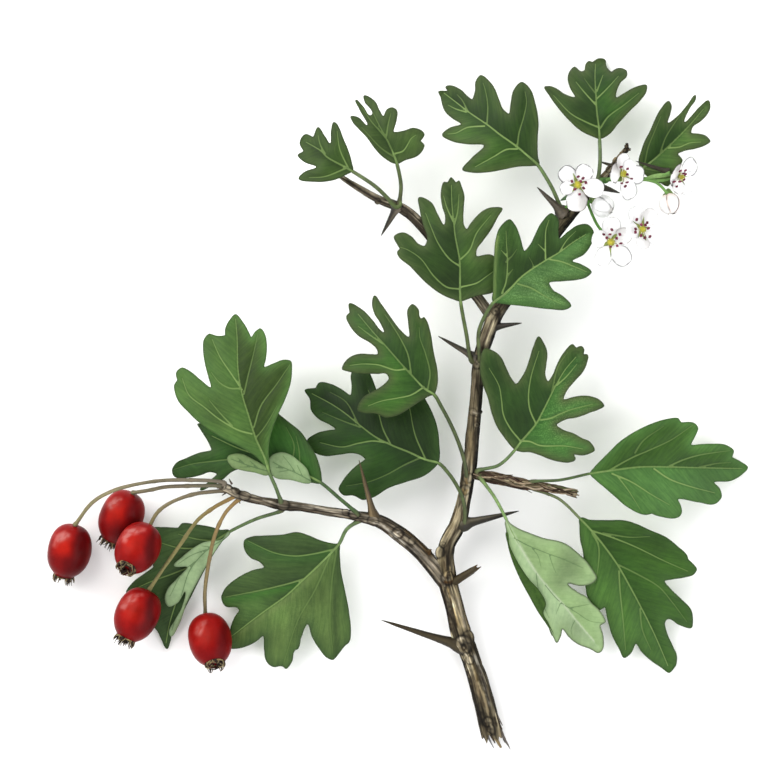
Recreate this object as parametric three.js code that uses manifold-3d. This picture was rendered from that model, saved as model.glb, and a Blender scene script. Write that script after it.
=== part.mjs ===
// A cut sprig of common hawthorn lying on a level surface: one woody stem with a
// left branch, an upper left twig and a short right spur, eleven thorns, seventeen lobed
// leaves, five haws on long stalks, five open blossoms and two buds.
// Millimetres, +Z up, the surface at z = 0, the origin under the middle of the sprig.
import * as THREE from "three";
import { mergeVertices } from "three/addons/utils/BufferGeometryUtils.js";
import Module from "manifold-3d";

// ---- driving dimensions -------------------------------------------------------------
const UNIT = 0.25; // mm: one unit of the plan grid that the tables below are laid out on
const MID = 384; // plan units: the grid point straight under the eye
const EYE = 1000; // mm: height of the eye over the surface; the plan is as seen from there
const BLADE = 0.45; // mm: leaf blade thickness
const RIB = 0.5; // mm: radius of a leaf stalk
const STALK = 0.55; // mm: radius of a haw's stalk
const PEDICEL = 0.42; // mm: radius of a blossom's stalk
const GAP = 0.32; // mm: clearance between neighbouring pieces
const HAW_R = 5.45; // mm: half width of a haw
const HAW_L = 6.55; // mm: half length of a haw without its crown
const BLOOM_R = 5.9; // mm: radius of an open blossom
const BUD_R = 2.6; // mm: radius of a closed bud

// ---- tables -------------------------------------------------------------------------
// Limbs: [plan x, plan y, height mm, radius in plan units] along the centre line.
const LIMBS = {
  "stem_lower": [[494, 744, 2.95, 11.3], [483.8, 700, 3.6, 10.8], [470.2, 657, 4.4, 9.2], [461.5, 634, 4.9, 10.2], [452.9, 600, 5.5, 9.6], [446, 572, 6.1, 9.4]],
  "stem_middle": [[445, 566, 6.3, 9.0], [447, 546, 6.8, 8.6], [459, 522, 7.5, 8.4], [465, 495, 8.2, 7.2], [470, 460, 9.2, 7.2], [474, 420, 10.2, 7.0], [477, 385, 11.0, 6.2], [478, 365, 11.5, 6.2], [484, 345, 12.0, 7.2], [491, 326, 12.5, 7.4], [497, 312, 12.8, 7.6]],
  "stem_upper": [[499, 308, 12.9, 7.4], [515, 287, 12.8, 6.8], [540, 253, 12.2, 6.4], [565, 221, 11.4, 6.2], [585, 198, 10.7, 5.2], [600, 182, 10.2, 4.4], [612, 168, 9.9, 3.6], [620, 157, 9.7, 3.0], [628, 147, 9.6, 2.6]],
  "branch_left": [[441, 577, 6.3, 8.4], [430, 563, 6.9, 8.2], [415, 547, 7.8, 8.0], [397.4, 532.8, 8.7, 7.8], [377.2, 521, 9.5, 6.6], [355, 516, 10.0, 5.2], [330, 511.6, 10.6, 4.6], [300, 507.2, 11.2, 4.5], [281, 504.8, 11.6, 5.2], [258, 500, 12.0, 4.2], [240, 495, 12.2, 4.8], [224, 487, 12.4, 3.8]],
  "twig_upper_left": [[489, 313, 12.8, 5.6], [475, 294, 12.9, 5.4], [455, 268, 12.8, 5.4], [425, 229, 12.3, 5.4], [410, 214, 12.0, 5.2], [397, 206, 11.8, 5.2], [380, 200, 11.4, 4.2], [362, 190, 11.0, 3.6], [349, 182, 10.7, 3.0], [339, 175, 10.4, 2.6]],
  "spur_right": [[478, 475, 9.0, 4.6], [500, 479, 9.4, 4.8], [530, 485, 9.6, 4.6], [555, 489, 9.6, 3.4], [577, 493, 9.5, 3.4]],
};
// Thorns: [base x, y, height, tip x, y, height, base radius in plan units, how blunt from 0 to 1].
const THORNS = {
  "thorn_a": [397, 207, 11.8, 381, 236, 8.6, 5.0, 0],
  "thorn_b": [562, 212, 11.6, 537, 187, 16.4, 6.0, 0],
  "thorn_c": [613, 166, 9.9, 598, 161, 11.6, 2.6, 0],
  "thorn_d": [668, 172, 11.7, 635.5, 161, 12.7, 3.6, 0],
  "thorn_e": [476, 358, 11.5, 438, 336, 8.4, 5.2, 0],
  "thorn_f": [493, 327, 12.5, 522, 323, 15.5, 5.0, 0],
  "thorn_g": [374, 518, 9.6, 359, 460, 15.2, 5.0, 0],
  "thorn_h": [463, 524, 7.6, 519, 511, 9.2, 6.6, 0],
  "thorn_i": [450, 584, 6.0, 477, 567.5, 10.5, 5.2, 1],
  "thorn_j": [462, 646, 4.9, 381, 620, 7.4, 6.6, 0],
  "thorn_k": [598, 186, 10.2, 620, 193, 8.0, 5.4, 0],
};
// Leaves. rib: the midrib in plan, base to tip. z: heights of the midrib at its base, middle and
// tip. fold: slope of the left and right half away from the midrib. curl: how much the two
// margins bend, mm at 10 mm out. stalk: leaf stalk from its node on the limb, with heights.
// edge: lobe tips, sinuses and shoulders clockwise from the base, each with its roundness.
const LEAVES = {
  "leaf_01": {
    "rib": [[352, 171], [330, 158], [303, 141]], "z": [14.6, 15.0, 12.0], "fold": [0.05, 0.12], "curl": [-0.3, -0.6],
    "stalk": [[394, 205, 12.6], [376, 187, 14.6], [352, 171, 14.6]],
    "edge": [[353, 171, 1], [350, 156, 1], [344, 138, 1], [334, 122, 0.6], [331, 128, 1], [330, 143, 0.3], [325, 138, 1], [318, 127, 0.6], [313, 137, 0.3], [305, 135, 0.3], [300, 144, 0.4], [303, 150, 0.3], [298, 155, 0.7], [304, 162, 1], [316, 167, 0.3], [305, 172, 1], [299, 179, 0.5], [318, 182, 1], [340, 178, 1]],
  },
  "leaf_02": {
    "rib": [[397, 164], [386, 136], [366, 97]], "z": [15.0, 15.4, 11.5], "fold": [0.25, 0.1], "curl": [-0.4, -1.0],
    "stalk": [[399, 205, 12.8], [401, 186, 14.4], [397, 164, 15.0]],
    "edge": [[397, 164, 1], [408, 158, 1], [419, 154, 1], [425, 146, 0.8], [421, 141, 0.2], [424, 133, 0.8], [414, 128, 1], [395, 133, 0.4], [397, 121, 1], [397, 109, 0.5], [389, 107, 1], [383, 116, 0.3], [376, 104, 1], [365, 94, 0.5], [364, 99, 0.8], [371, 115, 0.2], [356, 100, 0.2], [361, 111, 1], [367, 125, 0.3], [351, 115, 0.4], [355, 125, 1], [369, 140, 1], [384, 155, 1]],
  },
  "leaf_03": {
    "rib": [[537, 164], [500, 135], [444, 94]], "z": [13.2, 13.6, 5.0], "fold": [0.05, 0.2], "curl": [-1.0, -0.8],
    "stalk": [[562, 209, 12.2], [551, 186, 13.2], [537, 164, 13.2]],
    "edge": [[539, 160, 0.7], [539, 130, 1], [534, 98, 1], [522, 82, 0.5], [513, 94, 1], [509, 113, 0.3], [499, 101, 1], [489, 83, 1], [481, 75, 0.6], [476, 83, 1], [472, 99, 0.3], [459, 88, 1], [448, 85, 0.6], [447, 90, 0.2], [438, 91, 0.5], [441, 102, 0.8], [449, 115, 1], [461, 125, 0.2], [442, 135, 0.4], [458, 143, 1], [484, 145, 0.2], [469, 159, 1], [463, 170, 0.4], [487, 173, 1], [515, 167, 1], [533, 166, 1]],
  },
  "leaf_04": {
    "rib": [[599, 139], [597, 110], [596, 62]], "z": [11.4, 10.2, 0.7], "fold": [0.12, 0.12], "curl": [-0.9, -0.9],
    "stalk": [[598, 183, 10.8], [600, 162, 12.3], [599, 139, 11.4]],
    "edge": [[599, 139, 0.8], [611, 133, 1], [632, 111, 1], [644, 96, 1], [647, 86, 0.4], [635, 86, 1], [616, 97, 0.3], [621, 82, 1], [628, 73, 0.8], [619, 68, 0.8], [610, 72, 0.4], [606, 60, 0.5], [600, 60, 0.4], [591, 62, 0.4], [585, 64, 0.6], [582, 72, 0.4], [574, 66, 0.6], [568, 78, 1], [575, 97, 0.3], [558, 90, 1], [544, 87, 0.4], [560, 110, 1], [580, 129, 1]],
  },
  "leaf_05": {
    "rib": [[643, 168], [668, 146], [707, 104]], "z": [10.2, 10.2, 4.4], "fold": [0.1, 0.1], "curl": [-0.6, -0.8],
    "stalk": [[613, 172, 10.0], [628, 172, 9.8], [643, 168, 10.2]],
    "edge": [[641, 170, 0.6], [638, 160, 0.6], [643, 138, 1], [655, 111, 1], [669, 101, 0.6], [670, 111, 1], [668, 122, 0.3], [682, 107, 1], [696, 94, 0.3], [693, 107, 1], [685, 122, 0.2], [696, 108, 1], [709, 100, 0.3], [708, 114, 1], [694, 126, 1], [691, 133, 0.3], [705, 135, 1], [710, 143, 0.6], [694, 151, 1], [679, 155, 0.4], [683, 160, 0.2], [675, 171, 1], [668, 186, 0.3], [652, 178, 1]],
  },
  "leaf_06": {
    "rib": [[460, 302], [458, 255], [452, 180]], "z": [16.2, 16.6, 11.6], "fold": [0.08, 0.0], "curl": [-0.6, -0.4],
    "stalk": [[472, 361, 12.4], [466, 332, 15.0], [460, 302, 16.2]],
    "edge": [[460, 302, 0.8], [474, 296, 1], [498, 291, 1], [505, 274, 0.8], [492, 254, 1], [477, 254, 0.5], [488, 236, 1], [502, 208, 0.4], [482, 211, 1], [471, 226, 1], [466, 229, 0.5], [464, 211, 1], [466, 195, 1], [459, 180, 0.5], [455, 182, 0.3], [451, 177, 0.5], [447, 183, 0.3], [444, 182, 0.5], [441, 198, 1], [445, 224, 0.5], [433, 206, 1], [418, 197, 0.4], [421, 221, 1], [427, 240, 0.8], [423, 245, 0.6], [408, 234, 1], [394, 236, 0.6], [399, 250, 0.2], [397, 252, 0.3], [412, 269, 1], [432, 287, 1], [450, 297, 1]],
  },
  "leaf_07": {
    "rib": [[493, 304], [530, 271], [583, 238]], "z": [17.8, 18.8, 14.2], "fold": [0.1, -0.05], "curl": [-0.3, -1.2],
    "stalk": [[480, 361, 12.9], [479, 331, 16.2], [493, 304, 17.8]],
    "edge": [[493, 303, 0.8], [494, 266, 1], [498, 231, 1], [509, 218, 0.6], [519, 233, 1], [524, 250, 0.3], [537, 230, 1], [551, 213, 0.5], [558, 219, 0.7], [560, 237, 0.3], [573, 226, 1], [588, 223, 0.3], [594, 235, 1], [587, 251, 1], [574, 261, 0.3], [584, 264, 1], [592, 272, 0.4], [576, 280, 1], [550, 282, 0.4], [561, 294, 1], [571, 306, 0.5], [545, 309, 1], [512, 304, 1]],
  },
  "leaf_08": {
    "rib": [[434, 395], [405, 369], [352, 308]], "z": [16.6, 17.2, 12.5], "fold": [-0.02, 0.12], "curl": [-0.6, -0.9],
    "stalk": [[467, 484, 9.6], [451, 422, 14.6], [434, 395, 16.6]],
    "edge": [[437, 393, 0.7], [438, 376, 1], [432, 341, 1], [424, 318, 0.4], [420, 317, 0.5], [412, 304, 0.7], [408, 318, 1], [408, 337, 0.5], [396, 325, 1], [384, 305, 1], [374, 295, 0.5], [374, 311, 1], [384, 332, 0.3], [368, 315, 1], [351, 303, 0.6], [349, 313, 0.3], [351, 326, 0.9], [365, 339, 1], [378, 354, 0.3], [360, 354, 1], [342, 369, 0.5], [364, 374, 1], [384, 374, 0.9], [388, 380, 0.8], [367, 396, 1], [357, 411, 0.4], [374, 414, 0.7], [390, 418, 1], [410, 408, 1], [428, 397, 1]],
  },
  "leaf_09": {
    "rib": [[438, 464], [385, 443], [307, 393]], "z": [11.2, 9.8, 5.4], "fold": [-0.06, 0.06], "curl": [-0.5, -0.5],
    "stalk": [[464, 533, 8.2], [459, 488, 11.6], [438, 464, 11.2]],
    "edge": [[438, 463, 0.7], [439, 440, 1], [431, 409, 1], [418, 384, 1], [406, 375, 0.6], [392, 386, 1], [379, 396, 0.5], [374, 383, 1], [364, 364, 1], [356, 358, 0.6], [350, 370, 1], [351, 394, 0.4], [337, 386, 1], [319, 382, 0.6], [316, 388, 0.4], [304, 390, 0.3], [310, 408, 1], [322, 422, 1], [336, 429, 0.3], [318, 434, 1], [308, 442, 0.5], [319, 454, 1], [340, 455, 1], [364, 458, 0.3], [347, 475, 1], [338, 490, 0.6], [355, 496, 0.5], [370, 500, 0.9], [391, 487, 1], [418, 478, 1]],
  },
  "leaf_10": {
    "rib": [[515, 450], [543, 411], [578, 352]], "z": [12.4, 13.6, 11.0], "fold": [0.14, -0.08], "curl": [-0.2, -0.5],
    "stalk": [[477, 471, 9.8], [499, 465, 11.6], [515, 450, 12.4]],
    "edge": [[514, 451, 0.7], [499, 432, 1], [489, 402, 1], [479, 371, 1], [485, 348, 0.6], [500, 355, 1], [511, 377, 1], [517, 383, 0.6], [525, 369, 1], [539, 336, 0.3], [547, 352, 1], [545, 373, 1], [548, 381, 0.5], [556, 365, 1], [566, 348, 1], [573, 344, 0.5], [577, 348, 0.3], [583, 347, 0.5], [588, 355, 0.5], [584, 372, 1], [569, 387, 1], [564, 399, 0.3], [584, 395, 1], [604, 406, 0.4], [584, 416, 1], [558, 422, 0.8], [563, 430, 0.8], [585, 438, 1], [595, 451, 0.3], [576, 455, 0.2], [570, 462, 0.8], [545, 458, 1], [526, 452, 1]],
  },
  "leaf_11": {
    "rib": [[270, 474], [252, 425], [235, 316]], "z": [15.4, 17.0, 13.0], "fold": [0.05, 0.12], "curl": [-0.9, -0.6],
    "stalk": [[281, 503, 12.4], [276, 488, 14.4], [270, 474, 15.4]],
    "edge": [[269, 474, 0.7], [256, 456, 1], [225, 439, 1], [198, 419, 1], [178, 398, 1], [174, 383, 0.5], [178, 380, 0.2], [179, 368, 0.8], [191, 371, 1], [211, 388, 0.3], [204, 358, 1], [208, 334, 0.6], [225, 336, 0.4], [227, 322, 1], [235, 313, 0.3], [246, 324, 1], [251, 337, 0.2], [261, 328, 0.6], [267, 346, 1], [264, 367, 0.2], [278, 361, 1], [291, 360, 0.4], [291, 385, 1], [277, 419, 1], [270, 450, 1]],
  },
  "leaf_12": {
    "rib": [[320, 482], [262, 458], [200, 428]], "z": [11.4, 10.2, 7.6], "fold": [0.0, 0.04], "curl": [-0.3, -0.5],
    "stalk": [[357, 514, 10.8], [339, 498, 12.0], [320, 482, 11.4]],
    "edge": [[321, 483, 0.7], [317, 458, 1], [305, 438, 1], [286, 418, 1], [262, 399, 0.6], [246, 408, 1], [225, 418, 0.5], [198, 423, 0.3], [207, 438, 1], [212, 450, 0.2], [190, 456, 1], [172, 470, 0.6], [175, 477, 0.7], [200, 476, 1], [217, 473, 0.3], [203, 489, 0.5], [220, 482, 1], [240, 470, 0.6], [270, 476, 1], [300, 482, 1]],
  },
  "leaf_13": {
    "rib": [[590, 474], [656, 468.6], [744, 469]], "z": [11.6, 10.8, 0.9], "fold": [0.12, 0.0], "curl": [-0.5, -0.9],
    "stalk": [[531, 482, 10.4], [560, 480, 11.6], [590, 474, 11.6]],
    "edge": [[589, 474, 0.7], [604, 457, 1], [629, 433, 1], [655, 420, 1], [678, 418, 0.6], [682, 423, 0.5], [696, 424, 0.7], [691, 445, 0.2], [718, 443, 1], [734, 450, 0.6], [731, 458, 0.3], [748, 468, 0.4], [732, 480, 1], [715, 483, 0.3], [722, 496, 0.8], [715, 503, 0.7], [679, 500, 0.2], [682, 512, 0.7], [676, 517, 0.7], [644, 515, 1], [617, 497, 1], [598, 480, 1]],
  },
  "leaf_14": {
    "rib": [[580, 519], [618, 567], [669, 669]], "z": [9.8, 8.6, 0.7], "fold": [0.05, 0.0], "curl": [-0.3, -0.5],
    "stalk": [[533, 488, 9.2], [559, 499, 9.6], [580, 519, 9.8]],
    "edge": [[580, 518, 0.7], [604, 520, 1], [630, 520, 1], [660, 535, 1], [688, 557, 0.8], [697, 570, 0.6], [686, 578, 1], [665, 580, 0.3], [681, 598, 1], [693, 617, 0.7], [692, 628, 0.4], [667, 619, 0.3], [672, 639, 1], [677, 660, 0.7], [670, 673, 0.4], [649, 660, 1], [636, 645, 0.2], [624, 658, 0.4], [612, 633, 1], [605, 608, 0.4], [599, 610, 0.5], [588, 592, 1], [586, 562, 1], [581, 535, 1]],
  },
  "leaf_15": {
    "rib": [[506, 521], [545, 583], [600, 648]], "z": [11.8, 11.4, 6.2], "fold": [0.02, 0.1], "curl": [-0.4, -0.6],
    "stalk": [[480, 477, 9.8], [495, 498, 11.4], [506, 521, 11.8]],
    "edge": [[506, 520, 0.7], [524, 531, 1], [560, 541, 1], [581, 556, 1], [598, 576, 0.6], [585, 586, 1], [568, 585, 0.3], [589, 601, 1], [605, 621, 0.4], [600, 626, 0.3], [603, 651, 0.5], [580, 644, 1], [562, 630, 0.3], [557, 643, 0.4], [540, 613, 1], [519, 575, 1], [507, 537, 1]],
  },
  "leaf_16": {
    "rib": [[338, 545], [292, 594], [232, 646]], "z": [8.8, 8.0, 0.9], "fold": [0.02, 0.06], "curl": [-0.5, -0.6],
    "stalk": [[361, 519, 9.6], [347, 529, 9.6], [338, 545, 8.8]],
    "edge": [[339, 544, 0.7], [322, 541, 1], [296, 532, 1], [270, 536, 1], [248, 538, 0.8], [243, 546, 0.8], [264, 566, 0.2], [240, 576, 1], [221, 596, 0.7], [228, 607, 0.8], [239, 609, 0.2], [230, 626, 1], [231, 649, 0.6], [246, 647, 1], [263, 636, 0.3], [264, 658, 1], [278, 666, 0.8], [286, 669, 0.5], [296, 652, 1], [308, 626, 0.6], [318, 648, 1], [332, 660, 0.6], [347, 646, 0.5], [351, 629, 1], [345, 586, 1], [340, 556, 1]],
  },
  "leaf_17": {
    "rib": [[229, 531], [192, 566], [166, 644]], "z": [7.2, 4.4, 1.0], "fold": [0.02, 0.0], "curl": [-0.2, -0.2],
    "stalk": [[282, 510, 10.8], [256, 519, 9.6], [229, 531, 7.2]],
    "edge": [[230, 531, 0.7], [205, 526, 1], [180, 523, 0.5], [178, 527, 0.2], [158, 528, 1], [147, 543, 0.7], [153, 566, 0.3], [136, 577, 1], [126, 592, 0.6], [137, 611, 1], [156, 630, 1], [167, 648, 0.3], [172, 634, 0.8], [190, 599, 1], [212, 557, 1]],
  },
};
// Flaps: lobes folded back over their own blade: [leaf, height over the blade at the free edge, edge],
// the edge starting and ending on the fold.
const FLAPS = [
  ["leaf_12", 1.5, [[240, 470, 0.5], [229, 455, 0.6], [246, 454, 1], [266, 465, 1], [268, 475, 0.4]]],
  ["leaf_12", 1.5, [[274, 477, 0.4], [270, 458, 0.7], [278, 452, 0.8], [298, 461, 1], [308, 478, 0.5], [306, 482, 0.4]]],
  ["leaf_15", 1.5, [[514, 560, 0.4], [533, 580, 1], [546, 604, 0.8], [543, 614, 0.5], [551, 632, 0.4], [536, 606, 1], [519, 575, 1]]],
  ["leaf_17", 1.6, [[228, 533, 0.5], [196, 545, 1], [174, 565, 0.5], [187, 567, 0.2], [167, 588, 1], [168, 606, 0.6], [183, 592, 0.2], [170, 630, 0.6], [172, 635, 0.5], [190, 599, 1], [212, 557, 1]]],
];
// Haws: [stalk end x, y, crown end x, y, height of the lowest point, drop of the crown end in mm].
const HAWS = {
  "haw_1": [75, 525, 64, 575, 0.0, 3.4],
  "haw_2": [132, 494, 111, 538, 0.0, 3.0],
  "haw_3": [150, 526, 126, 569, 7.6, -8.6],
  "haw_4": [150, 588, 125, 640, 2.6, -1.6],
  "haw_5": [205, 614, 215, 664, 0.0, -6.5],
};
// Stalks of the haws: [plan x, y, height], the last point being the haw's stalk end.
const HAW_STALKS = {
  "haw_stalk_1": [[224, 483, 12.9], [186, 480, 14.2], [150, 482, 14.6], [115, 490, 13.8], [93, 502, 11.8], [78, 522, 8.8]],
  "haw_stalk_2": [[222, 486, 12.0], [190, 486, 12.6], [165, 487, 12.4], [150, 490, 11.2], [136, 497, 8.6]],
  "haw_stalk_3": [[225, 490, 11.8], [195, 494, 12.9], [170, 503, 13.2], [157, 513, 11.8], [151, 523, 9.6]],
  "haw_stalk_4": [[240, 494, 12.0], [215, 507, 12.8], [198, 520, 12.6], [180, 545, 11.4], [165, 566, 9.9], [152, 585, 8.0]],
  "haw_stalk_5": [[240, 498, 11.8], [226, 512, 12.0], [215, 535, 11.4], [209, 562, 9.6], [205, 590, 6.4], [205, 611, 3.6]],
};
// Blossoms: [centre x, y, height, facing x, y (plan, y down) and z, turn in degrees, radius in plan units].
const BLOOMS = {
  "blossom_1": [578, 186, 17.2, -0.05, 0.05, 1.0, 64, 25],
  "blossom_2": [623, 177, 17.4, 0.62, 0.12, 0.78, 36, 25],
  "blossom_3": [682, 177, 16.0, 0.72, 0.32, 0.62, 6, 23],
  "blossom_4": [611, 241, 17.2, -0.1, 0.12, 1.0, 26, 25],
  "blossom_5": [644, 230, 19.8, 0.35, -0.05, 1.0, 40, 24],
};
// Buds: [centre x, y, height, facing x, y, z, radius in plan units].
const BUDS = {
  "bud_1": [603, 206, 14.2, 0.75, 0.5, 0.45, 11.0],
  "bud_2": [670, 204, 12.2, 0.1, 0.95, 0.3, 10.6],
};
// Blossom stalks: lists of tubes, [plan x, y, height].
const PEDUNCLES = {
  "blossom_stalk_left": [
    [[566, 207, 12.6], [576, 204, 13.4], [587, 201, 13.8]],
    [[587, 201, 13.8], [583, 194, 14.0], [579, 188, 14.4]],
    [[586, 201, 13.8], [591, 202, 13.9], [595, 203, 14.0]],
    [[587, 201, 13.8], [592, 214, 13.6], [598, 226, 13.6], [608, 238, 14.6]],
    [[603, 232, 14.1], [612, 229, 13.6], [623, 230, 14.6], [634, 231, 16.2], [640.5, 230.5, 17.4]],
  ],
  "blossom_stalk_right": [
    [[603, 180, 11.2], [612, 180, 12.2], [628, 180, 12.8], [643, 179, 13.0]],
    [[606, 180, 11.8], [611, 178, 13.4], [614, 176, 15.0]],
    [[642, 179, 13.0], [656, 177, 13.6], [670, 173, 14.2]],
    [[642, 179, 13.0], [657, 183, 13.2], [668, 194, 12.8]],
  ],
};

// ---- materials ----------------------------------------------------------------------
const paint = (color, roughness) => new THREE.MeshStandardMaterial({ color, roughness, metalness: 0 });
const BARK = paint(0x6b5a45, 0.85);
const THORN = paint(0x4a3a2a, 0.6);
const LEAF_TOP = paint(0x3f6a33, 0.5);
const LEAF_UNDER = paint(0xa3bd86, 0.7);
const HAW_SKIN = paint(0xb5191c, 0.25);
const HAW_WOOD = paint(0x9c8456, 0.7);
const PETAL = paint(0xfaf8f4, 0.6);
const GREEN_STALK = paint(0x6f9a4e, 0.6);

// ---- helpers ------------------------------------------------------------------------
const wasm = await Module();
wasm.setup();

const plan = (x, y, z) => {
  const k = UNIT * (1 - z / EYE);
  return new THREE.Vector3(k * (x - MID), k * (MID - y), z);
};

function closed(geometry) {
  const g = geometry.index ? geometry.toNonIndexed() : geometry.clone();
  const bare = new THREE.BufferGeometry().setAttribute("position", g.getAttribute("position"));
  const merged = mergeVertices(bare, 1e-4);
  return new wasm.Manifold(new wasm.Mesh({
    numProp: 3,
    vertProperties: merged.attributes.position.array,
    triVerts: new Uint32Array(merged.index.array),
  }));
}

function toGeometry(solid) {
  const m = solid.getMesh();
  const v = new Float32Array(m.numVert * 3);
  for (let i = 0; i < m.numVert; i++) v.set(m.vertProperties.subarray(i * m.numProp, i * m.numProp + 3), i * 3);
  const g = new THREE.BufferGeometry().setAttribute("position", new THREE.BufferAttribute(v, 3));
  g.setIndex(new THREE.BufferAttribute(m.triVerts, 1));
  g.computeVertexNormals();
  return g;
}

// A closed surface from rings of equal length, capped with a fan at both ends.
function loft(rings) {
  const n = rings[0].length, pos = [], idx = [];
  for (const ring of rings) for (const p of ring) pos.push(p.x, p.y, p.z);
  for (let r = 0; r + 1 < rings.length; r++)
    for (let i = 0; i < n; i++) {
      const a = r * n + i, b = r * n + ((i + 1) % n), c = a + n, d = b + n;
      idx.push(a, b, d, a, d, c);
    }
  for (let i = 1; i + 1 < n; i++) {
    idx.push(0, i + 1, i);
    const o = (rings.length - 1) * n;
    idx.push(o, o + i, o + i + 1);
  }
  const g = new THREE.BufferGeometry().setAttribute("position", new THREE.Float32BufferAttribute(pos, 3));
  g.setIndex(idx);
  return g;
}

// A tube round a smooth curve through points, its radius running through radii.
function taperedTube(points, radii, sides, steps) {
  const curve = new THREE.CatmullRomCurve3(points, false, "centripetal");
  const rings = [];
  let up = new THREE.Vector3(0, 0, 1);
  for (let i = 0; i <= steps; i++) {
    const t = i / steps, at = curve.getPoint(t), along = curve.getTangent(t);
    const side = new THREE.Vector3().crossVectors(along, up).normalize();
    up = new THREE.Vector3().crossVectors(side, along).normalize();
    const f = t * (radii.length - 1), k = Math.min(Math.floor(f), radii.length - 2);
    const r = radii[k] + (radii[k + 1] - radii[k]) * (f - k);
    const ring = [];
    for (let j = 0; j < sides; j++) {
      const a = (2 * Math.PI * j) / sides;
      ring.push(at.clone().addScaledVector(side, r * Math.cos(a)).addScaledVector(up, -r * Math.sin(a)));
    }
    rings.push(ring);
  }
  return closed(loft(rings));
}

// The smooth closed margin through landmarks [x, y, roundness], `each` points to a stretch.
function margin(marks, each) {
  const n = marks.length, out = [];
  const at = (i) => new THREE.Vector2(marks[(i + n) % n][0], marks[(i + n) % n][1]);
  const heading = (i) => at(i + 1).sub(at(i)).normalize().add(at(i).sub(at(i - 1)).normalize()).normalize();
  for (let i = 0; i < n; i++) {
    const a = at(i), b = at(i + 1), reach = a.distanceTo(b) * 0.36;
    const c1 = a.clone().addScaledVector(heading(i), reach * marks[i][2]);
    const c2 = b.clone().addScaledVector(heading(i + 1), -reach * marks[(i + 1) % n][2]);
    const curve = new THREE.CubicBezierCurve(a, c1, c2, b);
    for (let k = 0; k < each; k++) out.push(curve.getPoint(k / each));
  }
  return out;
}

// Where a plan point lies against a midrib: share of its length, signed distance in mm.
function along(rib, x, y) {
  let best = { d: Infinity, u: 0, s: 1 }, run = 0;
  const lengths = rib.slice(1).map((p, i) => Math.hypot(p[0] - rib[i][0], p[1] - rib[i][1]));
  const total = lengths.reduce((a, b) => a + b, 0);
  for (let i = 0; i + 1 < rib.length; i++) {
    const [ax, ay] = rib[i], [bx, by] = rib[i + 1];
    const dx = bx - ax, dy = by - ay;
    const t = Math.max(0, Math.min(1, ((x - ax) * dx + (y - ay) * dy) / (dx * dx + dy * dy)));
    const ex = x - ax - t * dx, ey = y - ay - t * dy, d = Math.hypot(ex, ey);
    if (d < best.d) best = { d, u: (run + t * lengths[i]) / total, s: Math.sign(dx * (y - ay) - dy * (x - ax)) || 1 };
    run += lengths[i];
  }
  return { u: best.u, d: best.d * UNIT, right: best.s > 0 };
}

// Height of a blade's middle surface over a plan point.
function bladeHeight(leaf, x, y) {
  const { u, d, right } = along(leaf.rib, x, y);
  const [a, b, c] = leaf.z;
  const spine = a * (1 - u) * (1 - 2 * u) + 4 * b * u * (1 - u) + c * u * (2 * u - 1);
  const side = right ? 1 : 0;
  return Math.max(0.3, spine + leaf.fold[side] * (Math.hypot(d, 0.6) - 0.6) + leaf.curl[side] * (d / 10) ** 2);
}

// A thin closed sheet over a plan outline, at the height that rise(x, y) gives.
function sheet(outline, creases, rise, thick) {
  const polygons = creases.length ? halves(outline, creases) : [outline];
  const keys = new Map(), pts = [], tris = [];
  const id = (p) => {
    const k = p.x.toFixed(3) + "," + p.y.toFixed(3);
    if (!keys.has(k)) { keys.set(k, pts.length); pts.push(p); }
    return keys.get(k);
  };
  for (const poly of polygons) {
    const ids = poly.map(id);
    for (const [a, b, c] of THREE.ShapeUtils.triangulateShape(poly, [])) {
      const [p, q, r] = [pts[ids[a]], pts[ids[b]], pts[ids[c]]];
      const area = (q.x - p.x) * (r.y - p.y) - (q.y - p.y) * (r.x - p.x);
      if (Math.abs(area) < 1e-6) continue;
      tris.push(area < 0 ? [ids[a], ids[b], ids[c]] : [ids[a], ids[c], ids[b]]); // plan y runs down
    }
  }
  const n = pts.length, pos = [], idx = [], edges = new Map();
  for (const s of [0.5, -0.5])
    for (const p of pts) {
      const v = plan(p.x, p.y, rise(p.x, p.y) + s * thick);
      pos.push(v.x, v.y, v.z);
    }
  for (const [a, b, c] of tris) {
    idx.push(a, b, c, a + n, c + n, b + n);
    for (const [p, q] of [[a, b], [b, c], [c, a]]) edges.set(p + "," + q, [p, q]);
  }
  for (const [p, q] of edges.values())
    if (!edges.has(q + "," + p)) idx.push(p, p + n, q + n, p, q + n, q);
  const g = new THREE.BufferGeometry().setAttribute("position", new THREE.Float32BufferAttribute(pos, 3));
  g.setIndex(idx);
  return closed(g);
}

// Splits an outline along a crease that starts and ends near it, into its two sides.
function halves(outline, crease) {
  const nearest = (c) => outline.reduce((best, p, i) => (Math.hypot(p.x - c[0], p.y - c[1]) < best[1] ? [i, Math.hypot(p.x - c[0], p.y - c[1])] : best), [0, Infinity])[0];
  const a = nearest(crease[0]), b = nearest(crease.at(-1));
  const run = (i, j) => {
    const out = [];
    for (let k = i; k !== j; k = (k + 1) % outline.length) out.push(outline[k]);
    out.push(outline[j]);
    return out;
  };
  const inner = crease.slice(1, -1).map((c) => new THREE.Vector2(c[0], c[1]));
  return [[...run(a, b), ...inner.slice().reverse()], [...run(b, a), ...inner]];
}

const root = new THREE.Group();
const solids = {};
function add(name, solid, material) {
  solids[name] = solid;
  const mesh = new THREE.Mesh(toGeometry(solid), material);
  mesh.name = name;
  root.add(mesh);
}

// ---- wood ---------------------------------------------------------------------------
const limb = (name, grow, from = LIMBS[name]) =>
  taperedTube(from.map(([x, y, z]) => plan(x, y, z)), from.map((p) => p[3] * UNIT + grow), 8, Math.round(from.length * 1.2));
const fat = {};
for (const name of Object.keys(LIMBS)) fat[name] = limb(name, GAP);
const wood = {};
for (const name of Object.keys(LIMBS)) wood[name] = limb(name, 0);
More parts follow.
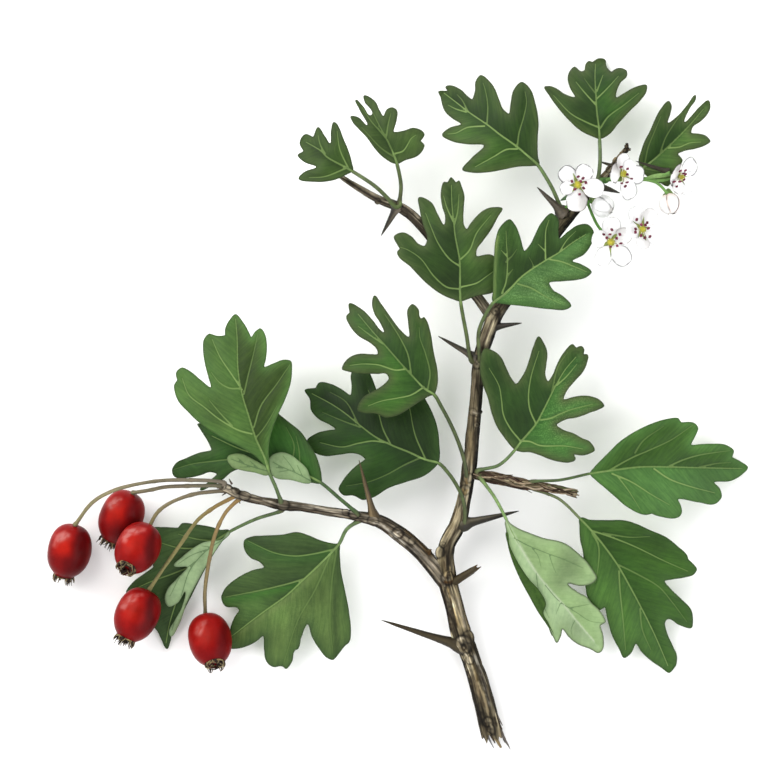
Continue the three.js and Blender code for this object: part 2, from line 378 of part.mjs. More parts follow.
// Each side limb gives way to the stem that it grows from.
wood.stem_middle = wood.stem_middle.subtract(fat.stem_lower);
wood.stem_upper = wood.stem_upper.subtract(fat.stem_middle);
wood.branch_left = wood.branch_left.subtract(fat.stem_lower).subtract(fat.stem_middle);
wood.twig_upper_left = wood.twig_upper_left.subtract(fat.stem_middle).subtract(fat.stem_upper);
wood.spur_right = wood.spur_right.subtract(fat.stem_middle);
const noWood = (solid) => Object.values(fat).reduce((s, f) => s.subtract(f), solid);
// The largest of the separate bodies that a cut leaves.
const main = (solid) => solid.decompose().reduce((a, b) => (a.volume() > b.volume() ? a : b));

for (const [name, solid] of Object.entries(wood)) add(name, main(solid).simplify(0.02), BARK);

const fatThorns = [];
for (const [name, [bx, by, bz, tx, ty, tz, r, blunt]] of Object.entries(THORNS)) {
  const a = plan(bx, by, bz), b = plan(tx, ty, tz);
  const bend = a.clone().lerp(b, 0.5).add(new THREE.Vector3(0, 0, 0.03 * a.distanceTo(b)));
  const make = (grow) => taperedTube([a, bend, b], [1, 0.5, 0.34, 0.2, 0].map((k) => (k + blunt * 0.45 * (1 - k)) * r * UNIT + 0.12 * (k ? 0 : 1) + grow), 7, 5);
  add(name, main(noWood(make(0))).simplify(0.02), THORN);
  fatThorns.push(make(GAP));
}

// ---- leaves -------------------------------------------------------------------------
for (const [name, leaf] of Object.entries(LEAVES)) {
  const outline = margin(leaf.edge, 1);
  const start = leaf.rib[0], end = leaf.rib.at(-1);
  const crease = [start, ...[0.25, 0.5, 0.75].map((t) => {
    const c = new THREE.QuadraticBezierCurve(new THREE.Vector2(...start), new THREE.Vector2(2 * leaf.rib[1][0] - (start[0] + end[0]) / 2, 2 * leaf.rib[1][1] - (start[1] + end[1]) / 2), new THREE.Vector2(...end)).getPoint(t);
    return [c.x, c.y];
  }), end];
  let solid = sheet(outline, crease, (x, y) => bladeHeight(leaf, x, y), BLADE);
  for (const [on, lift, edge] of FLAPS)
    if (on === name) {
      const out = margin(edge, 1), a = edge[0], b = name === "leaf_15" ? edge[4] : name === "leaf_17" ? edge[8] : edge.at(-1);
      const far = (x, y) => Math.abs((b[0] - a[0]) * (a[1] - y) - (a[0] - x) * (b[1] - a[1])) / Math.hypot(b[0] - a[0], b[1] - a[1]);
      solid = solid.add(sheet(out, [], (x, y) => bladeHeight(leaf, x, y) + 0.1 + lift * Math.min(1, far(x, y) / 8), BLADE));
    }
  const stalk = leaf.stalk.map(([x, y, z], i, all) => plan(x, y, i === all.length - 1 ? bladeHeight(leaf, x, y) - 0.2 : z));
  const into = crease[1], tip = plan(into[0], into[1], bladeHeight(leaf, into[0], into[1]) - 0.15);
  solid = solid.add(taperedTube([...stalk, tip], [RIB * 1.35, RIB, RIB, RIB * 0.9, RIB * 0.6], 5, 6));
  solid = main(fatThorns.reduce((s, f) => s.subtract(f), noWood(solid)));
  add(name, solid, name === "leaf_15" ? LEAF_UNDER : LEAF_TOP);
}

// ---- haws ---------------------------------------------------------------------------
// Profile from the crown end (y < 0) to the stalk end: skin, a hollowed crown rim, a blunt shoulder.
const hawProfile = (grow) => [
  [0, -1.0], [0.3, -1.02], [0.4, -1.1], [0.47, -1.0], [0.72, -0.82], [0.95, -0.45], [1.0, 0.0], [0.93, 0.42], [0.72, 0.76], [0.36, 0.97], [0, 1.0],
].map(([r, y]) => new THREE.Vector2(r ? r * HAW_R + grow : 0, y * HAW_L + Math.sign(y) * grow));
const fatHaws = [];
const hawEnds = {};
for (const [name, [sx, sy, cx, cy, low, drop]] of Object.entries(HAWS)) {
  const mid = plan((sx + cx) / 2, (sy + cy) / 2, low + HAW_R);
  const a = plan(sx, sy, low + HAW_R + drop / 2), b = plan(cx, cy, low + HAW_R - drop / 2);
  const axis = a.clone().sub(b).normalize();
  const turn = new THREE.Quaternion().setFromUnitVectors(new THREE.Vector3(0, 1, 0), axis);
  const make = (grow) => new THREE.LatheGeometry(hawProfile(grow), 10).applyQuaternion(turn);
  const skin = make(0);
  skin.computeBoundingBox();
  const lift = low - skin.boundingBox.min.z;
  const place = (g) => g.translate(mid.x, mid.y, lift);
  add(name, closed(place(skin)), HAW_SKIN);
  fatHaws.push(closed(place(make(GAP))));
  hawEnds[name] = axis.clone().multiplyScalar(HAW_L + 0.1).add(new THREE.Vector3(mid.x, mid.y, lift));
}
const pipes = [];
for (const [name, pts] of Object.entries(HAW_STALKS)) {
  const end = hawEnds["haw_" + name.at(-1)];
  const path = [...pts.slice(0, -1).map(([x, y, z]) => plan(x, y, z)), end];
  const make = (grow) => taperedTube(path, [STALK * 1.5 + grow, STALK + grow, STALK * 0.9 + grow, STALK * 0.9 + grow, STALK + grow], 5, 9);
  let solid = fatHaws.reduce((s, f) => s.subtract(f), noWood(make(0)));
  for (const p of pipes) solid = solid.subtract(p);
  add(name, main(solid), HAW_WOOD);
  pipes.push(make(GAP));
}

// ---- blossoms and buds ----------------------------------------------------------------
const facing = (x, y, z) => new THREE.Quaternion().setFromUnitVectors(new THREE.Vector3(0, 0, 1), new THREE.Vector3(x, -y, z).normalize());
const fatBlooms = [];
for (const [name, [x, y, z, fx, fy, fz, turn, r]] of Object.entries(BLOOMS)) {
  const R = (r * UNIT * BLOOM_R) / 5.9, steps = 20, ring = [];
  for (let i = 0; i < steps; i++) {
    const a = (2 * Math.PI * i) / steps, lobe = Math.abs(Math.cos(2.5 * a));
    ring.push([Math.cos(a), Math.sin(a), R * (0.55 + 0.45 * Math.pow(lobe, 0.5))]);
  }
  const make = (grow) => {
    // Rings from the foot of the green cup over the rim of the petals to the domed stamens.
    const level = (k, h) => ring.map(([c, s, p]) => new THREE.Vector3(c * k(p), s * k(p), h));
    return loft([
      level(() => 0.5 + grow, -2.6 - grow), level(() => 1.2 + grow, -1.4 - grow), level((p) => p * 0.6, -0.9 - grow), level((p) => p + grow, 0.5 - grow),
      level((p) => p + grow, 1.1 + grow), level((p) => p * 0.45, 0.5 + grow), level(() => 1.9 + grow, 2.1 + grow),
    ]).rotateZ((turn * Math.PI) / 180).applyQuaternion(facing(fx, fy, fz));
  };
  const c = plan(x, y, z);
  add(name, closed(make(0).translate(c.x, c.y, c.z)), PETAL);
  fatBlooms.push(closed(make(GAP).translate(c.x, c.y, c.z)));
}
for (const [name, [x, y, z, fx, fy, fz, r]] of Object.entries(BUDS)) {
  const R = (r * UNIT * BUD_R) / 2.6;
  const make = (grow) => new THREE.LatheGeometry(
    [[0, -1.5], [0.24, -1.45], [0.4, -1.0], [0.85, -0.6], [1.0, 0.0], [0.85, 0.6], [0.45, 0.9], [0, 1.0]].map(([a, b]) => new THREE.Vector2(a ? a * R + grow : 0, b * R + Math.sign(b) * grow)), 12,
  ).rotateX(Math.PI / 2).applyQuaternion(facing(fx, fy, fz));
  const c = plan(x, y, z);
  add(name, closed(make(0).translate(c.x, c.y, c.z)), PETAL);
  fatBlooms.push(closed(make(GAP).translate(c.x, c.y, c.z)));
}
for (const [name, tubes] of Object.entries(PEDUNCLES)) {
  const one = tubes.map((pts) => taperedTube(pts.map(([x, y, z]) => plan(x, y, z)), [PEDICEL, PEDICEL], 5, 3)).reduce((a, b) => a.add(b));
  add(name, main(fatBlooms.reduce((s, f) => s.subtract(f), noWood(one))), GREEN_STALK);
}

// ---- origin: under the middle of the sprig --------------------------------------------
const box = new THREE.Box3().setFromObject(root, true);
root.position.set(-(box.min.x + box.max.x) / 2, -(box.min.y + box.max.y) / 2, -box.min.z);

export default root;
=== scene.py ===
import math
import bpy
import numpy as np
from mathutils import Vector, Matrix, Quaternion
from mathutils.geometry import delaunay_2d_cdt


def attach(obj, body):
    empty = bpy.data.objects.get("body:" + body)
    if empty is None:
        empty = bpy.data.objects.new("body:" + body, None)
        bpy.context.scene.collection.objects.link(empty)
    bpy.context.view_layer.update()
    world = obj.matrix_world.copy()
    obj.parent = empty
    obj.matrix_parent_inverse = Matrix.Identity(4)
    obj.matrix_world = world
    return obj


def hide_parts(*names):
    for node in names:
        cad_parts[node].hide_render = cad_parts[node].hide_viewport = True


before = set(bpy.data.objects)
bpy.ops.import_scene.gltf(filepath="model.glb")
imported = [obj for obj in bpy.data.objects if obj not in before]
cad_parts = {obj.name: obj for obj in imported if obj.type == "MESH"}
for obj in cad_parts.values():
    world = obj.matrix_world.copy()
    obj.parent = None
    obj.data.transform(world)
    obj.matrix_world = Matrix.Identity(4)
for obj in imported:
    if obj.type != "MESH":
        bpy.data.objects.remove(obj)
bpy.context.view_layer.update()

# ---------------------------------------------------------------------------------------
# The plan grid that the sprig is laid out on: 0.25 mm a unit as seen from an eye 1 m up,
# x to the right and y down, with heights in millimetres.
# ---------------------------------------------------------------------------------------
UNIT, MID, EYE = 0.25, 384.0, 1000.0
SHIFT = (-3.61542, 4.70875)          # mm: puts the origin under the middle of the sprig
RNG = np.random.default_rng(7)


def plan(x, y, z):
    """Plan grid to the row frame in metres; works on arrays."""
    x, y, z = np.broadcast_arrays(np.asarray(x, float), np.asarray(y, float), np.asarray(z, float))
    k = UNIT * (1 - z / EYE)
    return np.stack([k * (x - MID) + SHIFT[0], k * (MID - y) + SHIFT[1], z], -1) / 1000


LIMBS = {
  "stem_lower": [[494, 744, 2.95, 11.3], [483.8, 700, 3.6, 10.8], [470.2, 657, 4.4, 9.2], [461.5, 634, 4.9, 10.2], [452.9, 600, 5.5, 9.6], [446, 572, 6.1, 9.4]],
  "stem_middle": [[445, 566, 6.3, 9.0], [447, 546, 6.8, 8.6], [459, 522, 7.5, 8.4], [465, 495, 8.2, 7.2], [470, 460, 9.2, 7.2], [474, 420, 10.2, 7.0], [477, 385, 11.0, 6.2], [478, 365, 11.5, 6.2], [484, 345, 12.0, 7.2], [491, 326, 12.5, 7.4], [497, 312, 12.8, 7.6]],
  "stem_upper": [[499, 308, 12.9, 7.4], [515, 287, 12.8, 6.8], [540, 253, 12.2, 6.4], [565, 221, 11.4, 6.2], [585, 198, 10.7, 5.2], [600, 182, 10.2, 4.4], [612, 168, 9.9, 3.6], [620, 157, 9.7, 3.0], [628, 147, 9.6, 2.6]],
  "branch_left": [[441, 577, 6.3, 8.4], [430, 563, 6.9, 8.2], [415, 547, 7.8, 8.0], [397.4, 532.8, 8.7, 7.8], [377.2, 521, 9.5, 6.6], [355, 516, 10.0, 5.2], [330, 511.6, 10.6, 4.6], [300, 507.2, 11.2, 4.5], [281, 504.8, 11.6, 5.2], [258, 500, 12.0, 4.2], [240, 495, 12.2, 4.8], [224, 487, 12.4, 3.8]],
  "twig_upper_left": [[489, 313, 12.8, 5.6], [475, 294, 12.9, 5.4], [455, 268, 12.8, 5.4], [425, 229, 12.3, 5.4], [410, 214, 12.0, 5.2], [397, 206, 11.8, 5.2], [380, 200, 11.4, 4.2], [362, 190, 11.0, 3.6], [349, 182, 10.7, 3.0], [339, 175, 10.4, 2.6]],
  "spur_right": [[478, 475, 9.0, 4.6], [500, 479, 9.4, 4.8], [530, 485, 9.6, 4.6], [555, 489, 9.6, 3.4], [577, 493, 9.5, 3.4]],
}
THORNS = {
  "thorn_a": [397, 207, 11.8, 381, 236, 8.6, 5.0],
  "thorn_b": [562, 212, 11.6, 537, 187, 16.4, 6.0],
  "thorn_c": [613, 166, 9.9, 598, 161, 11.6, 2.6],
  "thorn_d": [668, 172, 11.7, 635.5, 161, 12.7, 3.6],
  "thorn_e": [476, 358, 11.5, 438, 336, 8.4, 5.2],
  "thorn_f": [493, 327, 12.5, 522, 323, 15.5, 5.0],
  "thorn_g": [374, 518, 9.6, 359, 460, 15.2, 5.0],
  "thorn_h": [463, 524, 7.6, 519, 511, 9.2, 6.6],
  "thorn_i": [450, 584, 6.0, 477, 567.5, 10.5, 5.2],
  "thorn_j": [462, 646, 4.9, 381, 620, 7.4, 6.6],
  "thorn_k": [598, 186, 10.2, 620, 193, 8.0, 5.4],
}
# Leaves, the blade as in the CAD model and the finer margin. Letters: T a lobe's tip, S the
# bottom of a bay between lobes, N a small notch. veins: the midrib first.
LEAVES = {
  "leaf_01": {
    "rib": [[352, 171], [330, 158], [303, 141]], "z": [14.6, 15.0, 12.0], "fold": [0.05, 0.12], "curl": [-0.3, -0.6],
    "stalk": [[394, 205, 12.6], [376, 187, 14.6], [352, 171, 14.6]],
    "edge": "353,171 352,163 350,155 345,142 T333.7,122 331,130 S330,143 325,136 T318,127 N313,136.5 305.5,134 301,138 T299.6,144.3 N303,151 T297.5,155 304,162 S316,167 304,172 T298.5,178.7 314.5,182 330.5,181 340,178 348,174",
    "veins": ["352,171 346,167.5 327,157 321,151 306,142", "348,167.5 340,150 337,131", "325,153.6 320,144 318,135", "346.5,168 325,176.5 309,177.6"],
    "tones": ["4a6738", "3c5926", "4e7233"],
  },
  "leaf_02": {
    "rib": [[397, 164], [386, 136], [366, 97]], "z": [15.0, 15.4, 11.5], "fold": [0.25, 0.1], "curl": [-0.4, -1.0],
    "stalk": [[399, 205, 12.8], [401, 186, 14.4], [397, 164, 15.0]],
    "edge": "397,164 405,160.5 418,155.7 423,150 T424.6,145 N421,140.8 424.6,134.4 421,130 T412.7,127.7 403,130.7 S394,131.5 396.7,120.5 397,110.3 T392.4,107.2 387,109 S383.3,115.7 379.6,110 375,101 T363.6,95.5 N365,103 371.3,114.7 363,106 T355.6,99.7 359,109 S367,125 358,117 T350.6,116.3 352.5,122 358,128.5 367,138 375,149 384,158",
    "veins": ["397,164 394,155 390,146 386.5,139 378,129 371,121 362,107", "394,157 381,148 370,136.5 361.5,127", "395,153.6 403,151 408,144 411,138.7 416,135", "386.5,135.5 388,125 391,113", "386,138 378,123 371,108"],
    "tones": ["4e683c", "3b5728", "4e6e38"],
  },
  "leaf_03": {
    "rib": [[537, 164], [500, 135], [444, 94]], "z": [13.2, 13.6, 5.0], "fold": [0.05, 0.2], "curl": [-1.0, -0.8],
    "stalk": [[562, 209, 12.2], [551, 186, 13.2], [537, 164, 13.2]],
    "edge": "539,165 538,156.5 537.8,137.7 538.6,122 535.4,103 530,88.4 T521.7,81.8 514,89 510.4,104 S508.8,113.4 503,108.7 499.4,100 492.4,84.5 T480.6,75 475.6,81 474.8,91 S472,99 467,95.4 461,89.6 T450.8,85.2 445.4,86.8 N447,90.4 T438.3,91.4 N440.4,97 444.6,111 453,119 S460.7,124 449,128 T442,135 451,141 467,144.3 S483.7,145.6 470.4,159 T462.3,169.8 470,172.5 487.7,172.4 503,169.8 519,166.7 533,166",
    "veins": ["537,164 517.4,147 500,134.6 487.7,125 470,113 457,103 444,93", "517.4,145.6 519,133 523.7,117 526.5,102 525,91.5", "487,123.6 487.7,105 485,89 483,83", "484.5,126 467,127.6 456,133 447.7,134", "517,149 506.5,149.5 494,156.5 475,167", "468,111.5 462,100 457,94.5", "466,112 456,109 448,105"],
    "tones": ["4f6a3c", "436c2d", "345722"],
  },
  "leaf_04": {
    "rib": [[599, 139], [597, 110], [596, 62]], "z": [11.4, 10.2, 0.7], "fold": [0.12, 0.12], "curl": [-0.9, -0.9],
    "stalk": [[598, 183, 10.8], [600, 162, 12.3], [599, 139, 11.4]],
    "edge": "599.6,139 609,134.6 619,123 630,111 640,101 646.7,91 T646.7,85 635,87 624,93 S616.4,97 620,83.7 627,76 T627,71 622,68 616,68.5 N611.4,71.5 606.7,66.5 605,59.4 T598,58.4 N592.3,61.8 588.7,61 585.6,64 N584.5,70 581.7,71.2 T574.6,66.5 570,70.4 567.6,78 570.2,88.4 S574.6,96.7 565,94 556.6,88.4 550,86 T544.3,86.8 549,95.4 558,108 569,120.5 581.7,131.5 593.4,137",
    "veins": ["599.6,139 599,128 597,113 596,97 595,77 595.5,64", "600.5,128 608,117 624,105 639,93", "599,127.6 586,122 570.7,113.5 553.5,95.4", "596,105 585,93 576,82", "596,99.4 606.7,89 618.5,76", "594.5,92 589,85 584,78", "597,91 600,83 603,75"],
    "tones": ["516b3d", "385c26", "3c6a29"],
  },
  "leaf_05": {
    "rib": [[643, 168], [668, 146], [707, 104]], "z": [10.2, 10.2, 4.4], "fold": [0.1, 0.1], "curl": [-0.6, -0.8],
    "stalk": [[613, 172, 10.0], [628, 172, 9.8], [643, 168, 10.2]],
    "edge": "641,170 638.5,161 641,151 644.6,141 650,130.6 655,119 660.5,109 T668.7,100.8 671.6,105 670.4,114 S668,122.4 678,115.4 687,105 T695.7,95 696,99 689.6,109 S684.8,121.7 692,115 699,107 T708.6,100.2 710.5,107 707,115 700,122 693,127 S691.5,132.5 700,133.8 706,135.7 T710.5,141.4 707,144.5 694.7,149 684.5,151 S678.4,154 T682.6,160 676,172 T668,186.3 658,182 648,177",
    "veins": ["643,168 648,164.5 669,146 688,127 703.5,109", "644.6,164.5 648,148 653.5,134 661,116", "660.5,152 665.5,138 673,125.5 687,105", "667,148 679.5,147 689.6,143 701,142", "646,168.6 657,171 671,172"],
    "tones": ["556f42", "335b21", "66974d"],
  },
  "leaf_06": {
    "rib": [[460, 302], [458, 255], [452, 180]], "z": [16.2, 16.6, 11.6], "fold": [0.08, 0.0], "curl": [-0.6, -0.4],
    "stalk": [[472, 361, 12.4], [466, 332, 15.0], [460, 302, 16.2]],
    "edge": "460.6,301.5 466,300 476.7,296 490,293.6 498,290 T505,274 499,261 491,254.6 S476.7,255.7 477,249.5 482.5,241.7 491,230 498,217 T502.5,208.4 494,207 485,209.4 476.7,216 470,224 S466.7,228.8 464.5,226 463.5,218.7 464,206 464.5,196 462,187 T459,180.5 N456,182 T451,177.2 N447.5,182 T443.8,181.8 440.8,191.5 442,206 445,217 S444,224.5 438,214.4 431,202 T418.7,197.4 419.4,208.7 423,224.5 427,239 S424.4,245.7 419,244 411,236 402,232.3 T393.8,236.6 N399.3,248.8 397,252.4 411,267.5 428,284.7 442,294.7 453,299.5",
    "veins": ["460.6,301.5 460,290 460,267.5 459.5,259 455,234.5 454,224.5 452,205 451.4,185", "458.5,289 446.6,287 433.7,276 421,259 408,250 400,247", "459.5,266 449.5,259 438,243 431,227 425.6,213", "461,259 469.6,250 476.7,233 491,215", "461,287 476.7,283 485,277.5 494,271", "453.4,222 447,208 443.5,196", "454.5,224 457.6,212 459,194"],
    "tones": ["526c40", "335322", "456931"],
  },
  "leaf_07": {
    "rib": [[493, 304], [530, 271], [583, 238]], "z": [17.8, 18.8, 14.2], "fold": [0.1, -0.05], "curl": [-0.3, -1.2],
    "stalk": [[480, 361, 12.9], [479, 331, 16.2], [493, 304, 17.8]],
    "edge": "493,302 493,290 493,277.5 494,256 495.6,239 500,227 T509.7,219.2 515,224.5 520,236 523,247 S524.4,250.6 530,244.5 535,234.5 541,223 T551,213.2 556.6,216.4 559,221 558.6,230 S559.6,238 568.5,231 578,225 T587,224 592,228 594.3,235.5 591.4,244.5 584,254.6 S572.8,261 581,264 T591.7,272 587,277 577,280 562,281.4 S549.5,283 553,289.6 563,296 T571.3,306 567,309.3 550,309.3 530,307 511,304.9 499,303.4",
    "veins": ["493,303 507,292 522.6,276 547,259.6 560,252 572,243 585.7,234.5", "502,293 506,282 507.5,262 506.4,242 506,231", "545.5,259 545.4,242 545.9,230 549,220", "550,259.5 561,261.5 574,266.5 587,272", "518,284 531,288 544,295.6 561,304", "506,262 512,256 517,249", "507,277 513,269", "506.5,256 501,250", "529,272 533,266 529,257", "560,251 567,240 576,231", "545,251 538,244"],
    "stip": [[500, 240, 12, 0.7], [540, 285, 20, 1.0], [558, 296, 12, 0.8], [512, 296, 12, 0.8], [575, 268, 14, 0.8], [582, 240, 12, 0.6]],
    "strokes": [["497.6,233 496,256 494.8,277.5 494.4,299", 1.5, "86a565", 0.75, 0], ["494,301 520,303.6 548,306.6", 5, "4f8a47", 0.4, 0], ["508,286 507.5,270 508.5,250", 3.2, "4c6a38", 0.4, 0]],
    "tones": ["4a733c", "375b26", "72ab66"],
  },
  "leaf_08": {
    "rib": [[434, 395], [405, 369], [352, 308]], "z": [16.6, 17.2, 12.5], "fold": [-0.02, 0.12], "curl": [-0.6, -0.9],
    "stalk": [[466.8, 477, 10.2], [464.3, 461, 12.0], [458.7, 443, 13.4], [450.5, 424, 14.9], [441.5, 407, 16.0], [434, 395, 16.6]],
    "edge": "434,394.6 437,388 437.8,373 433.6,351 430.7,333 427,321 N424,317 421,318 418.4,309 T412.4,304 407.7,309 408,322 S408.7,336.6 400.6,330 390,316 381.5,304 T374.4,295.4 372,301 374,313 380,323 S383.7,332 380.5,330 372.7,320 361,308.5 T349,303.4 N349.3,312.6 346.3,316 349,324.6 358,335.6 371,343.7 377,350 S377.4,354 370,354 359.5,353.7 350,357 343.4,364 T342,369.3 348,371.6 361,373.7 377,374 386.7,374.4 S388.6,379 383,385 374,390.6 362.5,398 T357.3,410 363,413 375,413.6 T386,417.6 398,415.2 411,407.5 422.6,400 430,396",
    "veins": ["434,394.6 424,388 411,374.5 404,367 390,351 383,343 373,332 358,314", "428,388 430,373 425.6,354 420,338 419,327.5", "411,373 408,355 400.6,339 392,325 384.5,314", "404,369.4 395,370 378.6,365 362.5,364 350,365.4", "424,387 411,395 398,398 381.5,401 368,406", "383,343.7 372,336.5 358,326"],
    "tones": ["4e673a", "487b33", "386027"],
  },
  "leaf_09": {
    "rib": [[438, 464], [385, 443], [307, 393]], "z": [11.2, 9.8, 5.4], "fold": [-0.06, 0.06], "curl": [-0.5, -0.5],
    "stalk": [[464.2, 526, 8.7], [465, 512, 10.0], [462.6, 498, 11.1], [457, 486, 11.7], [449, 474, 11.6], [438, 464, 11.2]],
    "edge": "438.4,463 440,455 439.5,446 438,430 433,414 426,400 418,386 T407,375 398,381 388,391 S379,396 375.7,387.7 373,380 366,368 T357,365 351,374 351.5,386 S350.4,394.7 340.5,388.4 330,383.6 319,382.6 N315.5,387.7 T304.8,390 309.7,399.4 311,410 318.5,419 330,425 S335,429 329,430 317,433 T306.9,440.5 312.6,451 324,456 339,454.8 353.7,453.4 361,455.6 S364.7,459 357,465 350.7,470.6 342,481.6 T338.5,489 343,495 353.7,495.8 T362.5,500 372.7,497.7 389,488 406.5,482 424,476 434,468.5",
    "veins": ["438.4,463 425.6,459.6 411,453 389,444 374,436 359.5,425 346,414 333,405 312,393.6", "358,423.6 346,402 330,392", "359.5,427 343,421 322,412", "386.7,442.7 372.7,441 358,443.4 342,447 320,442.6", "420,458 405,464.7 386,475 368,482 346,486", "425,458 415,434.6 410,410 406,392", "390,443 383,429 377,408 368,390"],
    "tones": ["395c2c", "2c531d", "254318"],
  },
  "leaf_10": {
    "rib": [[515, 450], [543, 411], [578, 352]], "z": [12.4, 13.6, 11.0], "fold": [0.14, -0.08], "curl": [-0.2, -0.5],
    "stalk": [[477, 471, 9.8], [499, 465, 11.6], [515, 450, 12.4]],
    "edge": "515,450 509,444 503,436 497,427 491.5,413 488,399 483,385 479.7,368 T484.6,348.4 494,351 501,357 506,367 512,379 S516,383.5 524,373 529,360 533,347 T538.7,336.4 544,343 547.3,352 546.4,365 545.5,375 S548,381 552.4,375 557,364 564,352 T572.5,344 N576.4,347.4 581.5,346 T584.4,349.4 N584,354 587.7,354.5 587.4,362 583,372 575,381 567,391 S564,399 573,396.9 583,395.5 592,396.5 600,400 T604.3,406 598,410 590,412.8 583,415.6 575,418 566,419.6 S557,425 563,429.5 574,433.4 582,438 590,441.7 T594.8,450.4 590,453.6 583,455.5 N574.5,455 575.6,459.4 570,462.5 560,462 550,459.5 540,455.5 530,452.4 521,452",
    "veins": ["515,450 520,443 536,424 542,413 550,397 555,387 565,370 576,357", "520.5,441 510,428 503.5,415 501.5,400 499,386 489,368", "536,424 530,410 528.5,397 531,377 539,351", "552,391 558,367 568,352", "557,385 566,377 577,364", "541,420 550,418.5 560,414 570,410 593,404", "522,441 530,441.6 540,445.5 565,446 583,449"],
    "stip": [[545, 425, 18, 0.9], [560, 408, 14, 0.8], [585, 405, 14, 0.7], [567, 388, 12, 0.7], [582, 365, 12, 0.6], [560, 440, 16, 0.6]],
    "tones": ["546d42", "365d27", "538f46"],
  },
  "leaf_11": {
    "rib": [[270, 474], [252, 425], [235, 316]], "z": [15.4, 17.0, 13.0], "fold": [0.05, 0.12], "curl": [-0.9, -0.6],
    "stalk": [[281, 503, 12.4], [276, 488, 14.4], [270, 474, 15.4]],
    "edge": "268.6,472 265.6,467 254,455.5 242,448 218.7,436 199.6,423 189,413 177.4,399.7 T174,385 N177,380 176,372.6 T182,367.4 190,371 201,380 S210.6,387 208.4,377.7 204.7,363 203,350 204,339 T209,333.6 217,335.6 S224.6,335 225,329 229,320.5 T235.5,314 243.6,322.7 248.7,331.5 S251.4,336.7 255,331.5 T260.5,328.2 264.6,333 267,345.5 265.8,360 S264.4,366.5 274,363 284,359.6 T291,361 292,372 290.5,384 285,400 278.5,414 273,428 269.8,440 268.6,452 269.6,463",
    "veins": ["269,472 268,466 256,439 248,414 242,394 238,370 237,337 235.5,319", "242,389.5 230,372 220,357 212,339", "239,388.6 229,388 219,382 211,372", "252,434 238,430 219,419 204,407 189,395 182,378", "232,425.6 220,413 209,400", "244,394 248,376 253,356 258,333", "254,427 261,405.6 276,385 290,364.5", "256,438 266,425 277,405.6"],
    "deep": 0.06, "tones": ["5c8a4a", "5f8b48", "3d5925"],
  },
  "leaf_12": {
    "rib": [[320, 482], [262, 458], [200, 428]], "z": [11.4, 10.2, 7.6], "fold": [0.0, 0.04], "curl": [-0.3, -0.5],
    "stalk": [[357, 514, 10.8], [339, 498, 12.0], [320, 482, 11.4]],
    "edge": "321,483 321.6,476 320,467 315.5,454 308,442 301,432 289,422 279.5,414.4 T262,400 250,406 238,414 222,420 206,423.5 T197.4,424 200,429 208,442 S211,449.8 199.6,452.5 186,458 176,463 T171.9,470 174.4,476.7 189,477.7 201,475.2 210,472.2 N216.5,474 208,482 T200,490 211,486.4 223,479.4 232,472 239,469.4 251,471.5 263,474.5 285,478 303,481.4 312.5,483",
    "veins": ["320,482 303,473 285,464 262,456 240,449 212,436", "292,463 294,445 286,427", "300,466 299,450 296,436", "240,458 215,461 192,464 174,469.4", "262,456 250,440 235,428"],
    "tones": ["436738", "3a682b", "427b34"],
  },
  "leaf_13": {
    "rib": [[590, 474], [656, 468.6], [744, 469]], "z": [11.6, 10.8, 0.9], "fold": [0.12, 0.0], "curl": [-0.5, -0.9],
    "stalk": [[531, 482, 10.4], [560, 480, 11.6], [590, 474, 11.6]],
    "edge": "590,473.6 594,467.4 603,458 611,450 618,443 631.5,433.5 650.5,424 667.6,418.7 T678,418 N681.4,422 694,422.7 T698.4,428 696,435 S691.6,444.5 701,444 711,443.6 726.5,445 T734,450.6 N732.6,457 740,461 T748,467.3 741.7,475 730,481.2 S714.6,482.5 720,488.6 T721.8,497 715,504 698,502.4 S678.4,499.6 681,505.7 T682,512 679,517 660,516.7 N651.5,513.9 645,515 628,507.6 614,496 603,486.4 595,479.6",
    "veins": ["590,473.6 610.6,470.6 641,467 669.5,467 698,467.7 742,468.6", "608,471 631.5,458 650.5,449.7 671,440 693,425", "635,453 643,441 664,426", "669.5,466 683,460 700,455 730,450.6", "700,467 717,463.5 731,462.6", "654,468.7 669.5,479 688.5,486 715,493", "612,473.6 631.5,482 650.5,494 669.5,505", "618,477 628,490 640,509"],
    "deep": 0.06, "tones": ["558947", "416c2b", "5b914f"],
  },
  "leaf_14": {
    "rib": [[580, 519], [618, 567], [669, 669]], "z": [9.8, 8.6, 0.7], "fold": [0.05, 0.0], "curl": [-0.3, -0.5],
    "stalk": [[533, 488, 9.2], [559, 499, 9.6], [580, 519, 9.8]],
    "edge": "580,518 590,519.6 607,520 625,520.4 637,524 650,530 666,537 678,546.4 687,555 N688.4,559 T697,569 694,574.4 685,577.5 672,579.6 S665,581.2 672,590 682,599.5 691,609.4 693,618 T691.5,628 679,625 667.5,619.4 S665,623.4 667.5,634 673,646 677,656 N676,665.5 T669,673 661.6,668 650,660 641,651.4 S636,644 631,653.4 T624,658 619,649 612,635.5 607,618 S604.6,607.6 599,610 587.5,597 585.4,587 583.6,570 583,553 580,539 579.4,526",
    "veins": ["580,518.6 590,529 604,546 617.6,565 631,588.5 645.5,616 657,640 668,666", "591,530.4 607,535.6 634,546.2 664,560.8 688,571.3", "619,565 637,574 659,587 672,602 687,622", "592,533 598.5,546 598,568 595,583", "619,571 620,590 623,619 625.6,650", "640,609 642.5,630 651,650", "603,533.2 615,535.2 629,537.2 650,536.6"],
    "tones": ["467135", "44742b", "578a41"],
  },
  "leaf_15": {
    "rib": [[506, 521], [545, 583], [600, 648]], "z": [11.8, 11.4, 6.2], "fold": [0.02, 0.1], "curl": [-0.4, -0.6],
    "stalk": [[480, 477, 9.8], [495, 498, 11.4], [506, 521, 11.8]],
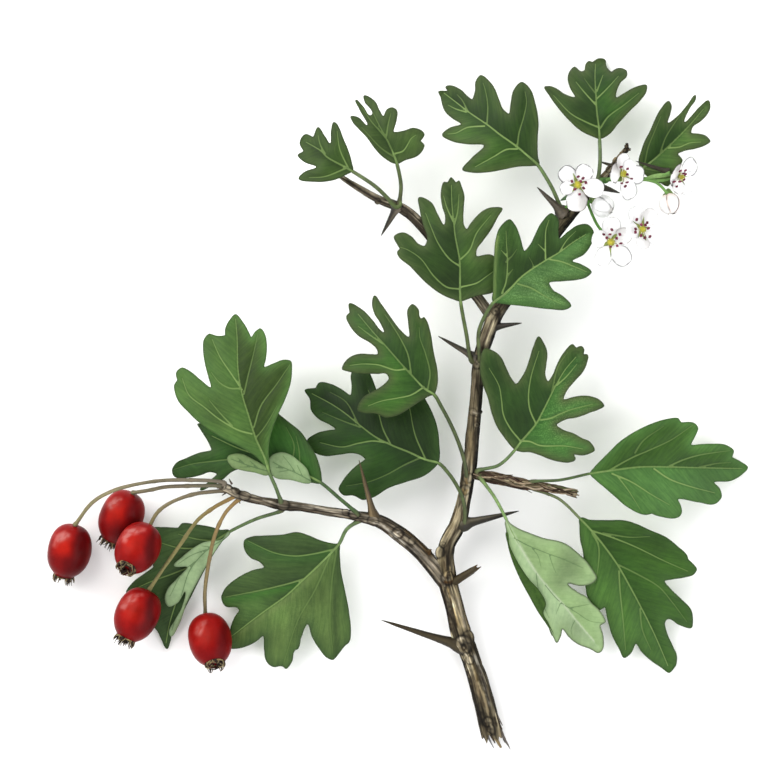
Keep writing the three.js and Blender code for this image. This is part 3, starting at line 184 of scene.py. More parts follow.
    "edge": "506.6,520 511,523.6 518,528 530,533 544,538 560,541.4 568,545 578,553 585,559.4 593,570 T597,578 593,583 581,586 S568.5,584 578,592 587,597 592,603 600,610.6 T605.6,622 N600.7,625.4 603.7,638 602,651 T598,653.2 590,649 578,644.4 569,637.4 S562.6,629.6 561,636 T556.7,643 553,637 548.7,628 538,612 529.6,597 519,577 512,559 507.4,543 506,531",
    "veins": ["506.6,520 508,524 519,544.5 538,575 553,593 566,607.6 575,619 594,641", "514,538 527,545 549,554 563,559 583,568", "545,585 558,600 578,613.5 590,621 603,623", "536,573 540,597 549,618", "531,547 538,556 541,567", "549,554 553,566 556,573", "560,604 556,614", "575,620 571,630 573,638", "568,608 580,606 590,604"],
    "deep": 0.0, "outline": 0.5, "tones": ["aac88d", "a4c585", "b9d7a0"],
  },
  "leaf_16": {
    "rib": [[338, 545], [292, 594], [232, 646]], "z": [8.8, 8.0, 0.9], "fold": [0.02, 0.06], "curl": [-0.5, -0.6],
    "stalk": [[361, 519, 9.6], [347, 529, 9.6], [338, 545, 8.8]],
    "edge": "339,543.6 335,543.6 320,540 308,535 297,532 283,534.4 262,535.6 252,536.4 T244.4,540 243.9,548 250,557.5 260,562.5 S263.7,567 253,570 242,575 227,586 N223.7,590.4 T221.2,597 225,606 237,608 S238.9,610 234,618 230,630 T230,648 238,648.6 250,645 257,641 S263,636.4 264,650 266.6,662 273,667 282,666.4 T286,669 292,662 295,650.6 298,649 301.6,637 S307.5,624.4 312,637 320,650 327,658 T333,660 340,652.4 345,646 349.4,642 351,633 349.3,613 345,590 341,570 339.8,552",
    "veins": ["339,544 332,552 317,567 303,580 287,595 262,613 232,636", "333,549.6 313,554 295,556 275,553 248,541", "304,579 287,584 262,590 226,597", "337,548 332,580 330,620 333,655", "330,556 315,590 298,620 284,662"],
    "deep": 0.12, "strokes": [["334,548 313,553 295,555 275,552 250,541", 9, "3d7a31", 0.45, -1], ["330,549 313,553 295,555 275,552 250,541", 9, "37502f", 0.6, 1], ["300,581 287,585 262,591 230,597", 7, "40842f", 0.6, -1], ["303,579 287,584 262,590 230,596", 9, "3a5431", 0.55, 1], ["335,550 317,568 303,581 287,596 262,614 238,632", 6, "86a06c", 0.45, -1], ["340,552 338,575 335,605 336,640 336,655", 3.6, "435f36", 0.75, 0], ["334,560 322,585 306,612 292,645", 3.2, "56763f", 0.5, 0]], "stip": [[300, 620, 30, 0.25], [250, 625, 18, 0.3]], "tones": ["4c6e3f", "678a4f", "49693a"],
  },
  "leaf_17": {
    "rib": [[229, 531], [192, 566], [166, 644]], "z": [7.2, 4.4, 1.0], "fold": [0.02, 0.0], "curl": [-0.2, -0.2],
    "stalk": [[282, 510, 10.8], [256, 519, 9.6], [229, 531, 7.2]],
    "edge": "230,531 220,529.6 212,527 197,524.4 T182,523.2 N178,527.4 162,527 153,528 T147,543 150,556 S153,567 145,573 133,582 T126,592 131,604 140,615 150,624 157,631 161,639 T167,649 170.6,641 172,634 180,618 190,599 201,577 212,557 222,542",
    "veins": ["229,532 206,548 192,566 180,592 170,622 166,643", "206,548 180,548 155,541", "192,566 172,574 150,582 133,590", "214,541 196,539 178,534"],
    "tones": ["48693f", "43663d", "537548"],
  },
}
# Lobes folded back over their own blade, pale underside up (dark top up on leaf_15).
FLAPS = [
  ["leaf_12", "240,470 232,467 227.5,457 233,454 242,454 251,458 260,463 267,468 T268,475 254,472.6", [0, 9], 1.5,
   ["267,471 250,466 231,459", "258,468 250,461", "246,465 238,458", "252,467 240,467"], "97b577"],
  ["leaf_12", "274,477 270.5,470 270,457.6 279,452.4 289,454 299,461 307,469 309.6,476 T311,482.6 290,480", [0, 9], 1.5,
   ["311,481 296,473 280,466 273,462", "296,473 288,462 283,456", "303,477 297,465", "284,468 276,468", "290,470 279,472"], "9dba84"],
  ["leaf_15", "T506.6,532 509.5,545 514.5,556 520,566 529,579 540,591.5 546,604 543.6,613 549,624 T553,636 548,627 538,612 529.6,597 519,577 511.6,559 507.6,544", [0, 9], 1.1,
   ["513,560 524,576 538,598 549,628"], "486f2e"],
  ["leaf_17", "229,532.6 222,539 203,542.6 192,549 182,557 T174,565.6 N187,567 176,579.6 167,590 165,601 T168.4,606.6 177.5,603 N185,592 182,607 175,620 169,632 T171,636.6 178,627 188,600 200,577 212,556 222,541", [0, 17], 1.6,
   ["225,538 205,552 190,570 183,590 172,630", "208,549 192,555 178,564", "197,560 183,572 170,596", "212,547 202,546"], "b0ce98"],
]
HAWS = {
  "haw_1": [75, 525, 64, 575, 0.0, 3.4],
  "haw_2": [132, 494, 111, 538, 0.0, 3.0],
  "haw_3": [150, 526, 126, 569, 7.6, -8.6],
  "haw_4": [150, 588, 125, 640, 2.6, -1.6],
  "haw_5": [205, 614, 215, 664, 0.0, -6.5],
}
HAW_R, HAW_L = 5.45, 6.55
HAW_STALKS = {
  "haw_stalk_1": [[224, 483, 12.9], [186, 480, 14.2], [150, 482, 14.6], [115, 490, 13.8], [93, 502, 11.8], [78, 522, 8.8]],
  "haw_stalk_2": [[222, 486, 12.0], [190, 486, 12.6], [165, 487, 12.4], [150, 490, 11.2], [136, 497, 8.6]],
  "haw_stalk_3": [[225, 490, 11.8], [195, 494, 12.9], [170, 503, 13.2], [157, 513, 11.8], [151, 523, 9.6]],
  "haw_stalk_4": [[240, 494, 12.0], [215, 507, 12.8], [198, 520, 12.6], [180, 545, 11.4], [165, 566, 9.9], [152, 585, 8.0]],
  "haw_stalk_5": [[240, 498, 11.8], [226, 512, 12.0], [215, 535, 11.4], [209, 562, 9.6], [205, 590, 6.4], [205, 611, 3.6]],
}
BLOOMS = {
  "blossom_1": [578, 186, 17.2, -0.05, 0.05, 1.0, 136, 25],
  "blossom_2": [623, 177, 17.4, 0.62, 0.12, 0.78, 108, 25],
  "blossom_3": [682, 177, 16.0, 0.72, 0.32, 0.62, 150, 23],
  "blossom_4": [611, 241, 17.2, -0.1, 0.12, 1.0, 98, 25],
  "blossom_5": [644, 230, 19.8, 0.35, -0.05, 1.0, 112, 24],
}
BUDS = {
  "bud_1": [603, 206, 14.2, 0.75, 0.5, 0.45, 11.0],
  "bud_2": [670, 204, 12.2, 0.1, 0.95, 0.3, 10.6],
}
PEDUNCLES = {
  "blossom_stalk_left": [
    [[566, 207, 12.6], [576, 204, 13.4], [587, 201, 13.8]],
    [[587, 201, 13.8], [583, 194, 14.0], [579, 188, 14.4]],
    [[586, 201, 13.8], [591, 202, 13.9], [595, 203, 14.0]],
    [[587, 201, 13.8], [592, 214, 13.6], [598, 226, 13.6], [608, 238, 14.6]],
    [[603, 232, 14.1], [612, 229, 13.6], [623, 230, 14.6], [634, 231, 16.2], [640.5, 230.5, 17.4]],
  ],
  "blossom_stalk_right": [
    [[603, 180, 11.2], [612, 180, 12.2], [628, 180, 12.8], [643, 179, 13.0]],
    [[606, 180, 11.8], [611, 178, 13.4], [614, 176, 15.0]],
    [[642, 179, 13.0], [656, 177, 13.6], [670, 173, 14.2]],
    [[642, 179, 13.0], [657, 183, 13.2], [668, 194, 12.8]],
  ],
}


# ---------------------------------------------------------------------------------------
# Small tools
# ---------------------------------------------------------------------------------------
def srgb(h):
    """A colour written as six hex digits, as linear numbers."""
    c = np.array([int(h[i:i + 2], 16) for i in (0, 2, 4)]) / 255
    return np.where(c <= 0.04045, c / 12.92, ((c + 0.055) / 1.055) ** 2.4)


def hexes(h):
    return np.array([int(h[i:i + 2], 16) for i in (0, 2, 4)]) / 255


def linear(c):
    c = np.clip(c, 0, 1)
    return np.where(c <= 0.04045, c / 12.92, ((c + 0.055) / 1.055) ** 2.4)


def noise3(p, scale, seed=0):
    """Smooth value noise from 0 to 1 at the points p, one cell being scale long."""
    q = np.asarray(p, float) / scale + seed * 17.31
    i = np.floor(q).astype(np.int64)
    f = q - i
    f = f * f * (3 - 2 * f)
    out = 0
    for dx in (0, 1):
        for dy in (0, 1):
            for dz in (0, 1):
                a = (i[..., 0] + dx) * 374761393 + (i[..., 1] + dy) * 668265263 + (i[..., 2] + dz) * 2147483647 + seed * 974711
                a = (a ^ (a >> 13)) * 1274126177
                v = ((a ^ (a >> 16)) & 0xFFFF) / 65535.0
                w = (f[..., 0] if dx else 1 - f[..., 0]) * (f[..., 1] if dy else 1 - f[..., 1]) * (f[..., 2] if dz else 1 - f[..., 2])
                out = out + v * w
    return out


def fbm(p, scale, seed=0, octaves=3):
    return sum(noise3(p, scale / 2 ** k, seed + k) / 2 ** k for k in range(octaves)) / sum(1 / 2 ** k for k in range(octaves))


def catmull(points, n=None, step=None):
    """A smooth curve through points (centripetal), as n samples or one every step."""
    p = np.asarray(points, float)
    if len(p) == 2:
        n = n or max(2, int(np.linalg.norm(p[1] - p[0]) / step) + 1)
        return p[0] + (p[1] - p[0]) * np.linspace(0, 1, n)[:, None]
    ext = np.vstack([2 * p[0] - p[1], p, 2 * p[-1] - p[-2]])
    out = []
    for k in range(1, len(ext) - 2):
        p0, p1, p2, p3 = ext[k - 1:k + 3]
        t0 = 0.0
        t1 = t0 + max(np.linalg.norm((p1 - p0)[:3]) ** 0.5, 1e-9)
        t2 = t1 + max(np.linalg.norm((p2 - p1)[:3]) ** 0.5, 1e-9)
        t3 = t2 + max(np.linalg.norm((p3 - p2)[:3]) ** 0.5, 1e-9)
        t = np.linspace(t1, t2, 24, endpoint=False)[:, None]
        a1 = (t1 - t) / (t1 - t0) * p0 + (t - t0) / (t1 - t0) * p1
        a2 = (t2 - t) / (t2 - t1) * p1 + (t - t1) / (t2 - t1) * p2
        a3 = (t3 - t) / (t3 - t2) * p2 + (t - t2) / (t3 - t2) * p3
        b1 = (t2 - t) / (t2 - t0) * a1 + (t - t0) / (t2 - t0) * a2
        b2 = (t3 - t) / (t3 - t1) * a2 + (t - t1) / (t3 - t1) * a3
        out.append((t2 - t) / (t2 - t1) * b1 + (t - t1) / (t2 - t1) * b2)
    c = np.vstack(out + [p[-1:]])
    s = np.concatenate([[0], np.cumsum(np.linalg.norm(np.diff(c[:, :3], axis=0), axis=1))])
    n = n or max(3, int(s[-1] / step) + 1)
    at = np.linspace(0, s[-1], n)
    return np.stack([np.interp(at, s, c[:, k]) for k in range(c.shape[1])], 1)


def build(name, verts, faces, mats, attrs=None, face_mat=None, uv=None, smooth=True, sharp=None):
    """A mesh object from arrays: faces as a list of index tuples or an (n, 3) array."""
    me = bpy.data.meshes.new(name)
    faces = [tuple(int(i) for i in f) for f in faces]
    me.from_pydata([tuple(v) for v in np.asarray(verts, float)], [], faces)
    for m in mats:
        me.materials.append(m)
    if face_mat is not None:
        me.polygons.foreach_set("material_index", np.asarray(face_mat, np.int32))
    for key, val in (attrs or {}).items():
        val = np.asarray(val, np.float32)
        if val.ndim == 1:
            me.attributes.new(key, "FLOAT", "POINT").data.foreach_set("value", val)
        elif val.shape[1] == 3 and key.startswith("v"):
            me.attributes.new(key, "FLOAT_VECTOR", "POINT").data.foreach_set("vector", val.ravel())
        else:
            if val.shape[1] == 3:
                val = np.hstack([val, np.ones((len(val), 1), np.float32)])
            me.attributes.new(key, "FLOAT_COLOR", "POINT").data.foreach_set("color", val.astype(np.float32).ravel())
    if uv is not None:
        layer = me.uv_layers.new(name="OFBake")
        loops = np.zeros(len(me.loops), np.int32)
        me.loops.foreach_get("vertex_index", loops)
        layer.data.foreach_set("uv", np.asarray(uv, np.float32)[loops].ravel())
    me.polygons.foreach_set("use_smooth", np.full(len(me.polygons), smooth))
    me.update()
    me.validate()
    ob = bpy.data.objects.new(name, me)
    bpy.context.scene.collection.objects.link(ob)
    return ob


def tube(path, radii, sides, squash=None, wobble=None, cap=True):
    """Rings round a path (metres). wobble(i_ring, theta, s, point) may add to the radius. Returns verts, faces, theta, s."""
    path = np.asarray(path, float)
    n = len(path)
    tan = np.gradient(path, axis=0)
    tan /= np.linalg.norm(tan, axis=1)[:, None]
    up = np.array([0, 0, 1.0])
    sides_v, ups = [], []
    for k in range(n):
        side = np.cross(tan[k], up)
        side /= max(np.linalg.norm(side), 1e-12)
        up = np.cross(side, tan[k])
        sides_v.append(side)
        ups.append(up)
    sv, uv_ = np.array(sides_v), np.array(ups)
    th = np.linspace(0, 2 * np.pi, sides, endpoint=False)
    s = np.concatenate([[0], np.cumsum(np.linalg.norm(np.diff(path, axis=0), axis=1))])
    T, S = np.meshgrid(th, s)
    R = np.repeat(np.asarray(radii, float)[:, None], sides, 1)
    dirs = np.cos(T)[..., None] * sv[:, None] + np.sin(T)[..., None] * uv_[:, None]
    if wobble is not None:
        R = R + wobble(T, S, path[:, None] + dirs * R[..., None], R)
    P = path[:, None] + dirs * R[..., None]
    V = P.reshape(-1, 3)
    f = []
    for i in range(n - 1):
        a = i * sides
        for j in range(sides):
            k = (j + 1) % sides
            f.append((a + j, a + sides + j, a + sides + k, a + k))
    T, S = T.ravel(), S.ravel()
    if cap:
        for end, ring in ((0, range(sides)), (n - 1, range(sides))):
            V = np.vstack([V, path[end]])
            c = len(V) - 1
            T, S = np.append(T, 0), np.append(S, s[end])
            for j in range(sides):
                a, b = end * sides + j, end * sides + (j + 1) % sides
                f.append((a, b, c) if end == 0 else (b, a, c))
    return V, f, T, S, dirs


def settle(ob, slot, *nodes):
    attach(ob, "root")
    if nodes:
        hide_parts(*nodes)
    return ob


def smoothstep(x, lo, hi):
    t = np.clip((x - lo) / (hi - lo), 0, 1)
    return t * t * (3 - 2 * t)


# The line through every limb, for what grows from it to start inside it.
AXIS, AXIS_R = [], []
for pts in LIMBS.values():
    c = catmull(np.array(pts, float), step=1.0)
    AXIS.append(plan(c[:, 0], c[:, 1], c[:, 2]))
    AXIS_R.append(c[:, 3] * UNIT / 1000)
AXIS, AXIS_R = np.vstack(AXIS), np.concatenate(AXIS_R)


def rooted(path, deep=0.6, reach=0.0025, sink=0.0):
    """The control points of a stalk with one more at the front, inside the limb that carries it."""
    d = np.linalg.norm(AXIS - path[0], axis=1) - AXIS_R
    k = np.argmin(d)
    if d[k] > reach:
        return np.array(path)
    inner = AXIS[k] * deep + path[0] * (1 - deep)
    if sink:
        # carries on along its own line as seen from above, and down into the wood
        on = (path[0] - path[1])[:2] / max(np.linalg.norm((path[0] - path[1])[:2]), 1e-9)
        inner = path[0] + np.array([on[0], on[1], 0]) * sink * 0.3 + np.array([0, 0, -sink])
    if np.linalg.norm(inner - path[0]) < 0.0003:
        inner = path[0] + (path[0] - path[1]) / max(np.linalg.norm(path[0] - path[1]), 1e-9) * 0.0005
    return np.vstack([inner, path])


# ---------------------------------------------------------------------------------------
# Materials
# ---------------------------------------------------------------------------------------
def material(name, rough, spec=0.5, **sockets):
    m = bpy.data.materials.new(name)
    m.use_nodes = True
    t = m.node_tree
    b = t.nodes["Principled BSDF"]
    b.inputs["Roughness"].default_value = rough
    b.inputs["Specular IOR Level"].default_value = spec
    for k, v in sockets.items():
        b.inputs[k.replace("_", " ")].default_value = v
    return m, t, b


def node(t, kind, **props):
    n = t.nodes.new(kind)
    for k, v in props.items():
        if k.startswith("in_"):
            n.inputs[k[3:].replace("_", " ")].default_value = v
        else:
            setattr(n, k, v)
    return n


def attr(t, name):
    return node(t, "ShaderNodeAttribute", attribute_name=name)


def noise(t, scale, detail=3.0, rough=0.55, vec=None, stretch=None):
    n = node(t, "ShaderNodeTexNoise")
    n.inputs["Scale"].default_value = scale
    n.inputs["Detail"].default_value = detail
    n.inputs["Roughness"].default_value = rough
    if vec is None:
        vec = node(t, "ShaderNodeTexCoord").outputs["Object"]
    if stretch is not None:
        mp = node(t, "ShaderNodeMapping")
        mp.inputs["Scale"].default_value = stretch
        t.links.new(vec, mp.inputs["Vector"])
        vec = mp.outputs["Vector"]
    t.links.new(vec, n.inputs["Vector"])
    return n.outputs["Fac"]


def ramp(t, fac, stops, ease="LINEAR"):
    r = node(t, "ShaderNodeValToRGB")
    r.color_ramp.interpolation = ease
    while len(r.color_ramp.elements) < len(stops):
        r.color_ramp.elements.new(0.5)
    for e, (pos, col) in zip(r.color_ramp.elements, stops):
        e.position = pos
        e.color = (*col, 1) if len(col) == 3 else col
    t.links.new(fac, r.inputs["Fac"])
    return r.outputs["Color"]


def mix(t, fac, a, b, blend="MIX"):
    m = node(t, "ShaderNodeMix", data_type="RGBA", blend_type=blend)
    for sock, val in ((m.inputs[0], fac), (m.inputs[6], a), (m.inputs[7], b)):
        if hasattr(val, "is_linked") or hasattr(val, "links"):
            t.links.new(val, sock)
        elif isinstance(val, (int, float)):
            sock.default_value = val if sock == m.inputs[0] else (val, val, val, 1)
        else:
            sock.default_value = (*val, 1)
    return m.outputs[2]


def math_node(t, op, a, b=0.0, clamp=False):
    m = node(t, "ShaderNodeMath", operation=op, use_clamp=clamp)
    for sock, val in ((m.inputs[0], a), (m.inputs[1], b)):
        if isinstance(val, (int, float)):
            sock.default_value = val
        else:
            t.links.new(val, sock)
    return m.outputs[0]


def smooth_map(t, fac, lo, hi, a=0.0, b=1.0):
    m = node(t, "ShaderNodeMapRange", interpolation_type="SMOOTHSTEP")
    m.inputs["From Min"].default_value = lo
    m.inputs["From Max"].default_value = hi
    m.inputs["To Min"].default_value = a
    m.inputs["To Max"].default_value = b
    t.links.new(fac, m.inputs["Value"])
    return m.outputs["Result"]


def bump(t, b, height, strength, distance):
    n = node(t, "ShaderNodeBump")
    n.inputs["Strength"].default_value = strength
    n.inputs["Distance"].default_value = distance
    t.links.new(height, n.inputs["Height"])
    t.links.new(n.outputs["Normal"], b.inputs["Normal"])


def leaf_material(name, vein, under=False, streaks=1.0):
    """Blade: the colour laid out on the mesh, streaks that run with the side veins, stipple, light veins, painted shade
    beside the veins, grain.
    """
    m, t, b = material(name, 0.5 if not under else 0.65, 0.16 if not under else 0.1)
    base = attr(t, "Tone").outputs["Color"]
    fine = noise(t, 2600, 2, 0.6)
    cells = noise(t, 900, 3, 0.6)
    run = attr(t, "vGrain").outputs["Vector"]
    streak = noise(t, 1.5, 4, 0.62, vec=run)
    broad = noise(t, 0.5, 2, 0.5, vec=run)
    c = mix(t, ramp(t, streak, [(0.36, (0, 0, 0)), (0.64, (1, 1, 1))]), mix(t, 1.0, base, tuple(1 - streaks * k for k in (0.20, 0.16, 0.20)), "MULTIPLY"), mix(t, 1.0, base, tuple(1 + streaks * k for k in (0.16, 0.14, 0.10)), "MULTIPLY"))
    c = mix(t, ramp(t, broad, [(0.40, (0, 0, 0)), (0.66, (1, 1, 1))]), c, mix(t, 1.0, c, tuple(1 + streaks * k for k in (0.10, 0.08, 0.04)), "MULTIPLY"))
    c = mix(t, ramp(t, cells, [(0.35, (1, 1, 1)), (0.6, (0, 0, 0))]), c, mix(t, 1.0, c, (0.88, 0.90, 0.88), "MULTIPLY"))
    dots = smooth_map(t, noise(t, 3300, 1, 0.5), 0.50, 0.62)
    light = mix(t, 1.0, c, (1.75, 1.55, 1.85), "MULTIPLY")
    c = mix(t, math_node(t, "MULTIPLY", dots, attr(t, "stip").outputs["Fac"]), c, light)
    d = attr(t, "vein").outputs["Fac"]
    wander = math_node(t, "ADD", d, math_node(t, "MULTIPLY", math_node(t, "SUBTRACT", cells, 0.5), 0.5))
    line = smooth_map(t, wander, 0.48, 1.10, 1.0, 0.0)
    near = smooth_map(t, wander, 1.0, 4.2, 1.0, 0.0)
    # painted shade: the blade is darker close beside each vein
    c = mix(t, math_node(t, "MULTIPLY", near, 0.42 if not under else 0.18), c, mix(t, 1.0, c, (0.60, 0.70, 0.55), "MULTIPLY"))
    c = mix(t, math_node(t, "MULTIPLY", line, attr(t, "ink").outputs["Fac"]), c, vein)
    t.links.new(c, b.inputs["Base Color"])
    rough = ramp(t, cells, [(0.3, (0.46,) * 3), (0.7, (0.62,) * 3)])
    t.links.new(rough, b.inputs["Roughness"])
    h = math_node(t, "ADD", math_node(t, "MULTIPLY", cells, 0.6), math_node(t, "MULTIPLY", streak, 0.5))
    bump(t, b, h, 0.35, 0.00014)
    return m


def stalk_material(name, rough=0.55):
    m, t, b = material(name, rough, 0.25)
    base = attr(t, "Tone").outputs["Color"]
    s = noise(t, 1500, 3, 0.6)
    c = mix(t, ramp(t, s, [(0.35, (0, 0, 0)), (0.7, (1, 1, 1))]), mix(t, 1.0, base, (0.84, 0.85, 0.82), "MULTIPLY"), mix(t, 1.0, base, (1.15, 1.13, 1.08), "MULTIPLY"))
    t.links.new(c, b.inputs["Base Color"])
    t.links.new(ramp(t, s, [(0.3, (rough - 0.08,) * 3), (0.7, (rough + 0.08,) * 3)]), b.inputs["Roughness"])
    bump(t, b, s, 0.3, 0.00012)
    return m


def bark_material(name):
    m, t, b = material(name, 0.82, 0.12)
    base = attr(t, "Tone").outputs["Color"]
    v = attr(t, "vGrain").outputs["Vector"]
    grain = noise(t, 1.0, 4, 0.65, vec=v, stretch=(3.2, 3.2, 0.5))
    fine = noise(t, 1.0, 3, 0.6, vec=v, stretch=(9.0, 9.0, 2.0))
    c = mix(t, ramp(t, grain, [(0.38, (0, 0, 0)), (0.62, (1, 1, 1))]), mix(t, 1.0, base, (0.76, 0.75, 0.74), "MULTIPLY"), mix(t, 1.0, base, (1.17, 1.15, 1.13), "MULTIPLY"))
    c = mix(t, ramp(t, fine, [(0.55, (0, 0, 0)), (0.75, (1, 1, 1))]), c, mix(t, 1.0, c, (0.72, 0.71, 0.70), "MULTIPLY"))
    t.links.new(c, b.inputs["Base Color"])
    t.links.new(ramp(t, grain, [(0.3, (0.7,) * 3), (0.7, (0.92,) * 3)]), b.inputs["Roughness"])
    h = math_node(t, "ADD", math_node(t, "MULTIPLY", grain, 0.7), math_node(t, "MULTIPLY", fine, 0.3))
    bump(t, b, h, 0.6, 0.0003)
    return m


def haw_material():
    m, t, b = material("Haw_skin", 0.34, 0.05)
    base = attr(t, "Tone").outputs["Color"]
    blot = noise(t, 330, 3, 0.55)
    fine = noise(t, 1900, 2, 0.6)
    c = mix(t, ramp(t, blot, [(0.38, (0, 0, 0)), (0.66, (1, 1, 1))]), base, mix(t, 1.0, base, (1.22, 1.15, 1.1), "MULTIPLY"))
    c = mix(t, ramp(t, fine, [(0.62, (0, 0, 0)), (0.8, (1, 1, 1))]), c, mix(t, 1.0, c, (0.82, 0.72, 0.72), "MULTIPLY"))
    t.links.new(c, b.inputs["Base Color"])
    t.links.new(ramp(t, blot, [(0.3, (0.28,) * 3), (0.7, (0.40,) * 3)]), b.inputs["Roughness"])
    bump(t, b, math_node(t, "ADD", blot, math_node(t, "MULTIPLY", fine, 0.25)), 0.25, 0.0003)
    return m


def petal_material():
    m, t, b = material("Petal", 0.6, 0.2, Subsurface_Weight=0.0)
    base = attr(t, "Tone").outputs["Color"]
    soft = noise(t, 420, 3, 0.5)
    fine = noise(t, 2200, 2, 0.6)
    c = mix(t, ramp(t, soft, [(0.4, (0, 0, 0)), (0.7, (1, 1, 1))]), base, mix(t, 1.0, base, (0.97, 0.97, 0.975), "MULTIPLY"))
    t.links.new(c, b.inputs["Base Color"])
    t.links.new(ramp(t, fine, [(0.3, (0.52,) * 3), (0.7, (0.68,) * 3)]), b.inputs["Roughness"])
    bump(t, b, math_node(t, "ADD", soft, math_node(t, "MULTIPLY", fine, 0.3)), 0.3, 0.0003)
    return m


# The studio light is a little over full, so that the paper stays white: colours are laid on a
# little darker than they are meant to look.
LEAF_GAIN = np.array([0.50, 0.455, 0.39])
PALE_GAIN = np.array([0.565, 0.555, 0.585])
GAIN = 0.69
M_TOP = leaf_material("Leaf_top", tuple(srgb("86a35c") * 0.63))
M_UNDER = leaf_material("Leaf_under", tuple(srgb("7f9a66") * GAIN), under=True)
M_PALE = leaf_material("Leaf_under_seen", tuple(srgb("5d7a52") * 0.56), under=True, streaks=0.35)
M_STALK = stalk_material("Leaf_stalk")
M_BARK = bark_material("Bark")
M_THORN = stalk_material("Thorn", 0.5)
M_HAW = haw_material()
M_CROWN = stalk_material("Haw_crown", 0.8)
M_HSTALK = stalk_material("Haw_stalk", 0.65)
M_PETAL = petal_material()
M_GREEN = stalk_material("Green_stalk", 0.6)
M_HEART = stalk_material("Blossom_heart", 0.6)


# ---------------------------------------------------------------------------------------
# Leaves
# ---------------------------------------------------------------------------------------
# the leaves whose stalks are a browner green
SINK = {"leaf_09": 0.0018, "leaf_08": 0.0016}
OLIVE = ("leaf_02", "leaf_06", "leaf_07", "leaf_08", "leaf_09")
SLIM = {"leaf_13": 0.76, "leaf_14": 0.76, "leaf_10": 0.88, "leaf_15": 0.88, "leaf_17": 0.88, "leaf_11": 0.95, "leaf_12": 0.95}
STALK_HUES = {
  "leaf_01": (hexes("58663c"), hexes("607049")), "leaf_03": (hexes("657449"), hexes("66804e")), "leaf_04": (hexes("67774e"), hexes("698156")),
  "leaf_12": (hexes("48643a"), hexes("50703f")), "leaf_13": (hexes("526540"), hexes("58743f")), "leaf_14": (hexes("626b4a"), hexes("6f8055")),
}
# How strongly each vein shows against its blade, in the order of its veins.
VEIN_INK = {
  "leaf_01": [0.6, 0.8, 0.6, 0.8], "leaf_02": [0.4, 0.4, 1.0, 0.5, 0.4], "leaf_03": [0.9, 0.6, 0.6, 1.1, 1.1, 0.6, 1.0],
  "leaf_04": [0.6, 0.7, 0.9, 1.0, 0.9, 0.4, 0.8], "leaf_05": [0.5, 0.4, 0.4, 1.1, 0.6], "leaf_06": [0.6, 0.8, 0.8, 0.9, 1.1, 0.9, 0.7],
  "leaf_07": [0.9, 0.8, 1.1, 1.1, 0.8, 0.4, 0.4, 0.9, 0.4, 1.0, 1.0], "leaf_08": [0.5, 0.5, 0.6, 1.0, 1.0, 0.7],
  "leaf_09": [0.6, 0.4, 0.4, 0.8, 0.4, 0.6, 0.6], "leaf_10": [0.7, 0.9, 0.9, 0.4, 1.0, 0.9, 1.1],
  "leaf_11": [0.6, 1.0, 0.7, 1.0, 0.7, 0.5, 0.6, 0.5], "leaf_12": [0.8, 0.45, 0.45, 0.5, 0.7], "leaf_13": [0.6, 0.6, 0.4, 0.6, 0.4, 1.1, 1.0, 0.8],
  "leaf_14": [0.7, 0.8, 0.5, 0.6, 0.7, 0.5, 0.5], "leaf_16": [0.8, 0.7, 0.7, 0.3, 0.35], "leaf_17": [1.0, 1.1, 1.1, 0.8],
}
STALK_DIM = {"leaf_02": (0.90, 0.92), "leaf_08": (0.90, 0.84), "leaf_09": (0.98, 0.90), "leaf_12": (0.92, 0.87), "leaf_13": (0.97, 0.88), "leaf_17": (0.95, 0.92), "leaf_11": (1.03, 0.94), "leaf_16": (1.07, 1.02)}
ROUND = {"T": 0.62, "S": 0.35, "N": 0.3}


def marks(text):
    out = []
    for w in text.split():
        r = ROUND.get(w[0], 1.0)
        x, y = w.lstrip("TSN").split(",")
        out.append((float(x), float(y), r))
    return out


def margin(text, step=0.9):
    """The smooth closed margin through the marks."""
    mk = marks(text)
    p = np.array([(a, b) for a, b, _ in mk])
    r = np.array([c for _, _, c in mk])
    n = len(p)
    d1 = np.roll(p, -1, 0) - p
    d1 /= np.linalg.norm(d1, axis=1)[:, None]
    head = d1 + np.roll(d1, 1, 0)
    head /= np.maximum(np.linalg.norm(head, axis=1), 1e-6)[:, None]
    out = []
    for i in range(n):
        a, b = p[i], p[(i + 1) % n]
        L = np.linalg.norm(b - a)
        k = max(2, int(round(L / step)))
        c1, c2 = a + head[i] * 0.36 * L * r[i], b - head[(i + 1) % n] * 0.36 * L * r[(i + 1) % n]
        t = np.linspace(0, 1, k, endpoint=False)[:, None]
        out.append((1 - t) ** 3 * a + 3 * (1 - t) ** 2 * t * c1 + 3 * (1 - t) * t * t * c2 + t ** 3 * b)
    return np.vstack(out)


def inside(poly, q):
    x, y = q[:, 0], q[:, 1]
    a, b = poly, np.roll(poly, -1, 0)
    res = np.zeros(len(q), bool)
    for (ax, ay), (bx, by) in zip(a, b):
        if ay == by:
            continue
        hit = ((ay > y) != (by > y)) & (x < (bx - ax) * (y - ay) / (by - ay) + ax)
        res ^= hit
    return res


def to_line(q, line):
    """Distance of the points q to a polyline, and how far along it (0 to 1) the nearest point is, and the side."""
    seg = np.diff(line, axis=0)
    L = np.linalg.norm(seg, axis=1)
    run = np.concatenate([[0], np.cumsum(L)])
    best = np.full(len(q), np.inf)
    at = np.zeros(len(q))
    side = np.zeros(len(q))
    for i in range(len(seg)):
        e = q - line[i]
        t = np.clip((e @ seg[i]) / max(L[i] ** 2, 1e-12), 0, 1)
        v = e - t[:, None] * seg[i]
        d = np.hypot(v[:, 0], v[:, 1])
        near = d < best
        best[near] = d[near]
        at[near] = (run[i] + t[near] * L[i]) / run[-1]
        side[near] = np.sign(seg[i][0] * e[near, 1] - seg[i][1] * e[near, 0])
    return best, at, side


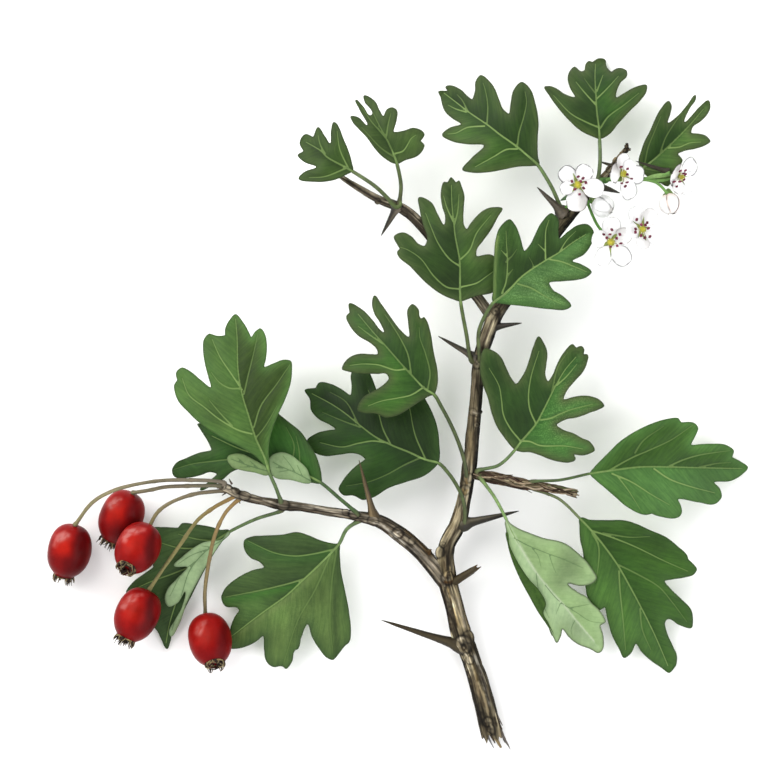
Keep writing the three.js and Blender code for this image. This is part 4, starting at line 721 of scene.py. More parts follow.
def blade_height(leaf, q):
    """As in the CAD model: the middle surface of the blade, in mm."""
    d, u, side = to_line(q, np.array(leaf["rib"], float))
    d = d * UNIT
    a, b, c = leaf["z"]
    spine = a * (1 - u) * (1 - 2 * u) + 4 * b * u * (1 - u) + c * u * (2 * u - 1)
    right = side > 0
    fold = np.where(right, leaf["fold"][1], leaf["fold"][0])
    curl = np.where(right, leaf["curl"][1], leaf["curl"][0])
    return np.maximum(0.3, spine + fold * (np.hypot(d, 0.6) - 0.6) + curl * (d / 10) ** 2)


def line_of(text, step=1.0):
    return catmull([[float(k) for k in w.split(",")] for w in text.split()], step=step)


def triangulate(outline, lines, spacing):
    """Points and triangles of an outline with the lines kept as edges."""
    x0, y0 = outline.min(0)
    x1, y1 = outline.max(0)
    ys = np.arange(y0, y1, spacing * 0.866)
    grid = np.vstack([np.stack([np.arange(x0 + (k % 2) * spacing / 2, x1, spacing), np.full(len(np.arange(x0 + (k % 2) * spacing / 2, x1, spacing)), y)], 1) for k, y in enumerate(ys)])
    grid += RNG.uniform(-0.12, 0.12, grid.shape) * spacing
    grid = grid[inside(outline, grid)]
    closed = np.vstack([outline, outline[:1]])
    grid = grid[to_line(grid, closed)[0] > spacing * 0.55]
    pts = [outline]
    edges = [(i, (i + 1) % len(outline)) for i in range(len(outline))]
    n = len(outline)
    kept = []
    for ln in lines:
        ok = inside(outline, ln) & (to_line(ln, closed)[0] > 0.8)
        ln = ln[ok]
        for other in kept:
            far = to_line(ln, other)[0] > 0.7
            ln = ln[far]
        if len(ln) < 2:
            continue
        kept.append(ln)
        pts.append(ln)
        edges += [(n + i, n + i + 1) for i in range(len(ln) - 1) if np.linalg.norm(ln[i + 1] - ln[i]) < 3]
        n += len(ln)
        grid = grid[to_line(grid, ln)[0] > spacing * 0.6]
    pts.append(grid)
    allp = np.vstack(pts)
    res = delaunay_2d_cdt([Vector((float(a), float(b))) for a, b in allp], edges, [], 0, 1e-5)
    v = np.array([(p.x, p.y) for p in res[0]])
    f = np.array([tuple(t) for t in res[2] if len(t) == 3])
    c = v[f].mean(1)
    f = f[inside(outline, c)]
    used = np.unique(f)
    back = np.full(len(v), -1)
    back[used] = np.arange(len(used))
    v, f = v[used], back[f]
    a, b, c = v[f[:, 0]], v[f[:, 1]], v[f[:, 2]]
    area = (b[:, 0] - a[:, 0]) * (c[:, 1] - a[:, 1]) - (b[:, 1] - a[:, 1]) * (c[:, 0] - a[:, 0])
    f = f[np.abs(area) > 1e-7]
    area = area[np.abs(area) > 1e-7]
    f[area > 0] = f[area > 0][:, ::-1]           # plan y runs down, so this turns them up
    return v, f


def sheet(v, f, height, thick):
    """Top and underside of a blade with a closed margin. Returns world verts, faces, and which layer each vertex is of."""
    n = len(v)
    top = plan(v[:, 0], v[:, 1], height + thick / 2)
    low = plan(v[:, 0], v[:, 1], np.maximum(height - thick / 2, 0.02))
    e = {}
    for a, b, c in f:
        for p, q in ((a, b), (b, c), (c, a)):
            e[(p, q)] = 1
    rim = [(p, q) for (p, q) in e if (q, p) not in e]
    faces = [tuple(t) for t in f] + [(c + n, b + n, a + n) for a, b, c in f] + [(q, p, p + n, q + n) for p, q in rim]
    return np.vstack([top, low]), faces, np.repeat([0, 1], n), len(f), len(rim)


def patches(outline, seed):
    """Lighter and darker clouds on a blade by a seeded rule: where, how wide, how much lighter or darker, how strong."""
    rng = np.random.default_rng(int(seed) + 900)
    lo, hi = outline.min(0), outline.max(0)
    size = math.sqrt((hi[0] - lo[0]) * (hi[1] - lo[1]))
    return [(*(lo + (hi - lo) * rng.uniform(0.12, 0.88, 2)), size * rng.uniform(0.09, 0.16), rng.uniform(0.66, 1.34), rng.uniform(0.5, 0.8)) for _ in range(9)]


def tone(leaf, v, outline, d_rib, side, seed):
    closed = np.vstack([outline, outline[:1]])
    de = to_line(v, closed)[0]
    rimc, left, right = (hexes(h) for h in leaf["tones"])
    band = leaf.get("band", 7.0)
    # each half of the blade has its own colour: partly the leaf's own tone, partly painted light and shade, one half of
    # the fold lit and the other shaded
    c = np.where((side > 0)[:, None], right, left)
    w = np.exp(-(de / band) ** 1.7)[:, None]
    # painted shade: darkest in the middle of the blade, in the crease by the midrib
    mid = leaf.get("deep", 0.15) * np.exp(-(d_rib / 17) ** 2) * smoothstep(de, 3, 13)
    c = c * (1 - mid[:, None] * np.array([1.05, 0.85, 1.0]))
    c = c * (1 - w) + rimc * w
    for x, y, r, f, k in patches(outline, seed):
        g = k * np.exp(-(((v[:, 0] - x) ** 2 + (v[:, 1] - y) ** 2) / r ** 2)) * (1 - 0.45 * w[:, 0])
        # a tint stays on its own side of the midrib
        own = np.sign(side_of(leaf, x, y))
        g = g * np.where(side * own >= 0, 1, 0.12)
        c = c * (1 + (f - 1) * g[:, None])
    big = fbm(np.c_[v, np.zeros(len(v))], 16, seed, 3)[:, None] - 0.5
    c = c * (1 + 0.16 * big)
    edge = np.exp(-(de / 1.1) ** 2)[:, None]
    c = c * (1 - leaf.get("outline", 0.2) * edge)
    # painted light and shade along a fold or a side vein, one flank lit and the other shaded: line, width, colour,
    # strength, side (0 both)
    for text, wide, h, k, flank in leaf.get("strokes", []):
        d, u, sd = to_line(v, line_of(text))
        g = k * np.exp(-(d / wide) ** 2) * (1 if not flank else smoothstep(sd * flank * np.minimum(d, 1.0), -0.2, 0.8)) * smoothstep(u, -0.01, 0.06)
        c = c * (1 - g[:, None]) + hexes(h) * g[:, None]
    return c, de


def stipple(leaf, v, side):
    out = np.zeros(len(v))
    for x, y, r, k in leaf.get("stip", []):
        own = np.sign(side_of(leaf, x, y))
        out += k * np.exp(-(((v[:, 0] - x) ** 2 + (v[:, 1] - y) ** 2) / r ** 2)) * np.where(side * own >= 0, 1, 0.0)
    return np.clip(out, 0, 1)


def side_of(leaf, x, y):
    return to_line(np.array([[x, y]], float), np.array(leaf["rib"], float))[2][0]


def leaf_piece(name, leaf, spacing=1.45, thick=0.3):
    seed = int(name[-2:])
    outline = margin(leaf["edge"])
    lines = [line_of(t) for t in leaf["veins"]]
    v, f = triangulate(outline, lines, spacing)
    d_rib, u_rib, side = to_line(v, lines[0])
    vein = np.full(len(v), 99.0)
    raw = np.full(len(v), 99.0)
    ink = np.ones(len(v))
    force = VEIN_INK.get(name, [])
    for k, ln in enumerate(lines):
        d, u, _ = to_line(v, ln)
        wide = (1.25 - 0.75 * u) if k == 0 else (1.0 - 0.55 * u) * (1.0 if k < 7 else 0.75)
        m = d / wide
        near = m < vein
        ink = np.where(near, (0.95 * (1 - 0.12 * np.exp(-(u / 0.12) ** 2)) if k == 0 else (0.86 - 0.35 * u ** 2)) * (force[k] if k < len(force) else 1.0), ink)
        vein = np.minimum(vein, m)
        raw = np.minimum(raw, d)
    pale = name == "leaf_15"
    c, de = tone(leaf, v, outline, d_rib, side, seed)
    stip = stipple(leaf, v, side)
    rib_long = np.linalg.norm(np.diff(lines[0], axis=0), axis=1).sum()
    grain = np.stack([(u_rib * rib_long - 0.9 * d_rib) * UNIT, d_rib * UNIT * 0.16, side * 5.0 + seed], 1)
    if pale:
        # its midrib stands out pale, the side veins are thin and dark
        g = (0.85 * np.exp(-(d_rib / (1.5 - 0.8 * u_rib)) ** 2))[:, None]
        c = c * (1 - g) + hexes("d3e3be") * g
        vein = np.full(len(v), 99.0)
        for k, ln in enumerate(lines[1:]):
            d, u, _ = to_line(v, ln)
            vein = np.minimum(vein, d / ((0.62 - 0.25 * u) * (1.0 if k < 3 else 0.7)))
        ink = ink * 0.8
    h = blade_height(leaf, v)
    # the lamina bulges between the veins and waves towards its margin
    q = np.c_[v, np.full(len(v), seed * 31.0)]
    puff = 0.22 * (1 - np.exp(-(raw / 5.0) ** 2)) * (1 - np.exp(-de / 6.0))
    wave = (fbm(q, 26, seed, 2) - 0.5) * 0.9 * np.exp(-de / 14.0)
    groove = -0.09 * np.exp(-(raw / 1.1) ** 2)
    h = h + (puff + wave + groove) * (1 - np.exp(-(d_rib + 2) / 8.0)) + groove * 0.5
    h = np.maximum(h, 0.2)
    verts, faces, layer, nf, nr = sheet(v, f, h, thick)
    n = len(v)
    under = GAIN * linear(hexes("8fab74") * (1 + 0.15 * (fbm(np.c_[v, np.zeros(n)], 14, seed + 5, 3)[:, None] - 0.5)))
    if pale:
        # this leaf lies with its paler underside up
        below = linear(hexes("3d672b") * np.ones((n, 3)))
        cols = np.vstack([linear(c) * PALE_GAIN, below * LEAF_GAIN])
        fm = [1] * nf + [0] * nf + [1] * nr
    else:
        cols = np.vstack([linear(c) * LEAF_GAIN, under])
        fm = [0] * nf + [1] * nf + [0] * nr
    veins = np.concatenate([vein, np.maximum(vein, 0)])
    inks = np.concatenate([ink, ink * 0.8])
    # the leaf stalk, from inside the wood, and its run under the midrib
    st = np.array(leaf["stalk"], float)
    b0 = np.array(lines[0][0])
    mid = lines[0]
    ctrl = [plan(*p) for p in st[:-1]] + [plan(b0[0], b0[1], float(blade_height(leaf, b0[None])[0]) - 0.14)]
    n_base = len(ctrl)
    for k, back in ((0.1, 0.14), (0.3, 0.24), (0.6, 0.3)):
        i = int(k * (len(mid) - 1))
        ctrl.append(plan(mid[i][0], mid[i][1], float(blade_height(leaf, mid[i][None])[0]) - back))
    ctrl = rooted(np.array(ctrl), sink=SINK.get(name, 0.0))
    ptz = catmull(ctrl, step=0.0003)
    s = np.linspace(0, 1, len(ptz))
    k_base = np.argmin(np.linalg.norm(ptz - plan(b0[0], b0[1], float(blade_height(leaf, b0[None])[0]) - 0.14), axis=1)) / (len(ptz) - 1)
    long_ = np.linalg.norm(np.diff(ptz, axis=0), axis=1).sum() * 1000
    rad = np.where(s < k_base, 0.52 - 0.07 * s / k_base + 0.42 * np.exp(-(s * long_ / 1.3) ** 2) + 0.06 * np.exp(-((s * long_ - 1.9) / 0.5) ** 2), 0.44 * (1 - (s - k_base) / (1 - k_base)) ** 0.7 * 0.8 + 0.05) / 1000 * SLIM.get(name, 1.0)
    tv, tf, _, ts, tdirs = tube(ptz, rad, 12)
    nt = len(tv)
    nz = np.append(tdirs[..., 2].ravel(), [0, 0])
    a, b_ = (hexes("779458"), hexes("88a96a")) if pale else (hexes("575f3d"), hexes("586d3c")) if name in OLIVE else STALK_HUES.get(name, (hexes("5e7449"), hexes("65804f")))
    a, b_ = (c_ * k_ for c_, k_ in zip((a, b_), STALK_DIM.get(name, (1, 1))))
    grad = np.clip(ts / ts.max() / k_base, 0, 1)[:, None]
    tc = a * (1 - grad) + b_ * grad
    foot = np.exp(-(ts * 1000 / 1.5) ** 2)[:, None]
    tc = tc * (1 - 0.6 * foot) + hexes("5e5238") * 0.6 * foot
    over = smoothstep(ts / ts.max(), k_base * 0.95, k_base * 1.02)[:, None] * (0 if pale else 1)
    tc = tc * (1 - over) + hexes("738f50") * over
    # painted shade: the stalk is darker on its sides and underside
    tc = tc * (0.55 + 0.45 * smoothstep(nz, 0.05, 0.85))[:, None]
    tc = GAIN * linear(tc * (1 + 0.3 * (noise3(tv * 1000, 1.1, seed)[:, None] - 0.5)))
    off = len(verts)
    verts = np.vstack([verts, tv])
    faces += [tuple(i + off for i in t) for t in tf]
    fm += [2] * len(tf)
    cols = np.vstack([cols, tc])
    veins = np.concatenate([veins, np.full(nt, 99.0)])
    inks = np.concatenate([inks, np.zeros(nt)])
    stips = np.concatenate([stip, np.zeros(n + nt)])
    grains = np.vstack([grain, grain, tv * 1000])
    # bake map: top, underside and stalk side by side
    lo, hi = outline.min(0), outline.max(0)
    span = max(hi - lo)
    uv_top = (v - lo) / span * 0.48
    uv = np.vstack([uv_top + [0.01, 0.01], uv_top * [1, 1] + [0.51, 0.01], np.c_[0.02 + 0.9 * ts / ts.max(), 0.6 + 0.05 * np.zeros(nt)]])
    flaps = [fl for fl in FLAPS if fl[0] == name]
    for fl in flaps:
        o2 = margin(fl[1])
        fv_lines = [line_of(t) for t in fl[4]]
        v2, f2 = triangulate(o2, fv_lines, spacing)
        mk = marks(fl[1])
        p0, p1 = np.array(mk[fl[2][0]][:2]), np.array(mk[fl[2][1]][:2]) if fl[2][1] < len(mk) else np.array(mk[-1][:2])
        ax = (p1 - p0) / np.linalg.norm(p1 - p0)
        dist = np.abs((v2 - p0) @ np.array([-ax[1], ax[0]]))
        lift = 0.22 + fl[3] * (1 - np.exp(-dist / 5.0)) * 0.75
        h2 = blade_height(leaf, v2) + lift + 0.3 * (noise3(np.c_[v2, np.zeros(len(v2))], 9, seed) - 0.5)
        w2, face2, _, nf2, nr2 = sheet(v2, f2, h2, 0.26)
        d2 = np.full(len(v2), 99.0)
        for k, ln in enumerate(fv_lines):
            d, u, _ = to_line(v2, ln)
            d2 = np.minimum(d2, d / ((0.8 if k == 0 else 0.5) * (1 - 0.4 * u)))
        de2 = to_line(v2, np.vstack([o2, o2[:1]]))[0]
        dark = name == "leaf_15"
        c2 = hexes(fl[5]) * (1 + 0.16 * (fbm(np.c_[v2, np.zeros(len(v2))], 12, seed + 9, 3)[:, None] - 0.5)) * (1 - 0.15 * np.exp(-(de2 / 1.2) ** 2)[:, None])
        other = hexes("3d672b" if not dark else "a3bf84") * np.ones((len(v2), 3))
        off = len(verts)
        verts = np.vstack([verts, w2])
        faces += [tuple(i + off for i in t) for t in face2]
        fm += ([0] * nf2 + [1] * nf2 + [0] * nr2) if dark else ([1] * nf2 + [0] * nf2 + [1] * nr2)
        cols = np.vstack([cols, linear(c2) * (LEAF_GAIN if dark else PALE_GAIN), linear(other) * (PALE_GAIN if dark else LEAF_GAIN)])
        stips = np.concatenate([stips, np.zeros(2 * len(v2))])
        g2 = np.c_[v2 * UNIT, np.full(len(v2), 3.0)]
        grains = np.vstack([grains, g2, g2])
        veins = np.concatenate([veins, d2, d2])
        inks = np.concatenate([inks, np.full(2 * len(v2), 0.7 if not dark else 0.0)])
        lo2 = o2.min(0)
        uvf = (v2 - lo2) / span * 0.45
        row = 0.66 if fl is flaps[0] else 0.84
        uv = np.vstack([uv, uvf * [1, 1] * 0.6 + [0.01, row], uvf * 0.6 + [0.51, row]])
    top_mat = M_TOP
    low_mat = M_PALE if name in ("leaf_15", "leaf_12", "leaf_17") else M_UNDER
    ob = build(name + "_look", verts, faces, [top_mat, low_mat, M_STALK], {"Tone": cols, "vein": veins, "ink": inks, "stip": stips, "vGrain": grains}, fm, uv)
    return settle(ob, "leaf", name)


for name, leaf in LEAVES.items():
    leaf_piece(name, leaf)

# The green saddle where the stalks of leaf_01 and leaf_02 meet on their twig.
path = catmull(np.array([plan(*p) for p in ([388.5, 200, 13.6], [392.5, 204.4, 13.35], [396.6, 207.2, 13.2], [399.9, 205.2, 13.3], [400.6, 200.5, 13.75])]), step=0.0002)
u = np.linspace(0, 1, len(path))
V, F, T, S, dirs = tube(path, (0.34 + 0.26 * np.sin(np.pi * u)) / 1000, 12)
nz = np.append(dirs[..., 2].ravel(), [0, 0])[:, None]
# painted shade: the saddle is darker on its sides and underside
col = hexes("5b6d3c") * (0.60 + 0.40 * smoothstep(nz, 0.05, 0.85)) * (0.85 + 0.3 * noise3(V * 1000, 1.1, 7)[:, None])
settle(build("stalk_saddle", V, F, [M_STALK], {"Tone": GAIN * linear(col)}), "leaf")


# ---------------------------------------------------------------------------------------
# Wood
# ---------------------------------------------------------------------------------------
def unplan(V):
    z = V[..., 2] * 1000
    k = UNIT * (1 - z / EYE)
    return np.stack([(V[..., 0] * 1000 - SHIFT[0]) / k + MID, MID - (V[..., 1] * 1000 - SHIFT[1]) / k], -1)


# Each limb that is seen whole: the nodes it stands for, more points before it, and its bark:
# the dark of the cracks, the middle, the light of its paler patches; crack depth mm.
WOOD = {
  "stem": dict(nodes=["stem_lower", "stem_middle", "stem_upper"], by=1, depth=0.30, bark=("2d261c", "736853", "b4a88e")),
  "branch_left": dict(nodes=["branch_left"], before=[[452, 594, 5.2, 6.4]], by=0, depth=0.24, bark=("2d251c", "7c7264", "b8ad9c")),
  "twig_upper_left": dict(nodes=["twig_upper_left"], before=[[497, 325, 12.3, 4.6]], by=0, depth=0.16, bark=("29231a", "5e5749", "968d7c")),
  "spur_right": dict(nodes=["spur_right"], before=[[470, 474, 8.7, 4.2]], by=0, depth=0.20, bark=("33291d", "6d624e", "968b72")),
}
# Knots: plan x, y, radius in plan units, height mm, how pale, how dark its eye.
KNOTS = [
  [463, 645, 7.5, 0.75, 0.5, 1.0], [469, 637, 5, 0.35, 0.1, 0.0], [448, 578, 5.5, 0.6, 0.35, 0.7], [438, 552, 5.0, 0.55, 0.05, 0.0], [443, 545, 2.5, 0.3, 0.0, 0.6],
  [465, 490, 4.0, 0.34, 0.25, 0.7], [468, 478, 4.0, 0.4, 0.4, 0.2], [484, 412, 2.6, 0.8, 0.0, 0.0], [476.6, 425, 2.4, 0.28, 0.5, 0.9], [473, 412, 3.0, 0.25, 0.5, 0.0],
  [477, 364, 4.0, 0.4, 0.3, 0.6], [495.7, 311, 3.2, 0.35, 0.2, 0.9], [488, 722, 4.0, 0.4, 0.4, 0.4], [491, 729, 3.2, 0.5, 0.5, 0.7], [470, 660, 3.4, 0.4, 0.5, 0.0],
  [398, 533, 4.6, 0.45, 0.3, 0.5], [430, 551, 2.6, 0.5, 0.0, 0.0], [412, 541, 3.0, 0.3, 0.3, 0.0], [354, 514, 4.2, 0.5, 0.4, 0.1], [346, 512, 3.0, 0.3, 0.2, 0.0], [373, 521, 4.5, 0.4, 0.2, 0.2],
  [283, 505, 5.0, 0.34, 0.3, 0.0], [245, 495, 4.6, 0.34, 0.2, 0.0], [236, 490, 3.4, 0.30, 0.1, 0.3], [229, 486, 3.0, 0.36, 0.3, 0.3], [223, 486, 2.6, 0.4, 0.2, 0.3],
  [397, 206, 4.4, 0.2, 0.1, 0.0], [404, 214, 3.0, 0.14, 0.0, 0.0], [377.5, 201.6, 2.7, 0.5, 0.05, 0.15], [362, 191, 2.4, 0.1, 0.1, 0.0], [350.5, 181.5, 1.6, 0.1, 0.2, 0.6], [355.5, 185.5, 1.5, 0.1, 0.2, 0.6], [341, 176, 2.6, 0.15, 0.3, 0.4],
  [564, 212, 4.6, 0.5, 0.3, 0.2], [572, 214, 3.4, 0.3, 0.1, 0.3], [600, 182, 4.0, 0.45, 0.2, 0.2], [609, 169, 3.0, 0.35, 0.0, 0.3], [615, 160, 2.8, 0.35, 0.2, 0.1], [622, 154, 2.4, 0.3, 0.4, 0.0], [627, 146, 2.4, 0.5, 0.1, 0.3], [626, 151, 2.0, 0.4, 0.0, 0.2],
  [489, 477, 3.4, 0.25, 0.3, 0.0], [507, 479, 3.0, 0.35, 0.3, 0.3], [516, 484, 2.6, 0.25, 0.0, 0.3], [549, 487, 2.4, 0.2, 0.2, 0.0], [576, 493, 2.6, 0.3, 0.2, 0.2],
]
# Long marks in the bark: half width in plan units, colour, strength, and the line they follow. Some are the bark's own
# cracks, streaks and knot marks; others are painted light and shade: pale highlights along the lit edges and dark bands
# along the shaded edges of the limbs.
STROKES = [
  [2.2, "2c2116", 0.75, "439.5,581 445,604 451.5,634"], [0.8, "ab9368", 0.85, "447,586 451.5,603 460,629"], [0.7, "9a8a6c", 0.7, "453,587 457,607 463,629"],
  [1.8, "8d8478", 0.65, "457,596 461,611 466,629"], [0.9, "2e2418", 0.8, "450,597 453.5,612 457.5,629"], [0.8, "2e2418", 0.6, "445.5,590 449,606 455,630"], [1.2, "4a3826", 0.8, "461,597 466,614 471.5,632"], [1.6, "4b3116", 0.85, "443.5,581.5 448,582.5 454,581"],
  [1.0, "b09a74", 0.6, "444,577 447,571.5 452,571 454.5,575"], [1.0, "3a2a18", 0.7, "446,579 448.5,575 451.5,576"],
  [1.6, "bdb2a0", 0.75, "458,641 460.5,638.5 463.5,638.8"], [1.2, "b7ac9a", 0.7, "456.5,646 457.5,649"], [1.0, "bdb19c", 0.75, "464.5,653 467.5,657 468.6,664"], [1.4, "2f261a", 0.8, "461,646 463.5,650 466,647.5 464.5,643.5"], [1.6, "564a35", 0.7, "468,634 471.5,642 474,651"], [1.0, "2d2418", 0.8, "473,637 475.5,650"],
  [1.5, "9f9b95", 0.8, "473,652 479.5,668 486,690 490.5,708"], [2.6, "1d1812", 0.85, "461,657 473,694 483,728.6"], [2.4, "5f513e", 0.75, "472,674 485.2,708.6"], [1.4, "4e4029", 0.8, "472.3,662.5 475,672 478.2,682"], [0.5, "8e7d62", 0.6, "483,690 486,702 488.8,713"], [0.9, "2a221a", 0.8, "477.5,664 484,683 490,703"], [1.3, "4d4130", 0.8, "487,683 492,699 497,713"], [0.8, "5c5345", 0.7, "470,668 476,684"],
  [1.2, "9b9078", 0.8, "487,718 489.5,722"], [1.0, "a39880", 0.7, "490,724 493,728"], [1.3, "2a2117", 0.8, "485,722 488,731"], [1.2, "2c2319", 0.7, "494,716 497,727"],
  [2.0, "7f7052", 0.55, "441.5,556 442.5,566 445,575"], [0.7, "a6946e", 0.6, "450,566 451,574 452.5,581"], [1.3, "4d3c20", 0.85, "454,556 456,579"], [1.2, "30271d", 0.8, "447,555 449,566"], [0.9, "3b2f22", 0.7, "444,561 446,572"],
  [3.2, "8f7f62", 0.55, "458,507 452,522 446.5,538"], [1.9, "2b231b", 0.85, "464.5,531 458.5,543 453,555"], [0.8, "2f261c", 0.75, "457,524 454,533 449,543"], [0.9, "5f6a40", 0.6, "459.5,523 460.5,528 464,529"],
  [2.6, "93815f", 0.6, "470,428 470.5,446 471.5,466"], [1.9, "2c241c", 0.85, "480.5,424 477.5,450 476,470 472.5,495 471.5,513"], [0.7, "5c4c38", 0.6, "473,430 474.5,446 474,462"], [0.6, "5c4c38", 0.5, "468.5,436 469.5,452"],
  [0.8, "aaa090", 0.85, "472.5,412 478,413.5 484,411"], [0.7, "3a2f24", 0.7, "473,416 479,417 484,415"], [0.8, "4e4132", 0.7, "476,419 475,424"], [1.8, "38302a", 0.65, "481.5,384 482,400"], [0.7, "4a3f36", 0.6, "477.5,372 478,392 477,408"], [1.2, "8f8070", 0.45, "474,378 473.5,398"],
  [1.0, "9b8157", 0.8, "469,471 466,479 467.5,485"], [0.9, "a08658", 0.8, "462.5,488 465,494 467.5,489"],
  [1.8, "8b7c68", 0.6, "487.5,326 481,344 478,358"], [2.2, "2a231e", 0.85, "499.5,309 498,326 490,347 483.5,366"], [0.7, "3a302a", 0.7, "492,318 487,334 481.5,350"], [1.6, "2a221d", 0.8, "504,304 520,283 545,250"], [0.8, "3a3029", 0.7, "497,307 510,290"], [1.2, "7d705f", 0.5, "499,303 511,287 530,262"],
  [1.7, "241d17", 0.85, "563,229 575,216 586,205"], [1.2, "726656", 0.55, "560,219 566,213"], [0.8, "9a876b", 0.8, "613,160 618,155 624,148.5"], [0.9, "2a221a", 0.85, "607,178 613,169 619,161"], [0.9, "927f65", 0.6, "601,178 606,172"], [0.8, "262019", 0.8, "621,158 626,152 628.5,146"], [1.0, "3b4a26", 0.5, "601,186 606,183"],
  [1.6, "8e857c", 0.7, "413,546 424,557 436,570"], [1.2, "a39e97", 0.6, "380,523.5 391,532.5 402,541.5 413,550.5 423,556.5"], [1.0, "2b2520", 0.7, "372,526 388,538 403,551 416,564"], [1.5, "211b16", 0.9, "404,543.5 421,562 438,584"], [1.9, "533c1d", 0.85, "402,526.5 417,539 433,557"], [1.1, "a9a198", 0.7, "372,522.5 380,524.5 390,531"], [1.0, "382d23", 0.8, "399,529 403,533 401,537.5 397,538"], [0.8, "bcb4aa", 0.7, "396,532.5 400,532"],
  [1.2, "332820", 0.8, "345,519 360,522 378,527 392,537"], [0.7, "cfc9c0", 0.5, "348,511 356,513"], [1.0, "2f251e", 0.8, "285,510 305,513.5 330,517 345,519"], [0.7, "cbc3b8", 0.55, "262,499.5 272,502.5 280,505"], [0.8, "bdb4a9", 0.5, "290,504.5 310,507 330,510"], [0.7, "4c4035", 0.7, "292,508 315,511 335,513.5"],
  [1.0, "2c231c", 0.8, "243,500 258,504 275,509"], [0.9, "3a3028", 0.7, "225,481 230,484"], [1.0, "9d9488", 0.6, "246,493 258,497"],
  [1.0, "2a221d", 0.85, "385,206.5 396,212 408,221 425,237 450,269 470,296"], [1.5, "3a332a", 0.75, "400,208.5 407,213.8 415,221.5 425,233"], [1.2, "b3a593", 0.8, "400,201.8 411,209.8 421,219.6"], [1.3, "332c25", 0.75, "343,179 358,188.6 373,197.6 388,205.6"], [0.9, "a5988a", 0.7, "345,175.6 359,184.6 375,193.2 382,196.8"], [0.7, "7b7062", 0.5, "352,187 366,195 379,202"],
  [0.9, "2d241b", 0.8, "482,480 500,484 520,488 545,492.5"], [0.6, "b9a98a", 0.6, "490,476.5 505,480 512,482.5"], [0.5, "32281e", 0.8, "485,474 500,476 520,480"], [0.6, "b4a588", 0.6, "520,482 535,485 548,487"], [0.5, "2f251b", 0.7, "530,488 548,489.5 566,493"], [1.1, "a4977f", 0.7, "572,494 578,495.5"], [1.3, "74905a", 0.8, "543,482.5 560,486 577,490"],
]
STROKES = [(w, hexes(c), k, line_of(t, step=1.5)) for w, c, k, t in STROKES]


def paint(col, xy, up):
    """Lays the long marks, the bark's own marks and its painted highlights and shade, on vertex colours, where the bark
    faces up.
    """
    for w, c, k, ln in STROKES:
        lo, hi = ln.min(0) - 3 * w, ln.max(0) + 3 * w
        near = np.nonzero((xy[:, 0] > lo[0]) & (xy[:, 0] < hi[0]) & (xy[:, 1] > lo[1]) & (xy[:, 1] < hi[1]))[0]
        if not len(near):
            continue
        q = xy[near]
        d, u, _ = to_line(q, ln)
        d = d + (noise3(np.c_[q, np.zeros(len(q))], 2.2, 4) - 0.5) * w * 1.1
        g = (k * np.exp(-(d / w) ** 2) * smoothstep(u, -0.02, 0.10) * smoothstep(1.02 - u, 0, 0.12) * up[near])[:, None]
        col[near] = col[near] * (1 - g) + c * g
    return col


